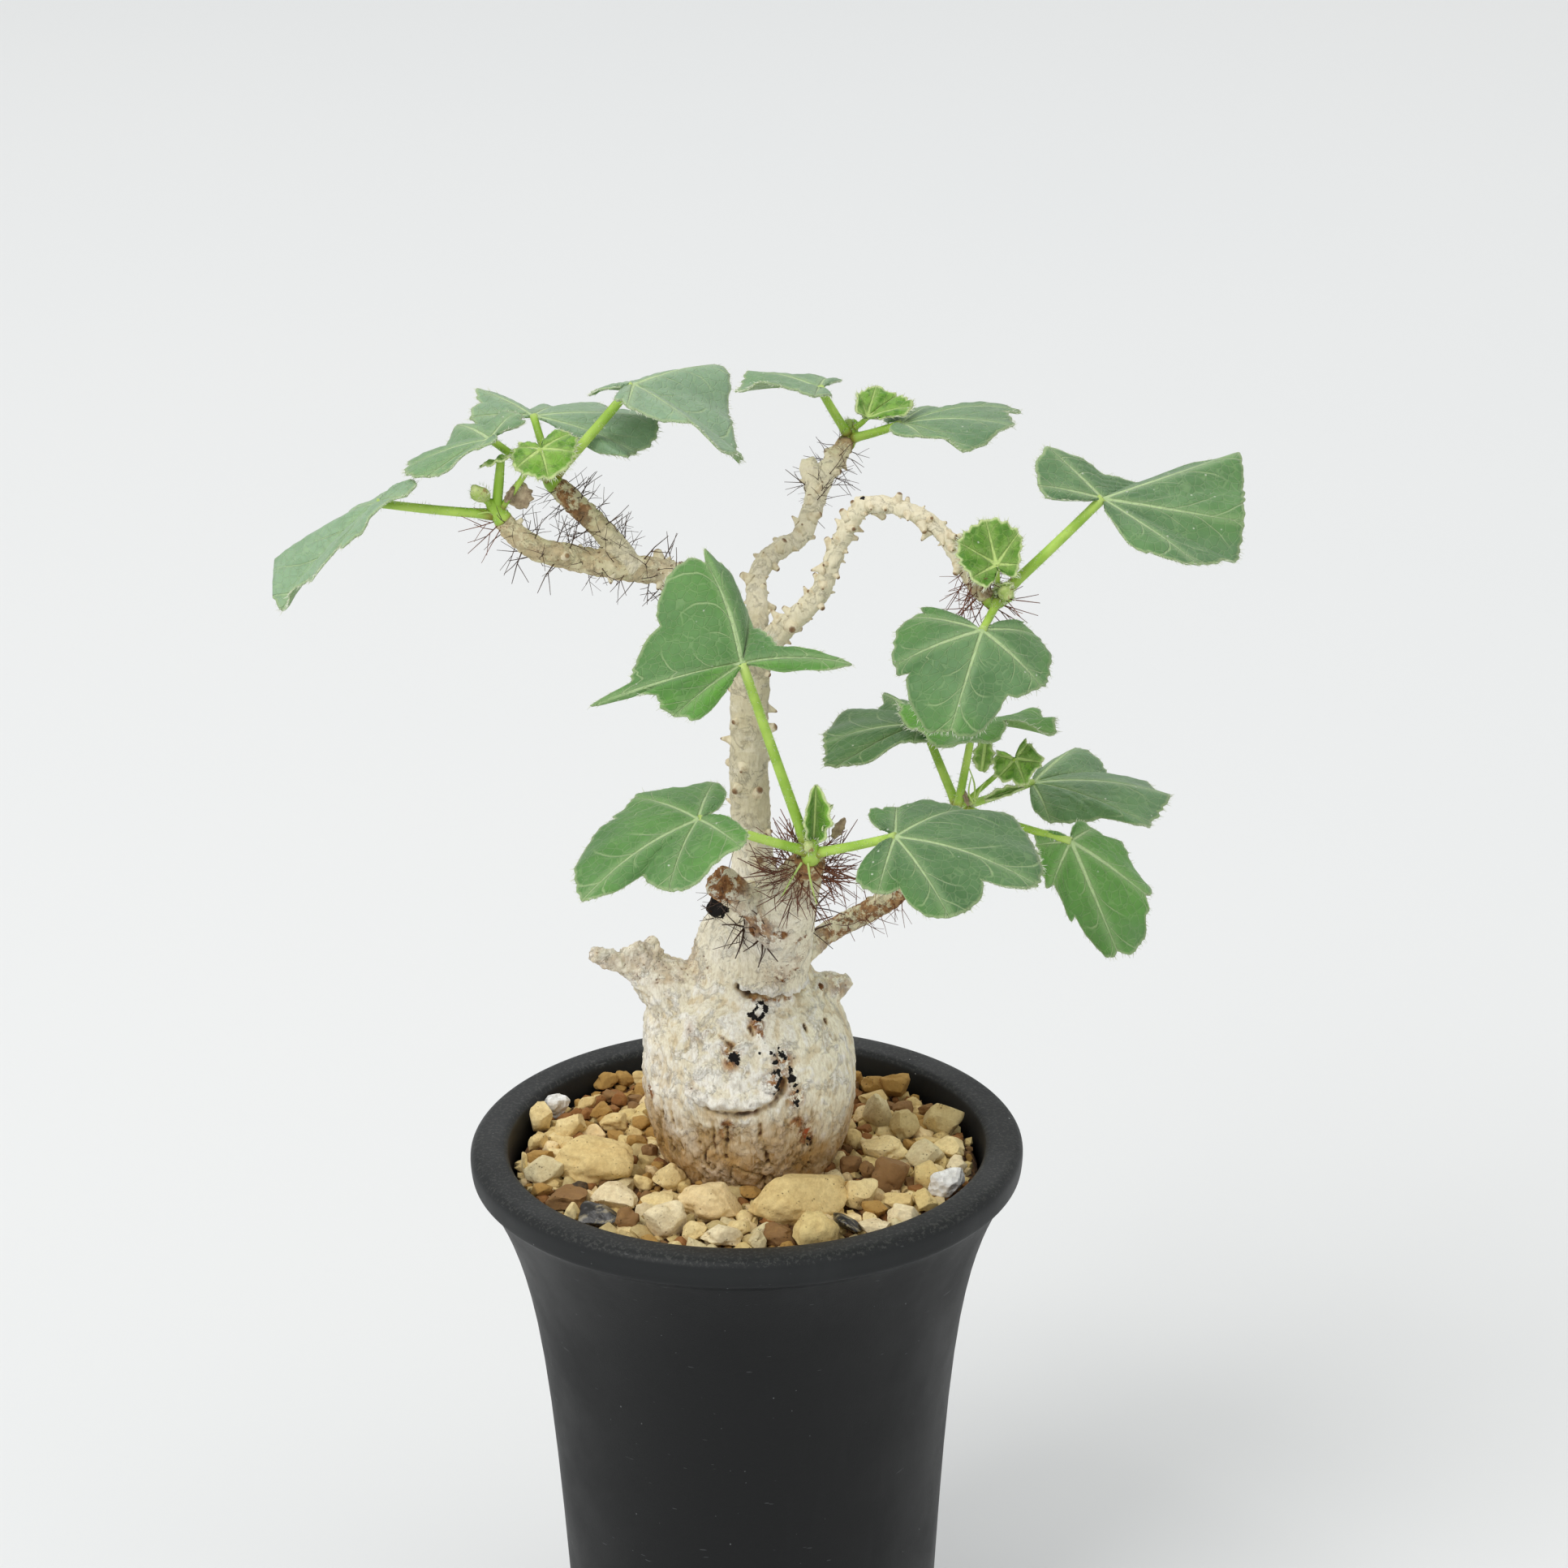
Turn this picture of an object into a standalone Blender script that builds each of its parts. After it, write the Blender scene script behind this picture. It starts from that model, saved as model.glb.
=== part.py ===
# A potted jatropha: a swollen caudex with short crooked branches and palmate leaves, standing in
# gritty gravel in a tall black nursery pot.
# Metres, +Z up. The origin is the middle of the pot's foot. The plant's front looks along -Y.
import math
import random

import bmesh
import bpy
from mathutils import Matrix, Vector, noise
from mathutils.bvhtree import BVHTree

mm = 0.001
joint_gap = 0.3 * mm

# Pot: a tall nursery pot that flares to a rolled rim, 120 mm high and 105 mm across
pot_lip = ((45.2, 117.6), (46.0, 119.3), (47.5, 119.95), (49.6, 120.0), (51.3, 119.3), (52.5, 117.8),
           (52.3, 115.6), (51.6, 113.9))
wall = 2.0 * mm
foot_radius = 34.2 * mm
foot_width = 2.2 * mm
foot_recess = 3.0 * mm
floor_top = 5.0 * mm
flare_start = 113.0 * mm
flare_reach = 10.0 * mm
flare_length = 18.5 * mm
taper = 0.055
drain_holes = 6
drain_radius = 3.0 * mm
drain_circle = 22.0 * mm
boss_radius = 9.0 * mm
pot_steps = 32

# Gravel
bed_height = 115.6 * mm
bed_rise = 1.6 * mm
bed_edge = 43.6 * mm
bed_steps = 26
pebble_count = 88
pebble_ring = (19.5 * mm, 41.2 * mm)

# Caudex: height and radius pairs up its axis, in mm
caudex_centre = (0.8 * mm, 0.0)
caudex_profile = (
    (86, 0.0), (88, 3.4), (97, 5.4), (106, 8.6), (111, 12.4), (115, 15.4), (119, 17.5), (124, 19.2),
    (130, 20.2), (136, 20.5), (142, 19.6), (147, 17.6), (151, 14.6), (154, 12.4), (158, 11.0),
    (165, 10.6), (169, 9.4), (171.5, 6.4), (172.4, 0.0))
soil_line = 116.0 * mm

blade_thickness = 0.6 * mm
widest_base_lobe = math.radians(62.0)
full_blade = math.radians(346.0)
lobe_roundness = 1.8
tip_radius = 1.5 * mm
tip_length = 4.2
spur_root = 1.0 * mm
spur_end = 0.28 * mm
bristle_root = 0.34 * mm
bristle_end = 0.1 * mm
bristle_clearance = 0.7 * mm
golden_angle = math.pi * (3.0 - math.sqrt(5.0))

# Stems: points up each stem's middle line and its radius there, in mm
stems = {
    "trunk": ((2.3, 2, 160, 7.0), (2.2, 2.6, 168, 5.2), (1.9, 3, 175.5, 3.9), (1.4, 3, 187.8, 3.7),
              (1.4, 3, 200, 3.6), (1.8, 3.6, 211, 3.6), (2.4, 4, 217.5, 3.7), (2.8, 4, 220, 2.6)),
    "left_branch": ((1.9, 4, 215, 2.6), (-2, 2, 223, 2.5), (-6, 0, 228.2, 2.4), (-12.1, -2, 233.6, 2.4),
                    (-20.5, -4, 235.6, 2.5), (-28.8, -6, 238.0, 2.4), (-36.0, -8, 240.6, 2.2),
                    (-40.2, -9, 244.2, 2.0), (-42.0, -9, 246.6, 1.7)),
    "left_fork": ((-19.5, -4, 236, 2.2), (-23.2, -3, 240.9, 2.1), (-26.4, -2, 244.2, 2.1),
                  (-31.0, -0.5, 248.4, 2.0), (-32.8, 0, 250.0, 1.7)),
    "back_branch": ((2.4, 4, 216.5, 3.0), (3.2, 10, 222.6, 2.4), (3.1, 16, 226.1, 2.2), (4.8, 20, 228.4, 2.2),
                    (8, 25, 229.6, 2.1), (11.5, 30, 230.2, 2.1), (14.2, 38, 234.4, 2.3),
                    (15.6, 42, 237.5, 2.5), (19.0, 47, 241.0, 2.0), (20.4, 49.4, 242.4, 1.7)),
    "right_branch": ((3.0, 3.2, 215, 2.8), (6.4, 2, 219.9, 2.6), (10.6, 0, 224.6, 2.3), (14, -2, 228.8, 2.2),
                     (15.7, -3, 232.3, 2.0), (17.2, -4, 236.9, 1.9), (19.5, -5, 242.6, 1.9),
                     (21.4, -5, 245.8, 1.9), (23.6, -6, 247.6, 1.8), (26.9, -7, 247.9, 1.8),
                     (30.4, -8, 247.1, 1.8), (33.8, -9, 245.6, 1.8), (36.7, -10, 243.4, 1.8),
                     (38.4, -11, 241.0, 1.7), (40.7, -12, 237.5, 1.8), (43.2, -13, 233.8, 1.9),
                     (45.0, -13.7, 232.4, 1.6)),
    "front_stem": ((4.0, -5, 152.5, 5.0), (5.0, -7.5, 157, 6.3), (5.8, -10.0, 163, 6.8), (6.8, -14, 170, 6.4),
                   (8.6, -20, 177.5, 5.2), (10.4, -27, 184.0, 4.0), (12.4, -33.5, 190.6, 2.8)),
    "low_branch": ((8.0, 7, 152.6, 3.2), (15.4, 11.6, 156.7, 2.3), (22, 12, 160.3, 2.2), (28.1, 10.4, 164.9, 2.2),
                   (34.2, 8, 172.3, 2.1), (37.7, 7, 178.2, 2.0), (40.0, 5.4, 183.2, 1.8)),
    "left_stub": ((-10, -2, 149, 7.5), (-14.6, -3, 153.0, 5.6), (-18.0, -4, 156.0, 4.2), (-20.6, -5, 157.8, 2.8)),
    "stub_finger_low": ((-18.5, -4.5, 156, 2.4), (-23.4, -6, 159.0, 1.6), (-27.4, -7.6, 161.0, 1.1)),
    "stub_finger_middle": ((-17.6, -4.4, 156, 2.2), (-20.4, -5.4, 160.4, 1.5), (-21.0, -5.6, 161.8, 1.1)),
    "stub_finger_high": ((-15.6, -3.6, 154.6, 2.6), (-17.4, -3.9, 159.6, 1.5), (-17.7, -4, 162.0, 1.1)),
    "right_stub": ((10.5, 0.5, 147.5, 5.0), (15.2, 1, 150.0, 3.8), (18.3, 1.6, 151.0, 2.4)),
    "right_stub_knob": ((15.8, 1, 149.5, 2.6), (18.8, 1.6, 152.6, 1.6)),
    "cut_stub": ((-2.6, 2.5, 160, 4.2), (-4.8, 0.6, 165.2, 3.0), (-6.0, -1.8, 168.6, 2.2)),
    "broken_stub": ((6.4, -15, 171.5, 4.2), (0.8, -16.2, 175.4, 3.4), (-4.4, -17.4, 179.6, 2.9)),
    "back_side_stub": ((14.6, 39, 235, 2.0), (13.2, 42, 239.6, 1.9), (12.8, 42.8, 241.4, 1.3)),
    "right_side_stub": ((22.0, -5, 246.4, 1.6), (22.3, -5.9, 248.9, 1.2)),
}

# Bark spurs and bristles: how many on each stem, their length in mm, and where along it they grow
spur_plan = {"trunk": (16, 2.2), "left_branch": (7, 1.8), "back_branch": (9, 1.8), "right_branch": (26, 1.6)}
bristle_plan = {
    "left_branch": (28, 6.0, 0.3, 0.97), "left_fork": (20, 5.6, 0.12, 0.94), "back_branch": (10, 4.6, 0.7, 0.96),
    "right_branch": (8, 5.6, 0.86, 0.97), "front_stem": (20, 5.2, 0.5, 0.97), "low_branch": (14, 5.0, 0.3, 0.95)}

# Shoot tips: the stem that each green tip ends, and which way the tip points
shoots = {
    "left": ("left_branch", (-0.55, -0.1, 0.83)),
    "left_fork": ("left_fork", (-0.45, 0.1, 0.89)),
    "back": ("back_branch", (0.35, 0.2, 0.9)),
    "right": ("right_branch", (0.86, -0.35, 0.2)),
    "front": ("front_stem", (0.1, -0.45, 0.88)),
    "low": ("low_branch", (0.35, -0.1, 0.92)),
}

# Leaves. hub is where the stalk meets the blade, and ribs are its five main veins from the hub,
# counter-clockwise seen from the upper face, all in mm. valleys are the bottoms of the cuts between two
# ribs, by gap. base says how far round the two lobes beside the cleft go, and fill how round a gap bulges.
leaves = {
    "leaf_left_outer": dict(
        shoot="left", hub=(-63.5, -10, 250.2), stalk=0.9, arch=0.05, base=(0.6, 0.4),
        ribs=((3.5, 10, -2), (-8, 15, -5.5), (-18.5, -3, -18.5), (-6.5, -11, -5.5), (6, -7.5, 4.2)),
        valleys={1: (-20.5, 6, -12.5), 2: (-10.5, -7, -9), 3: (-1.5, -9.5, 0.5)}),
    "leaf_left_upper": dict(
        shoot="left_fork", hub=(-44, -6, 260.7), stalk=0.8, arch=0.05, base=(0.8, 0.7),
        ribs=((4, 9, 1.5), (-6.5, 14, -2), (-15.5, -2, -4.5), (-11.5, -10, -5), (-1.5, -9, 0.5)),
        valleys={1: (-7.5, 9, -4.5)}),
    "leaf_left_back": dict(
        shoot="left_fork", hub=(-37, 10, 260.2), stalk=0.8, arch=0.04, base=(0.3, 0.3),
        ribs=((18.5, -8, -4.5), (22.5, 4, -2), (5.5, 23, -5.5), (-11, 8, 3.1), (-11.5, 0, -0.3)),
        valleys={2: (-2.5, 12, -3)}),
    "leaf_left_top": dict(
        shoot="left_fork", hub=(-18.4, 2, 268.3), stalk=1.0, arch=0.04, base=(0.6, 0.6), fill=0.3,
        ribs=((-1, -11, -1.5), (10.5, -14, -4), (19, -5, -13), (15, 16, -1), (-8, 8, -4)),
        valleys={2: (18, 8, -7.5), 3: (2.5, 13, -4)}),
    "leaf_left_young": dict(
        shoot="left", hub=(-34.8, -8, 259.4), stalk=0.6, arch=0.05, base=(0.8, 0.8),
        ribs=((-5, 2, -0.5), (-4.5, -4, -2.5), (1.5, -5, -4.5), (6.5, -1, -0.5), (5.5, 5, 1.2))),
    "leaf_back_left": dict(
        shoot="back", hub=(15.3, 44, 254.8), stalk=0.9, arch=0.05, base=(0.5, 0.6),
        ribs=((1.5, 10, -1), (-12.5, 16, -2), (-16, 4, -2), (-12.5, -6, 2), (-1, -10, 1)),
        valleys={3: (-4.5, -9, 2.6)}),
    "leaf_back_young": dict(
        shoot="back", hub=(24.2, 48, 247.6), stalk=0.6, arch=0.04, root=3.4, base=(0.6, 0.6),
        ribs=((8.9, -1, 2.8), (6.3, 5, 2.9), (2.1, 6, 4.8), (-1.6, 4, 4.1), (-2.2, -1, 2.9))),
    "leaf_back_right": dict(
        shoot="back", hub=(30.7, 46, 247), stalk=0.9, arch=0.06, root=1.2,
        ribs=((4, -10, 0), (11.2, -14, -0.6), (20.2, -6, 1.3), (22.2, 8, 0.9), (6.6, 14, -1.5)),
        valleys={2: (19, 2, 1)}),
    "leaf_right_high": dict(
        shoot="right", hub=(64.8, -12, 250), stalk=1.0, arch=0.05, base=(0.8, 1.0), root=2.8, fill=0.6,
        ribs=((17, -10, -9), (23, -4, -11), (26.5, 17, 3), (-7, 15, -1), (-12.5, -2, 9)),
        valleys={2: (10.5, 20, -3.5)}),
    "leaf_right_young": dict(
        shoot="right", hub=(46, -16.5, 239.6), stalk=0.6, arch=0.03,
        ribs=((4.4, -1, 0.3), (4.4, 2, 5.7), (-1.9, 4, 7.7), (-7, 2, 3.8), (-5, -3, -1.8))),
    "leaf_right_front": dict(
        shoot="right", hub=(43.3, -22, 229.3), stalk=0.8, arch=0.06, base=(0.3, 0.4),
        ribs=((-13, 8, 0), (-16, 0, -6.5), (-6, -9, -16.5), (11, -5, -9.5), (10.5, 6, -3)),
        valleys={1: (-12.5, -4, -10.5), 2: (4.2, -7.5, -12.5)}),
    "leaf_front_up": dict(
        shoot="front", hub=(0.7, -38, 229.2), stalk=1.0, arch=0.07, base=(0.35, 0.5),
        ribs=((19, -4, 1.5), (1, 10, 4.5), (-6, 11, 15.5), (-27.5, -4, -6.5), (-12, -6, -7.5)),
        valleys={0: (6.5, 0, 3.5), 2: (-15.5, 6, 5.5), 3: (-17, -7, -3.5)}),
    "leaf_front_left": dict(
        shoot="front", hub=(-7.4, -40, 200.8), stalk=0.9, arch=0.07, base=(0.8, 0.8),
        ribs=((2.5, 13, 0.5), (-11.5, 12, -1), (-20.5, -14, -9.5), (-5, -16, -7.5), (7.5, -12, -0.5)),
        valleys={1: (-20, 0, -4), 2: (-9.5, -11.6, -6.6)}),
    "leaf_front_right": dict(
        shoot="front", hub=(27.3, -42, 197.9), stalk=0.9, arch=0.07, base=(0.7, 0.8),
        ribs=((-3.5, -12, -6.5), (9.5, -17, -9.5), (25.5, -8, -6), (15, 13, 0.5), (0.5, 12, 1)),
        valleys={0: (1.5, -14, -7.5), 1: (16.5, -12.5, -6.5)}),
    "leaf_low_left": dict(
        shoot="low", hub=(33.9, 10, 199.6), stalk=0.9, arch=0.06, base=(0.7, 0.7),
        ribs=((1, 16, -1.5), (-7, 16, 0), (-18.5, -6, -1), (-16.5, -14, -4), (-2.5, -13, 0.5)),
        valleys={1: (-8.5, 12, -1.5)}),
    "leaf_low_middle": dict(
        shoot="low", hub=(42.7, -2, 204), stalk=0.8, arch=0.04, base=(0.8, 0.7), fill=0.6,
        ribs=((-7.5, 16, -2), (-14, 8, 1), (-4.5, -14, 0.5), (15, -4, 0), (10, 14, -4)),
        valleys={2: (6.5, -4, 1)}),
    "leaf_low_right": dict(
        shoot="low", hub=(54.9, 22, 183.1), stalk=0.8, arch=0.07, base=(0.5, 0.4),
        ribs=((3, -11, -4), (20, -11, -4.5), (25, -2, -2.5), (18, 12, -3.5), (9, 14, 1.5)),
        valleys={0: (12, -13, -2)}),
    "leaf_low_hanging": dict(
        shoot="low", hub=(60.6, -6, 182.3), stalk=0.8, arch=0.06, base=(0.8, 0.7),
        ribs=((-7, 3, -2), (-4, -2, -9), (7, -8, -19.5), (14, -2, -11), (5, 7, 0)),
        valleys={1: (0.5, -5, -13.5), 2: (13.5, -5, -16)}),
}

# Small young leaves fused to a shoot tip: hub in mm, which way the blade faces, which way its middle rib
# runs, its reach in mm and its stalk's radius
sprouts = {
    "left": (((-42, -9, 257.8), (-0.35, 0.2, 0.9), (-1, 0, -0.3), 4.2, 0.9),),
    "front": (((13.7, -34.6, 199.8), (0.1, -0.9, 0.4), (0, 0.3, 1), 3.8, 0.6),),
    "low": (((49.7, 2, 195.2), (0.1, -0.85, 0.5), (0.2, 0.3, -1), 4.2, 0.5),
            ((45.4, 3.5, 195.8), (-0.2, -0.8, 0.5), (0, 0.3, -1), 2.4, 0.4)),
}

# Soft new growth fused to each shoot tip: bud middle and radius in mm, from the tip
buds = {
    "left": (((-3.8, -1.6, 5.0), 1.9),),
    "left_fork": (((-1.0, -0.6, 3.6), 1.2),),
    "back": (((0.6, 0.4, 3.4), 1.4),),
    "right": (((2.8, -2.6, 2.0), 1.9),),
    "front": (((-0.2, -2.2, 3.4), 1.5),),
    "low": (((2.6, -0.6, 3.6), 1.5), ((5.2, -0.6, 5.0), 1.1)),
}

# Big stones: middle on the bed in mm, half sizes in mm, turn in degrees
big_stones = {
    "stone_left": ((-28.4, -6.5), (8.4, 6.4, 5.0), -8),
    "stone_round": ((-6.9, -24.2), (6.3, 4.8, 4.4), 0),
    "stone_long": ((9.6, -23.8), (9.7, 5.3, 5.3), 14),
    "stone_front": ((12.8, -35.4), (4.6, 3.7, 4.2), 20),
    "stone_back": ((37.2, 12.4), (4.6, 3.6, 3.8), -10),
}


def clear_objects():
    for thing in list(bpy.data.objects):
        bpy.data.objects.remove(thing, do_unlink=True)


def make_collection(name):
    group = bpy.data.collections.new(name)
    bpy.context.scene.collection.children.link(group)
    return group


def make_material(name, colour, roughness):
    material = bpy.data.materials.new(name)
    material.use_nodes = True
    shader = material.node_tree.nodes["Principled BSDF"]
    shader.inputs["Base Color"].default_value = (*colour, 1.0)
    shader.inputs["Roughness"].default_value = roughness
    shader.inputs["Metallic"].default_value = 0.0
    return material


def add_mesh(name, mesh, material, group):
    mesh.name = name
    mesh.materials.clear()
    mesh.materials.append(material)
    thing = bpy.data.objects.new(name, mesh)
    group.objects.link(thing)
    return thing


def mesh_of(bm, name="shape"):
    mesh = bpy.data.meshes.new(name)
    bm.to_mesh(mesh)
    bm.free()
    return mesh


def evaluated_mesh(thing):
    graph = bpy.context.evaluated_depsgraph_get()
    graph.update()
    return bpy.data.meshes.new_from_object(thing.evaluated_get(graph))


def smooth_step(x):
    x = min(max(x, 0.0), 1.0)
    return x * x * (3.0 - 2.0 * x)


def profile_radius(z, pairs):
    """Radius at height z from (height, radius) pairs in mm, straight between them."""
    z = z / mm
    for (z0, r0), (z1, r1) in zip(pairs, pairs[1:]):
        if z0 <= z <= z1:
            return (r0 + (r1 - r0) * (z - z0) / (z1 - z0)) * mm
    return 0.0


def turned(name, points, steps, material, group):
    """A lathe shape: points are (radius, height) running down the outer side."""
    mesh = bpy.data.meshes.new(name)
    mesh.from_pydata([(r, 0.0, z) for r, z in points], [(i, i + 1) for i in range(len(points) - 1)], [])
    thing = add_mesh(name, mesh, material, group)
    screw = thing.modifiers.new("turn", "SCREW")
    screw.axis = "Z"
    screw.angle = 2.0 * math.pi
    screw.steps = steps
    screw.render_steps = steps
    screw.use_merge_vertices = True
    screw.merge_threshold = 0.00001
    solid = evaluated_mesh(thing)
    thing.modifiers.clear()
    thing.data = solid
    return thing


def tube_mesh(points, resolution):
    """A round stem through (x, y, z, radius) points with filled caps, its caps welded."""
    curve = bpy.data.curves.new("stem", "CURVE")
    curve.dimensions = "3D"
    curve.bevel_depth = 1.0
    curve.bevel_resolution = resolution
    curve.use_fill_caps = True
    line = curve.splines.new("POLY")
    line.points.add(len(points) - 1)
    for point, (x, y, z, radius) in zip(line.points, points):
        point.co = (x, y, z, 1.0)
        point.radius = radius
    thing = bpy.data.objects.new("stem", curve)
    bpy.context.scene.collection.objects.link(thing)
    mesh = evaluated_mesh(thing)
    bpy.data.objects.remove(thing, do_unlink=True)
    bm = bmesh.new()
    bm.from_mesh(mesh)
    bmesh.ops.remove_doubles(bm, verts=bm.verts, dist=0.000001)
    bmesh.ops.recalc_face_normals(bm, faces=bm.faces)
    bm.to_mesh(mesh)
    bm.free()
    return mesh


def fuse(base, pieces, solver="EXACT"):
    """One Boolean union of base with a list of objects, applied; the pieces are removed."""
    group = bpy.data.collections.new("union")
    for piece in pieces:
        group.objects.link(piece)
    union = base.modifiers.new("union", "BOOLEAN")
    union.operation = "UNION"
    union.operand_type = "COLLECTION"
    union.collection = group
    union.solver = solver
    solid = evaluated_mesh(base)
    base.modifiers.clear()
    base.data = solid
    for piece in pieces:
        bpy.data.objects.remove(piece, do_unlink=True)
    bpy.data.collections.remove(group)
    return base


def cut(base, cutters, solver="EXACT"):
    """Take each cutter out of base and remove the cutter."""
    for cutter in cutters:
        cutter.hide_render = True
        cutter.display_type = "WIRE"
        difference = base.modifiers.new("cut", "BOOLEAN")
        difference.operation = "DIFFERENCE"
        difference.object = cutter
        difference.solver = solver
        solid = evaluated_mesh(base)
        base.modifiers.clear()
        base.data = solid
        bpy.data.objects.remove(cutter, do_unlink=True)
    return base


# Pot
def pot_outer_radius(z):
    return foot_radius + taper * z + flare_reach * math.exp((z - flare_start) / flare_length)


def pot_inner_radius(z):
    return pot_outer_radius(z) - wall


def make_pot(group, cutters, material):
    inside = [(0.0, floor_top), (pot_inner_radius(floor_top) - 2.0 * mm, floor_top)]
    inside += [(pot_inner_radius(z * mm), z * mm) for z in (8, 60, 90, 103)]
    inside += [(44.6 * mm, 111.0 * mm)]
    outside = [(pot_outer_radius(z * mm), z * mm) for z in (111, 106, 99, 90, 76, 50, 2)]
    recess = foot_radius - foot_width
    foot = [(foot_radius - 0.8 * mm, 0.0), (recess + 0.6 * mm, 0.0), (recess, foot_recess),
            (boss_radius + 2.0 * mm, foot_recess), (boss_radius, 0.0), (0.0, 0.0)]
    points = inside + [(r * mm, z * mm) for r, z in pot_lip] + outside + foot
    pot = turned("pot", points, pot_steps, material, group)
    holes = []
    for index in range(drain_holes):
        angle = 2.0 * math.pi * (index + 0.5) / drain_holes
        bm = bmesh.new()
        bmesh.ops.create_cone(bm, cap_ends=True, segments=12, radius1=drain_radius, radius2=drain_radius,
                              depth=4.0 * floor_top)
        bmesh.ops.translate(bm, verts=bm.verts,
                            vec=(drain_circle * math.cos(angle), drain_circle * math.sin(angle), 0.0))
        holes.append(add_mesh("drain_cutter", mesh_of(bm), material, cutters))
    return cut(pot, holes, "MANIFOLD")


# Gravel and stones
def bed_top(x, y):
    return bed_height + bed_rise * (1.0 - math.hypot(x, y) / bed_edge)


def faceted_stone(seed, half_sizes, detail, rough):
    """A knobbly stone: an icosphere pushed in and out by noise, with flattened sides."""
    bm = bmesh.new()
    bmesh.ops.create_icosphere(bm, subdivisions=detail, radius=1.0)
    draw = random.Random(seed)
    shift = Vector((draw.uniform(-50, 50), draw.uniform(-50, 50), draw.uniform(-50, 50)))
    for vert in bm.verts:
        swell = 1.0 + rough * noise.noise(vert.co * 1.3 + shift)
        square = max(abs(vert.co.x), abs(vert.co.y), abs(vert.co.z)) ** -0.35
        vert.co = vert.co * swell * square * 0.93
        vert.co = Vector((vert.co.x * half_sizes[0], vert.co.y * half_sizes[1], vert.co.z * half_sizes[2]))
    return bm


def big_stone_mesh(name, grow):
    (x, y), halves, turn = big_stones[name]
    halves = [(half + grow) * mm for half in halves]
    bm = faceted_stone(len(name) * 7 + int(x), halves, 2, 0.35)
    place = Matrix.Translation((x * mm, y * mm, bed_top(x * mm, y * mm) + 0.42 * halves[2]))
    bm.transform(place @ Matrix.Rotation(math.radians(turn), 4, "Z") @ Matrix.Rotation(0.12, 4, "X"))
    return mesh_of(bm)


def near_big_stone(x, y, size):
    for (sx, sy), halves, turn in big_stones.values():
        angle = math.radians(-turn)
        dx, dy = x - sx * mm, y - sy * mm
        u = dx * math.cos(angle) - dy * math.sin(angle)
        v = dx * math.sin(angle) + dy * math.cos(angle)
        if math.hypot(u / (halves[0] * mm + size), v / (halves[1] * mm + size)) < 1.02:
            return True
    return False


def make_gravel(group, cutters, material):
    hole = [(0.0, 85.4), (4.6, 86.0), (6.0, 97.0)]
    hole += [(profile_radius(z * mm, caudex_profile) / mm + 0.8, z) for z in (106, 111, 116.6)]
    centre = [((r + caudex_centre[0] / mm * min(r / 8.0, 1.0)) * mm, z * mm) for r, z in hole]
    top = [(30.0 * mm, bed_height), (bed_edge, bed_height - 1.0 * mm)]
    side = [(pot_inner_radius(z * mm) - joint_gap * 2.0, z * mm) for z in (103, 90, 60, 12)]
    bottom = [(pot_inner_radius(floor_top) - 4.0 * mm, floor_top + joint_gap), (0.0, floor_top + joint_gap)]
    bed = turned("gravel_mix", centre + top + side + bottom, bed_steps, material, group)
    for vert in bed.data.vertices:
        if vert.co.z > bed_height - 1.2 * mm:
            vert.co.z = bed_top(vert.co.x, vert.co.y)
    bed = cut(bed, [add_mesh("stone_cutter", big_stone_mesh(name, 0.4), material, cutters) for name in big_stones])
    draw = random.Random(31)
    pebbles = []
    for index in range(pebble_count):
        share = (index + 0.5) / pebble_count
        radius = math.sqrt(pebble_ring[0] ** 2 + share * (pebble_ring[1] ** 2 - pebble_ring[0] ** 2))
        angle = index * golden_angle + draw.uniform(-0.1, 0.1)
        size = draw.triangular(2.0, 4.3, 2.7) * mm
        radius = min(radius + draw.uniform(-0.8, 0.8) * mm, bed_edge - size * 0.98)
        squash = (1.0, draw.uniform(0.72, 0.95), draw.uniform(0.6, 0.8))
        turn = draw.uniform(0.0, 6.28)
        x, y = radius * math.cos(angle), radius * math.sin(angle)
        if radius < 18.4 * mm + size or near_big_stone(x, y, size * 0.98 + 0.35 * mm):
            continue
        bm = faceted_stone(index, [size * s for s in squash], 1, 0.5)
        bm.transform(Matrix.Translation((x, y, bed_top(x, y) + 0.25 * size)) @ Matrix.Rotation(turn, 4, "Z")
                     @ Matrix.Rotation(draw.uniform(-0.4, 0.4), 4, "X"))
        pebbles.append(add_mesh("pebble", mesh_of(bm), material, cutters))
    return fuse(bed, pebbles)


# Caudex, trunk and branches
def caudex_point(direction):
    """Where the caudex surface lies for a point on the unit sphere."""
    low, high = caudex_profile[0][0] * mm, caudex_profile[-1][0] * mm
    share = 1.0 - math.acos(max(-1.0, min(1.0, direction.z))) / math.pi
    z = low + (high - low) * (0.35 * share + 0.65 * smooth_step(share) ** 0.75) if share < 1.0 else high
    radius = profile_radius(z, caudex_profile)
    angle = math.atan2(direction.y, direction.x)
    above = smooth_step((z - soil_line) / (6.0 * mm))
    lump = 0.045 * noise.noise(Vector((math.cos(angle) * 1.6, math.sin(angle) * 1.6, z * 55.0)))
    shoulder = 0.13 * math.exp(-((z - 149 * mm) / (6 * mm)) ** 2) * max(0.0, -math.cos(angle)) ** 2
    scar = 0.07 * math.exp(-((z - 135 * mm) / (5 * mm)) ** 2 - ((angle + 1.72) / 0.45) ** 2)
    radius *= 1.0 + above * (lump + shoulder + scar)
    return Vector((caudex_centre[0] * min(radius / (8.0 * mm), 1.0) + radius * math.cos(angle),
                   radius * math.sin(angle), z))


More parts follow.
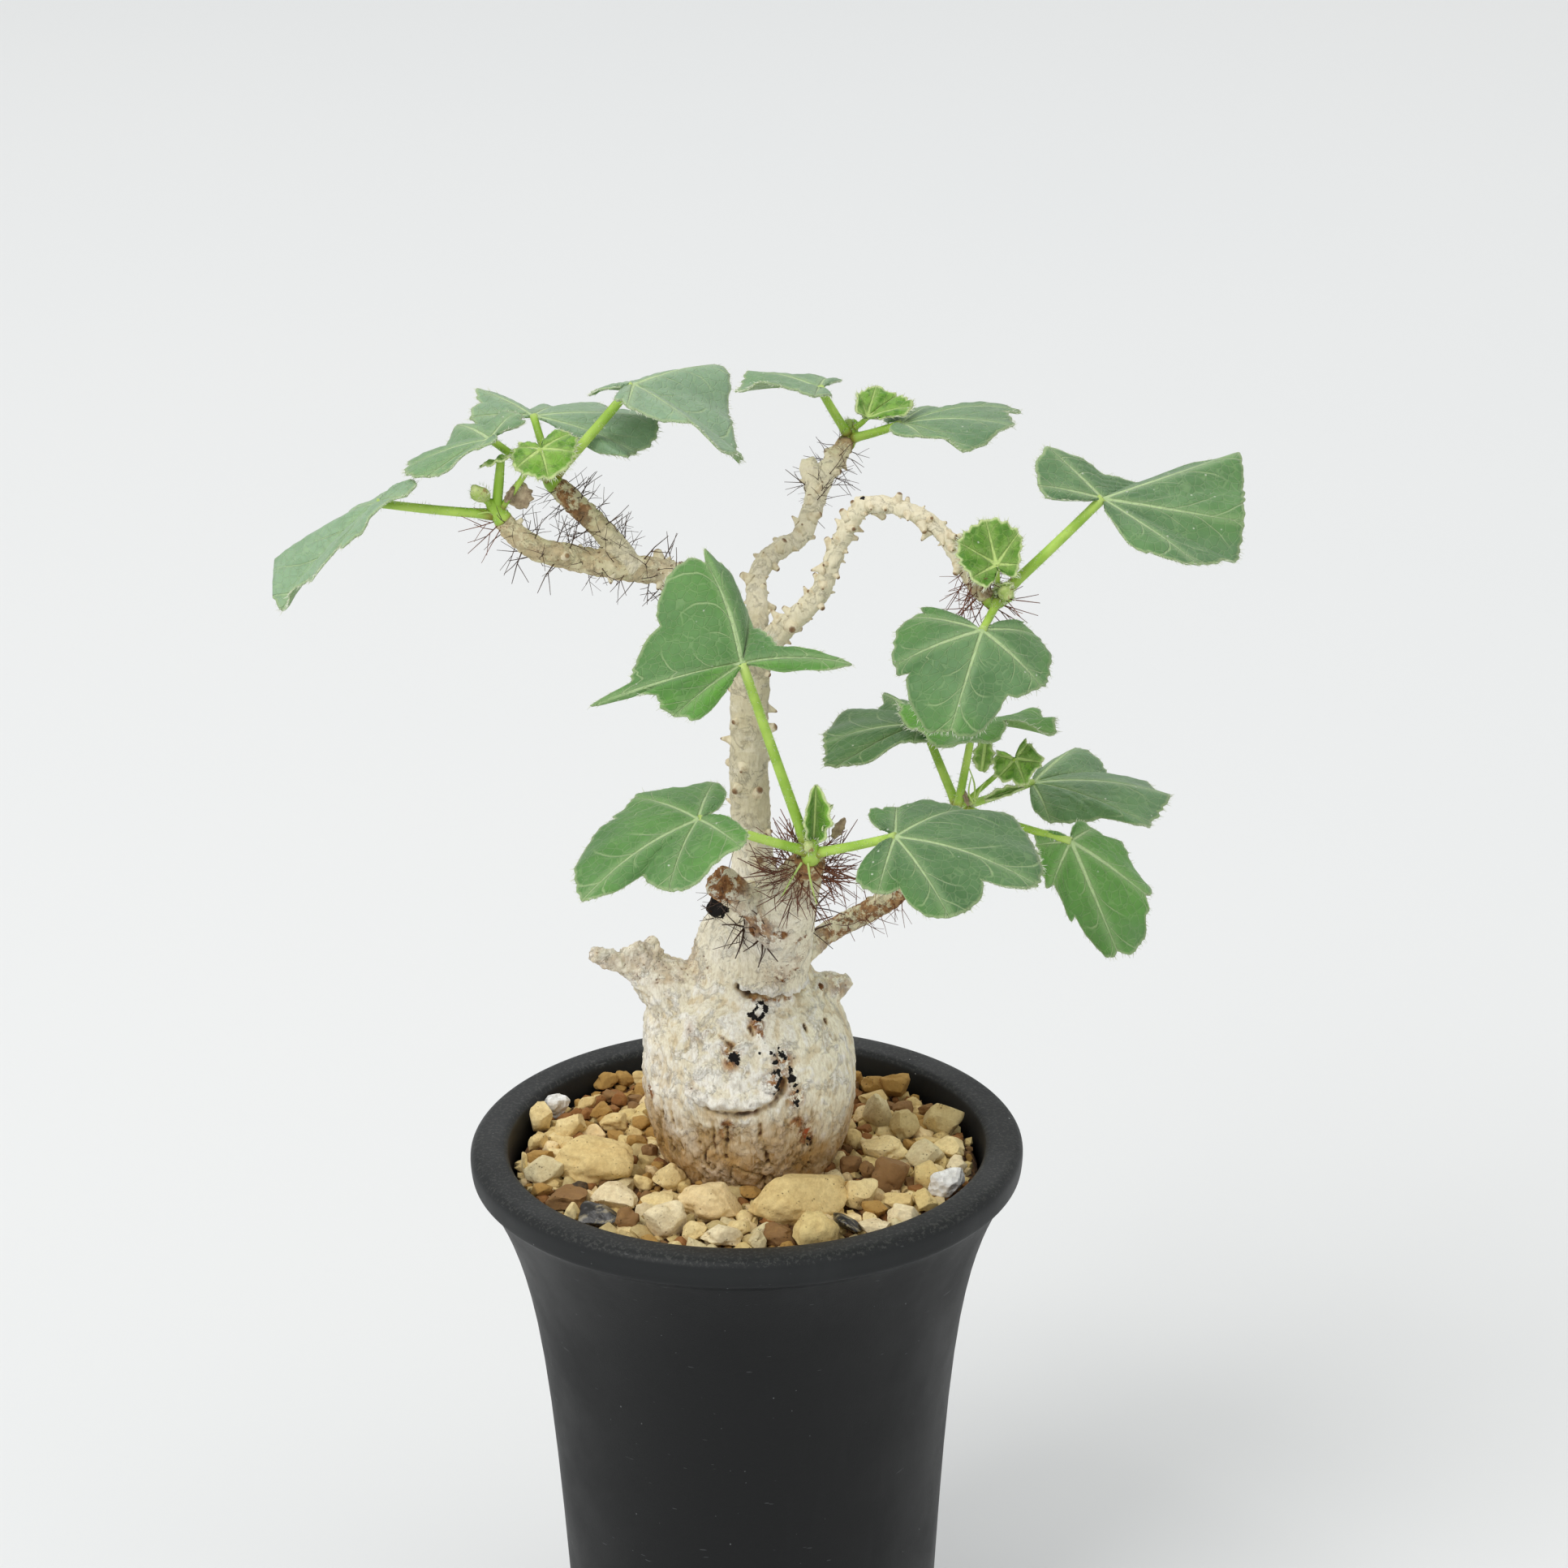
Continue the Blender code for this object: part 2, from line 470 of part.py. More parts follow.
def stem_frame(points, share):
    """Point, direction and radius at a share of a stem's length; points are (x, y, z, radius) in mm."""
    spots = [Vector(point[:3]) for point in points]
    lengths = [(b - a).length for a, b in zip(spots, spots[1:])]
    reach = share * sum(lengths)
    for index, length in enumerate(lengths):
        if reach <= length or index == len(lengths) - 1:
            part = min(reach / length, 1.0)
            radius = points[index][3] + (points[index + 1][3] - points[index][3]) * part
            return spots[index].lerp(spots[index + 1], part), (spots[index + 1] - spots[index]).normalized(), radius
        reach -= length
    return spots[-1], Vector((0, 0, 1)), points[-1][3]


def thorn_mesh(root, direction, base_radius, length, sides, tip_radius):
    bm = bmesh.new()
    bmesh.ops.create_cone(bm, cap_ends=True, segments=sides, radius1=base_radius, radius2=tip_radius, depth=length)
    bmesh.ops.translate(bm, verts=bm.verts, vec=(0, 0, length / 2.0))
    turn = Vector((0, 0, 1)).rotation_difference(direction).to_matrix().to_4x4()
    bm.transform(Matrix.Translation(root) @ turn)
    return mesh_of(bm)


def shoot_frame(name):
    """Where a shoot's wood ends, which way the wood points there and which way the green tip does, in mm."""
    stem, axis = shoots[name]
    before, place = (Vector(point[:3]) for point in stems[stem][-2:])
    return place, (place - before).normalized(), Vector(axis).normalized()


def side_direction(along, angle, lean):
    side = along.orthogonal().normalized()
    side = Matrix.Rotation(angle, 3, along) @ side
    return (side + along * lean).normalized()


def make_spurs(group, material):
    """Short pointed scars of old leaves, in a spiral up the woody stems."""
    spurs = []
    draw = random.Random(7)
    for name, (count, length) in spur_plan.items():
        for index in range(count):
            share = 0.12 + 0.8 * (index + 0.5) / count
            point, along, radius = stem_frame(stems[name], share)
            direction = side_direction(along, index * golden_angle, draw.uniform(-0.1, 0.4))
            height = length * draw.uniform(0.8, 1.2)
            mesh = thorn_mesh((point + direction * radius * 0.4) * mm, direction, spur_root,
                              (radius * 0.6 + height) * mm, 4, spur_end)
            spurs.append(add_mesh("spur", mesh, material, group))
    return spurs


def make_bristles(group, material, clear_tree):
    """Stiff gland-tipped bristles, dropped where they would touch a leaf or a stalk."""
    bristles = []
    draw = random.Random(19)
    for name, (count, length, start, stop) in bristle_plan.items():
        for index in range(count):
            share = start + (stop - start) * (index + draw.random()) / count
            point, along, radius = stem_frame(stems[name], share)
            direction = side_direction(along, index * golden_angle + draw.uniform(-0.4, 0.4), draw.uniform(-0.3, 0.9))
            height = length * draw.uniform(0.7, 1.2)
            root = (point + direction * radius * 0.5) * mm
            reach = (radius * 0.5 + height) * mm
            spots = [root + direction * reach * part for part in (0.35, 0.5, 0.65, 0.8, 1.0)]
            if all(clear_tree.find_nearest(spot)[3] > bristle_clearance for spot in spots):
                mesh = thorn_mesh(root, direction, bristle_root, reach, 3, bristle_end)
                bristles.append(add_mesh("bristle", mesh, material, group))
    return bristles


def make_wood(group, cutters, material, clear_tree):
    bm = bmesh.new()
    bmesh.ops.create_uvsphere(bm, u_segments=22, v_segments=20, radius=1.0)
    for vert in bm.verts:
        vert.co = caudex_point(vert.co.normalized())
    wood = add_mesh("caudex_and_stems", mesh_of(bm), material, group)
    pieces = []
    for name, points in stems.items():
        mesh = tube_mesh([tuple(value * mm for value in point) for point in points], 2 if points[0][3] > 4 else 1)
        pieces.append(add_mesh(name, mesh, material, cutters))
    pieces += make_spurs(cutters, material)
    pieces += make_bristles(cutters, material, clear_tree)
    return fuse(wood, pieces)


# Leaves
def gap_vector(leaf, gap, u):
    """The blade's edge in the gap between two ribs, u from 0 to 1: round at the ribs, sharp at a valley."""
    start, end = Vector(leaf["ribs"][gap]), Vector(leaf["ribs"][gap + 1])
    valley = leaf.get("valleys", {}).get(gap)
    ease = smooth_step(u)
    if valley and u < 0.5:
        end, u = Vector(valley), 2.0 * u
        ease = u ** lobe_roundness
    elif valley:
        start, u = Vector(valley), 2.0 * u - 1.0
        ease = 1.0 - (1.0 - u) ** lobe_roundness
    straight = start.lerp(end, u)
    length = start.length + (end.length - start.length) * ease
    return straight.lerp(straight.normalized() * length, leaf.get("fill", 0.85))


def leaf_vector(leaf, s):
    """From the hub to the blade's edge. s runs 0 to 4 over the five ribs, and on to -1 and 5 at the cleft."""
    if 0.0 <= s <= 4.0:
        gap = min(int(s), 3)
        return gap_vector(leaf, gap, s - gap)
    ribs = [Vector(rib) for rib in leaf["ribs"]]
    edge, inner, turn = (ribs[0], ribs[1], -s) if s < 0.0 else (ribs[4], ribs[3], s - 4.0)
    away = edge.normalized()
    onward = -(inner - away * inner.dot(away)).normalized()
    between = sum(a.angle(b) for a, b in zip(ribs, ribs[1:]))
    lobe = min(widest_base_lobe, 0.5 * (full_blade - between)) * leaf.get("base", (1.0, 1.0))[s > 0.0]
    shrink = 1.0 - 0.12 * turn - 0.58 * smooth_step((turn - 0.45) / 0.55)
    return (away * math.cos(turn * lobe) + onward * math.sin(turn * lobe)) * edge.length * shrink


def leaf_face(leaf, s):
    """Which way the upper face looks at s, from the planes that neighbouring ribs lie in."""
    ribs = [Vector(rib) for rib in leaf["ribs"]]
    faces = [a.cross(b).normalized() for a, b in zip(ribs, ribs[1:])]
    place = min(max(s - 0.5, 0.0), 3.0)
    gap = min(int(place), 2)
    return faces[gap].lerp(faces[gap + 1], place - gap).normalized()


def leaf_point(leaf, s, t):
    """A point of the blade: s round the edge, t from the hub (0) to the edge (1)."""
    reach = leaf_vector(leaf, s)
    rise = leaf["arch"] * reach.length * 4.0 * t * (1.0 - t)
    return (Vector(leaf["hub"]) + reach * t + leaf_face(leaf, s) * rise) * mm


def leaf_stations(leaf):
    """Where the edge gets a corner: at the ribs, between them and on both sides of each valley."""
    if leaf.get("small"):
        return [index * 0.5 for index in range(-2, 11)]
    stations = [-1.0, -0.78, -0.4]
    for gap in range(4):
        valley = gap in leaf.get("valleys", {})
        stations += [gap + part for part in ((0, 0.25, 0.5, 0.75) if valley else (0, 0.33, 0.67))]
    return stations + [4.0, 4.4, 4.78, 5.0]


def blade_mesh(leaf):
    stations = leaf_stations(leaf)
    rings = (0.0, 0.55, 1.0)
    bm = bmesh.new()
    bmesh.ops.create_grid(bm, x_segments=len(stations) - 1, y_segments=len(rings) - 1, size=1.0)
    for vert in bm.verts:
        column = round((vert.co.x + 1.0) / 2.0 * (len(stations) - 1))
        row = round((vert.co.y + 1.0) / 2.0 * (len(rings) - 1))
        vert.co = leaf_point(leaf, stations[column], rings[row])
    bmesh.ops.remove_doubles(bm, verts=bm.verts, dist=0.00001)
    bmesh.ops.triangulate(bm, faces=bm.faces)
    bm.normal_update()
    return mesh_of(bm)


def add_blade(name, leaf, material, group):
    blade = add_mesh(name, blade_mesh(leaf), material, group)
    thick = blade.modifiers.new("thickness", "SOLIDIFY")
    thick.thickness = blade_thickness
    thick.offset = 0.0
    solid = evaluated_mesh(blade)
    blade.modifiers.clear()
    blade.data = solid
    return blade


def stalk_points(leaf):
    """The stalk, from just clear of its shoot's green tip to just through the blade's hub."""
    place, _, axis = shoot_frame(leaf["shoot"])
    hub = Vector(leaf["hub"])
    start = place + axis * leaf.get("root", 1.8)
    out = (hub - start).normalized()
    side = (out - axis * out.dot(axis)).normalized()
    radius = leaf["stalk"]
    root = start + side * (tip_radius / mm + 0.35 + radius * abs(out.dot(axis)))
    middle = root.lerp(hub, 0.5) + Vector(leaf.get("bow", (0, 0, -0.4)))
    line = []
    for part in (0.0, 0.4, 1.0):
        spot = root * (1 - part) ** 2 + middle * 2 * part * (1 - part) + hub * part ** 2
        line.append((*spot, radius * (1.0 - 0.15 * part)))
    end = (Vector(line[-1][:3]) - Vector(line[-2][:3])).normalized() * 0.35
    line[-1] = (*(Vector(line[-1][:3]) + end), radius * 0.6)
    return [tuple(value * mm for value in point) for point in line]


def make_leaf(name, leaf, group, cutters, material):
    blade = add_blade(name, leaf, material, group)
    stalk = add_mesh("stalk", tube_mesh(stalk_points(leaf), 1), material, cutters)
    return fuse(blade, [stalk])


# Shoot tips
def sprout_leaf(hub, facing, ahead, reach):
    """A small leaf as a fan of five ribs in the plane that it faces out of."""
    facing = Vector(facing).normalized()
    ahead = Vector(ahead)
    ahead = (ahead - facing * ahead.dot(facing)).normalized()
    fan = ((-120, 0.75), (-62, 0.95), (0, 1.0), (62, 0.95), (120, 0.75))
    ribs = [Matrix.Rotation(math.radians(angle), 3, facing) @ ahead * reach * share for angle, share in fan]
    valleys = {gap: (ribs[gap] + ribs[gap + 1]) * 0.38 for gap in (1, 2)}
    return dict(hub=hub, arch=0.05, ribs=ribs, valleys=valleys, base=(0.5, 0.5), small=True)


def make_tip(name, group, cutters, material):
    place, along, axis = shoot_frame(name)
    start, bend, top = place + along * 0.38, place + along * 0.95, place + axis * tip_length
    points = [(*(start * mm), tip_radius), (*(bend * mm), tip_radius), (*(bend.lerp(top, 0.5) * mm), tip_radius * 0.95),
              (*(top * mm), tip_radius * 0.6)]
    tip = add_mesh("tip_" + name, tube_mesh(points, 2), material, group)
    pieces = []
    for middle, radius in buds[name]:
        middle = place + Vector(middle)
        bm = bmesh.new()
        bmesh.ops.create_icosphere(bm, subdivisions=1, radius=radius * mm)
        bmesh.ops.translate(bm, verts=bm.verts, vec=middle * mm)
        pieces.append(add_mesh("bud", mesh_of(bm), material, cutters))
        root = place + axis * 2.4
        neck = [(*(root * mm), 0.7 * mm), (*(root.lerp(middle, 0.9) * mm), 0.6 * mm)]
        pieces.append(add_mesh("bud_neck", tube_mesh(neck, 1), material, cutters))
    for hub, facing, ahead, reach, radius in sprouts.get(name, ()):
        pieces.append(add_blade("sprout", sprout_leaf(hub, facing, ahead, reach), material, cutters))
        root, hub = place + axis * 2.0, Vector(hub)
        beyond = hub + (hub - root).normalized() * 0.35
        stalk = [(*(spot * mm), radius * mm) for spot in (root, root.lerp(hub, 0.5), beyond)]
        pieces.append(add_mesh("sprout_stalk", tube_mesh(stalk, 1), material, cutters))
    return fuse(tip, pieces, "MANIFOLD")


def build():
    clear_objects()
    group = make_collection("potted_jatropha")
    cutters = make_collection("cutters")
    black = make_material("black_plastic", (0.022, 0.023, 0.025), 0.62)
    grit = make_material("gravel", (0.55, 0.42, 0.24), 0.9)
    stone = make_material("cream_stone", (0.62, 0.5, 0.3), 0.88)
    bark = make_material("pale_bark", (0.62, 0.56, 0.46), 0.85)
    green = make_material("leaf", (0.12, 0.26, 0.1), 0.6)
    young = make_material("young_leaf", (0.26, 0.48, 0.09), 0.55)
    make_pot(group, cutters, black)
    make_gravel(group, cutters, grit)
    for name in big_stones:
        add_mesh(name, big_stone_mesh(name, 0.0), stone, group)
    soft = []
    for name, leaf in leaves.items():
        soft.append(make_leaf(name, leaf, group, cutters, young if "young" in name else green))
    for name in shoots:
        soft.append(make_tip(name, group, cutters, young))
    together = bmesh.new()
    for thing in soft:
        together.from_mesh(thing.data)
    clear_tree = BVHTree.FromBMesh(together)
    together.free()
    make_wood(group, cutters, bark, clear_tree)
    for thing in group.objects:
        thing.data.shade_smooth()
        thing.data.set_sharp_from_angle(angle=math.radians(35.0))


build()
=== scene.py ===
# Looks for a potted jatropha: pot, gravel, bark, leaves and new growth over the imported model.
# Lengths in the tables are in mm.
import math
import random

import bmesh
import bpy
import numpy as np
from mathutils import Matrix, Vector, kdtree, noise


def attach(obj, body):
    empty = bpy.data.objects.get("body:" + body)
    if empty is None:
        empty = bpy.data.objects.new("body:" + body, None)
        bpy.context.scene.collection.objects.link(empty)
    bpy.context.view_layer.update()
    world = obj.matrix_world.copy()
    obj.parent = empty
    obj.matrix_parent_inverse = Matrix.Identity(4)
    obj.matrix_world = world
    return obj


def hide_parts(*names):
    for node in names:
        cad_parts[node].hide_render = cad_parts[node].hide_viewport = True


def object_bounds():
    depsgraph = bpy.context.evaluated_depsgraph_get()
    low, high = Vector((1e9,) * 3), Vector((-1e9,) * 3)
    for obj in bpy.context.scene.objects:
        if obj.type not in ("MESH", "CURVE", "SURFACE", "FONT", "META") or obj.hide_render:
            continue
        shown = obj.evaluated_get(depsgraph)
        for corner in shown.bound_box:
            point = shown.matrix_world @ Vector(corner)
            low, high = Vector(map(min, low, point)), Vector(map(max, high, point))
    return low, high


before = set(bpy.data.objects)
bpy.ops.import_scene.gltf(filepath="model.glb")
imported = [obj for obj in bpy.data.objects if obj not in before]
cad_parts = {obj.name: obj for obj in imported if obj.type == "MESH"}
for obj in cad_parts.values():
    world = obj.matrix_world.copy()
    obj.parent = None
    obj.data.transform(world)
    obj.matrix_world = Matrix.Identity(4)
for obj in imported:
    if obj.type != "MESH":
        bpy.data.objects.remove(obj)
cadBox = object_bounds()
mm = 0.001
goldenAngle = math.pi * (3.0 - math.sqrt(5.0))


# Small helpers
def smoothStep(x):
    x = min(max(x, 0.0), 1.0)
    return x * x * (3.0 - 2.0 * x)


def bell(distance, width):
    return math.exp(-(distance / width) ** 2)


def smoothLine(points, parts):
    rows = [points[0], *points, points[-1]]
    line = []
    for a, b, c, d in zip(rows, rows[1:], rows[2:], rows[3:]):
        for step in range(parts):
            t = step / parts
            line.append(tuple(0.5 * (2 * q + (r - p) * t + (2 * p - 5 * q + 4 * r - s) * t * t
                                     + (3 * q - p - 3 * r + s) * t ** 3) for p, q, r, s in zip(a, b, c, d)))
    return line + [tuple(points[-1])]


def newMesh(name, spots, faces, unit=mm):
    mesh = bpy.data.meshes.new(name)
    mesh.from_pydata([tuple(value * unit for value in spot) for spot in spots], [], faces)
    return mesh


def meshFrom(bm, name):
    mesh = bpy.data.meshes.new(name)
    bm.to_mesh(mesh)
    bm.free()
    return mesh


def newObject(name, data, materials=()):
    thing = bpy.data.objects.new(name, data)
    bpy.context.scene.collection.objects.link(thing)
    for material in materials:
        data.materials.append(material)
    return thing


def applied(thing):
    graph = bpy.context.evaluated_depsgraph_get()
    graph.update()
    mesh = bpy.data.meshes.new_from_object(thing.evaluated_get(graph))
    thing.modifiers.clear()
    thing.data = mesh
    return thing


def joined(name, things):
    base = things[0]
    if len(things) > 1:
        with bpy.context.temp_override(active_object=base, object=base, selected_objects=things,
                                       selected_editable_objects=things):
            bpy.ops.object.join()
    base.name = name
    base.data.name = name
    return base


def storeNumbers(mesh, name, values):
    layer = mesh.attributes.new(name, "FLOAT", "POINT")
    layer.data.foreach_set("value", values)


def place(thing, slot, *nodes):
    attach(thing, "root")
    if nodes:
        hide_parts(*nodes)
    return thing


def tube(line, sides):   # points and faces of a closed tube, and how far along it each point is
    spots, faces, along = [], [], []
    points = [Vector(point[:3]) for point in line]
    total = sum((b - a).length for a, b in zip(points, points[1:]))
    side, run = None, 0.0
    for index, (point, row) in enumerate(zip(points, line)):
        ahead = (points[min(index + 1, len(points) - 1)] - points[max(index - 1, 0)]).normalized()
        side = ahead.orthogonal() if side is None else side - ahead * side.dot(ahead)
        side.normalize()
        across = ahead.cross(side)
        run += (point - points[index - 1]).length if index else 0.0
        for step in range(sides):
            angle = 2.0 * math.pi * step / sides
            spots.append(point + (side * math.cos(angle) + across * math.sin(angle)) * row[3])
            along.append(run / total)
    rings = len(points)
    for ring in range(rings - 1):
        for step in range(sides):
            nextStep = (step + 1) % sides
            faces.append((ring * sides + step, ring * sides + nextStep,
                          (ring + 1) * sides + nextStep, (ring + 1) * sides + step))
    for ring, flip in ((0, True), (rings - 1, False)):
        spots.append(points[ring])
        along.append(float(ring > 0))
        for step in range(sides):
            pair = (ring * sides + step, ring * sides + (step + 1) % sides)
            faces.append((len(spots) - 1, *(pair[::-1] if flip else pair)))
    return spots, faces, along


# Node helpers
def addNode(tree, kind, inputs=None, **settings):
    part = tree.nodes.new(kind)
    for key, value in settings.items():
        setattr(part, key, value)
    for key, value in (inputs or {}).items():
        if isinstance(value, bpy.types.NodeSocket):
            tree.links.new(value, part.inputs[key])
        else:
            part.inputs[key].default_value = value
    return part


def wire(tree, kind, inputs=None, out=0, **settings):   # a new node's output
    return addNode(tree, kind, inputs, **settings).outputs[out]


def paint(red, green, blue):
    def linear(value):
        value /= 255.0
        return value / 12.92 if value <= 0.04045 else ((value + 0.055) / 1.055) ** 2.4
    return (linear(red), linear(green), linear(blue), 1.0)


class Surface:
    def __init__(self, name, roughness, **sockets):
        self.material = bpy.data.materials.new(name)
        self.material.use_nodes = True
        self.tree = self.material.node_tree
        self.shader = self.tree.nodes["Principled BSDF"]
        self.shader.inputs["Roughness"].default_value = roughness
        for key, value in sockets.items():
            self.shader.inputs[key.replace("_", " ")].default_value = value
        self.object = wire(self.tree, "ShaderNodeTexCoord", out="Object")

    def stretched(self, scale, turn=(0.0, 0.0, 0.0)):
        return wire(self.tree, "ShaderNodeMapping", {"Vector": self.object, "Scale": scale, "Rotation": turn})

    def noise(self, scale, detail=4.0, rough=0.5, vector=None, warp=0.0):
        return wire(self.tree, "ShaderNodeTexNoise", {
            "Vector": vector or self.object, "Scale": scale, "Detail": detail, "Roughness": rough,
            "Distortion": warp})

    def cells(self, scale, feature="F1", vector=None):
        vector = vector or self.object
        return wire(self.tree, "ShaderNodeTexVoronoi", {"Vector": vector, "Scale": scale}, feature=feature)

    def number(self, name):
        return wire(self.tree, "ShaderNodeAttribute", attribute_name=name, out="Fac")

    def part(self, index):   # x, y or z of the place
        return wire(self.tree, "ShaderNodeSeparateXYZ", {0: self.object}, out=index)

    def calc(self, operation, a, b=0.0):
        return wire(self.tree, "ShaderNodeMath", {0: a, 1: b}, operation=operation)

    def times(self, a, b):
        return self.calc("MULTIPLY", a, b)

    def span(self, value, low, high, outLow=0.0, outHigh=1.0):
        return wire(self.tree, "ShaderNodeMapRange", {
            "Value": value, "From Min": low, "From Max": high, "To Min": outLow, "To Max": outHigh},
            interpolation_type="SMOOTHSTEP")

    def blend(self, share, a, b, mode="MIX"):
        a, b = (paint(*colour) if isinstance(colour, tuple) else colour for colour in (a, b))
        return wire(self.tree, "ShaderNodeMix", {0: share, 6: a, 7: b}, data_type="RGBA", blend_type=mode, out=2)

    def coat(self, share, colour, amount=1.0):   # one more colour over what is there
        share = share if amount == 1.0 else self.times(share, amount)
        self.colour = self.blend(share, self.colour, colour)

    def ramp(self, value, stops, mode="LINEAR"):
        part = addNode(self.tree, "ShaderNodeValToRGB", {"Fac": value})
        ramp = part.color_ramp
        ramp.interpolation = mode
        while len(ramp.elements) < len(stops):
            ramp.elements.new(0.5)
        for element, (position, colour) in zip(ramp.elements, stops):
            element.position = position
            element.color = paint(*colour)
        return part.outputs["Color"]

    def bump(self, height, distance, strength=1.0, under=None):
        inputs = {"Height": height, "Distance": distance, "Strength": strength}
        if under is not None:
            inputs["Normal"] = under
        return wire(self.tree, "ShaderNodeBump", inputs)

    def finish(self, normal=None, roughness=None):
        for key, value in (("Base Color", self.colour), ("Normal", normal), ("Roughness", roughness)):
            if value is not None:
                self.tree.links.new(value, self.shader.inputs[key])
        return self.material


# Geometry Nodes helpers: trees that put shapes on points and end as one plain mesh
def openTree(name, inputs):
    tree = bpy.data.node_groups.new(name, "GeometryNodeTree")
    sockets = {}
    for title, kind, value in (("Geometry", "Geometry", None), ("Shapes", "Collection", None), *inputs,
                               ("Seed", "Int", 1), ("Finish", "Material", None)):
        socket = tree.interface.new_socket(title, in_out="INPUT", socket_type="NodeSocket" + kind)
        if value is not None:
            socket.default_value = value
        sockets[title] = socket.identifier
    tree.interface.new_socket("Geometry", in_out="OUTPUT", socket_type="NodeSocketGeometry")
    return tree, sockets, addNode(tree, "NodeGroupInput").outputs


def named(tree, name, kind="FLOAT"):
    return wire(tree, "GeometryNodeInputNamedAttribute", {"Name": name}, data_type=kind)


def anyBetween(tree, seed, low, high):   # a number or a vector drawn for each point
    if isinstance(low, tuple):
        return wire(tree, "FunctionNodeRandomValue", {0: low, 1: high, "Seed": seed}, data_type="FLOAT_VECTOR")
    return wire(tree, "FunctionNodeRandomValue", {2: low, 3: high, "Seed": seed}, data_type="FLOAT", out=1)


def product(tree, a, b):
    return wire(tree, "ShaderNodeMath", {0: a, 1: b}, operation="MULTIPLY")


def stood(tree, given, points, turn, scale):
    shapes = wire(tree, "GeometryNodeCollectionInfo", {
        "Collection": given["Shapes"], "Separate Children": True, "Reset Children": True})
    return wire(tree, "GeometryNodeInstanceOnPoints", {
        "Points": points, "Instance": shapes, "Pick Instance": True, "Rotation": turn, "Scale": scale})


def closeTree(tree, given, instances):
    real = wire(tree, "GeometryNodeRealizeInstances", {"Geometry": instances})
    smooth = wire(tree, "GeometryNodeSetShadeSmooth", {"Geometry": real})
    out = wire(tree, "GeometryNodeSetMaterial", {"Geometry": smooth, "Material": given["Finish"]})
    addNode(tree, "NodeGroupOutput", {0: out})


def grown(thing, made, **inputs):   # runs a tree on a thing and keeps the result
    tree, sockets = made
    grow = thing.modifiers.new("grow", "NODES")
    grow.node_group = tree
    for key, value in inputs.items():
        grow[sockets[key]] = value
    return applied(thing)


def sproutTree():   # one strand, spur or bristle on each point, standing along the point's "aim"
    tree, sockets, given = openTree("sprout on points", (
        ("Thickness", "Float", 1.0), ("Spread", "Float", 0.3), ("Shortest", "Float", 0.6)))
    seed = given["Seed"]
    sway = anyBetween(tree, seed, (-1.0, -1.0, -1.0), (1.0, 1.0, 1.0))
    sway = wire(tree, "ShaderNodeVectorMath", {0: sway, "Scale": given["Spread"]}, operation="SCALE")
    aim = wire(tree, "ShaderNodeVectorMath", {0: named(tree, "aim", "FLOAT_VECTOR"), 1: sway}, operation="ADD")
    turn = wire(tree, "FunctionNodeAlignRotationToVector", {"Vector": aim}, axis="Z")
    spin = wire(tree, "FunctionNodeAxisAngleToRotation", {
        "Axis": (0.0, 0.0, 1.0), "Angle": anyBetween(tree, seed, 0.0, 2.0 * math.pi)})
    turn = wire(tree, "FunctionNodeRotateRotation", {0: turn, 1: spin}, rotation_space="LOCAL")
    height = product(tree, named(tree, "size"), anyBetween(tree, seed, given["Shortest"], 1.0))
    width = product(tree, height, given["Thickness"])
    scale = wire(tree, "ShaderNodeCombineXYZ", {0: width, 1: width, 2: height})
    closeTree(tree, given, stood(tree, given, given["Geometry"], turn, scale))
    return tree, sockets


sprouting = sproutTree()


def sprouted(name, points, shapes, finish, thickness=1.0, spread=0.3, shortest=0.6, seed=1):
    mesh = newMesh(name, [point for point, aim, size in points], [])
    layer = mesh.attributes.new("aim", "FLOAT_VECTOR", "POINT")
    layer.data.foreach_set("vector", [value for point, aim, size in points for value in aim])
    storeNumbers(mesh, "size", [size * mm for point, aim, size in points])
    return grown(newObject(name, mesh), sprouting, Shapes=shapes, Thickness=thickness, Spread=spread,
                 Shortest=shortest, Seed=seed, Finish=finish)


def shapeCollection(name, meshes):
    group = bpy.data.collections.new(name)
    for index, mesh in enumerate(meshes):
        group.objects.link(bpy.data.objects.new(f"{name}{index}", mesh))
    return group


def spikeMesh(name, rings, sides, bend):
    spots, faces, along = tube([(bend * height ** 2, 0.0, height, radius) for height, radius in rings], sides)
    mesh = newMesh(name, spots, faces, 1.0)
    storeNumbers(mesh, "along", along)
    return mesh


# Camera, light and backdrop
studio = dict(
    lens=110.0, sensor=36.0, pitch=21.12, roll=0.59, eye=(7.80, -825.56, 510.70), near=0.01, far=50.0,
    aim=(0, 0, 170), sky=(1.0, 1.0, 0.99), skyStrength=0.68, floor=(234, 235, 235), floorShade=(228, 231, 233),
    floorSize=9000, sweepStart=2600, sweepHeight=3200,
    lamps=(((-1300, -1500, 2300), 1500, 38.0, (1.0, 0.99, 0.975)), ((1500, -900, 1500), 1200, 1.9, (1.0, 1.0, 0.99)),
           ((0, 1500, 2100), 1500, 10.0, (1.0, 1.0, 1.0))))   # place, size, power, colour


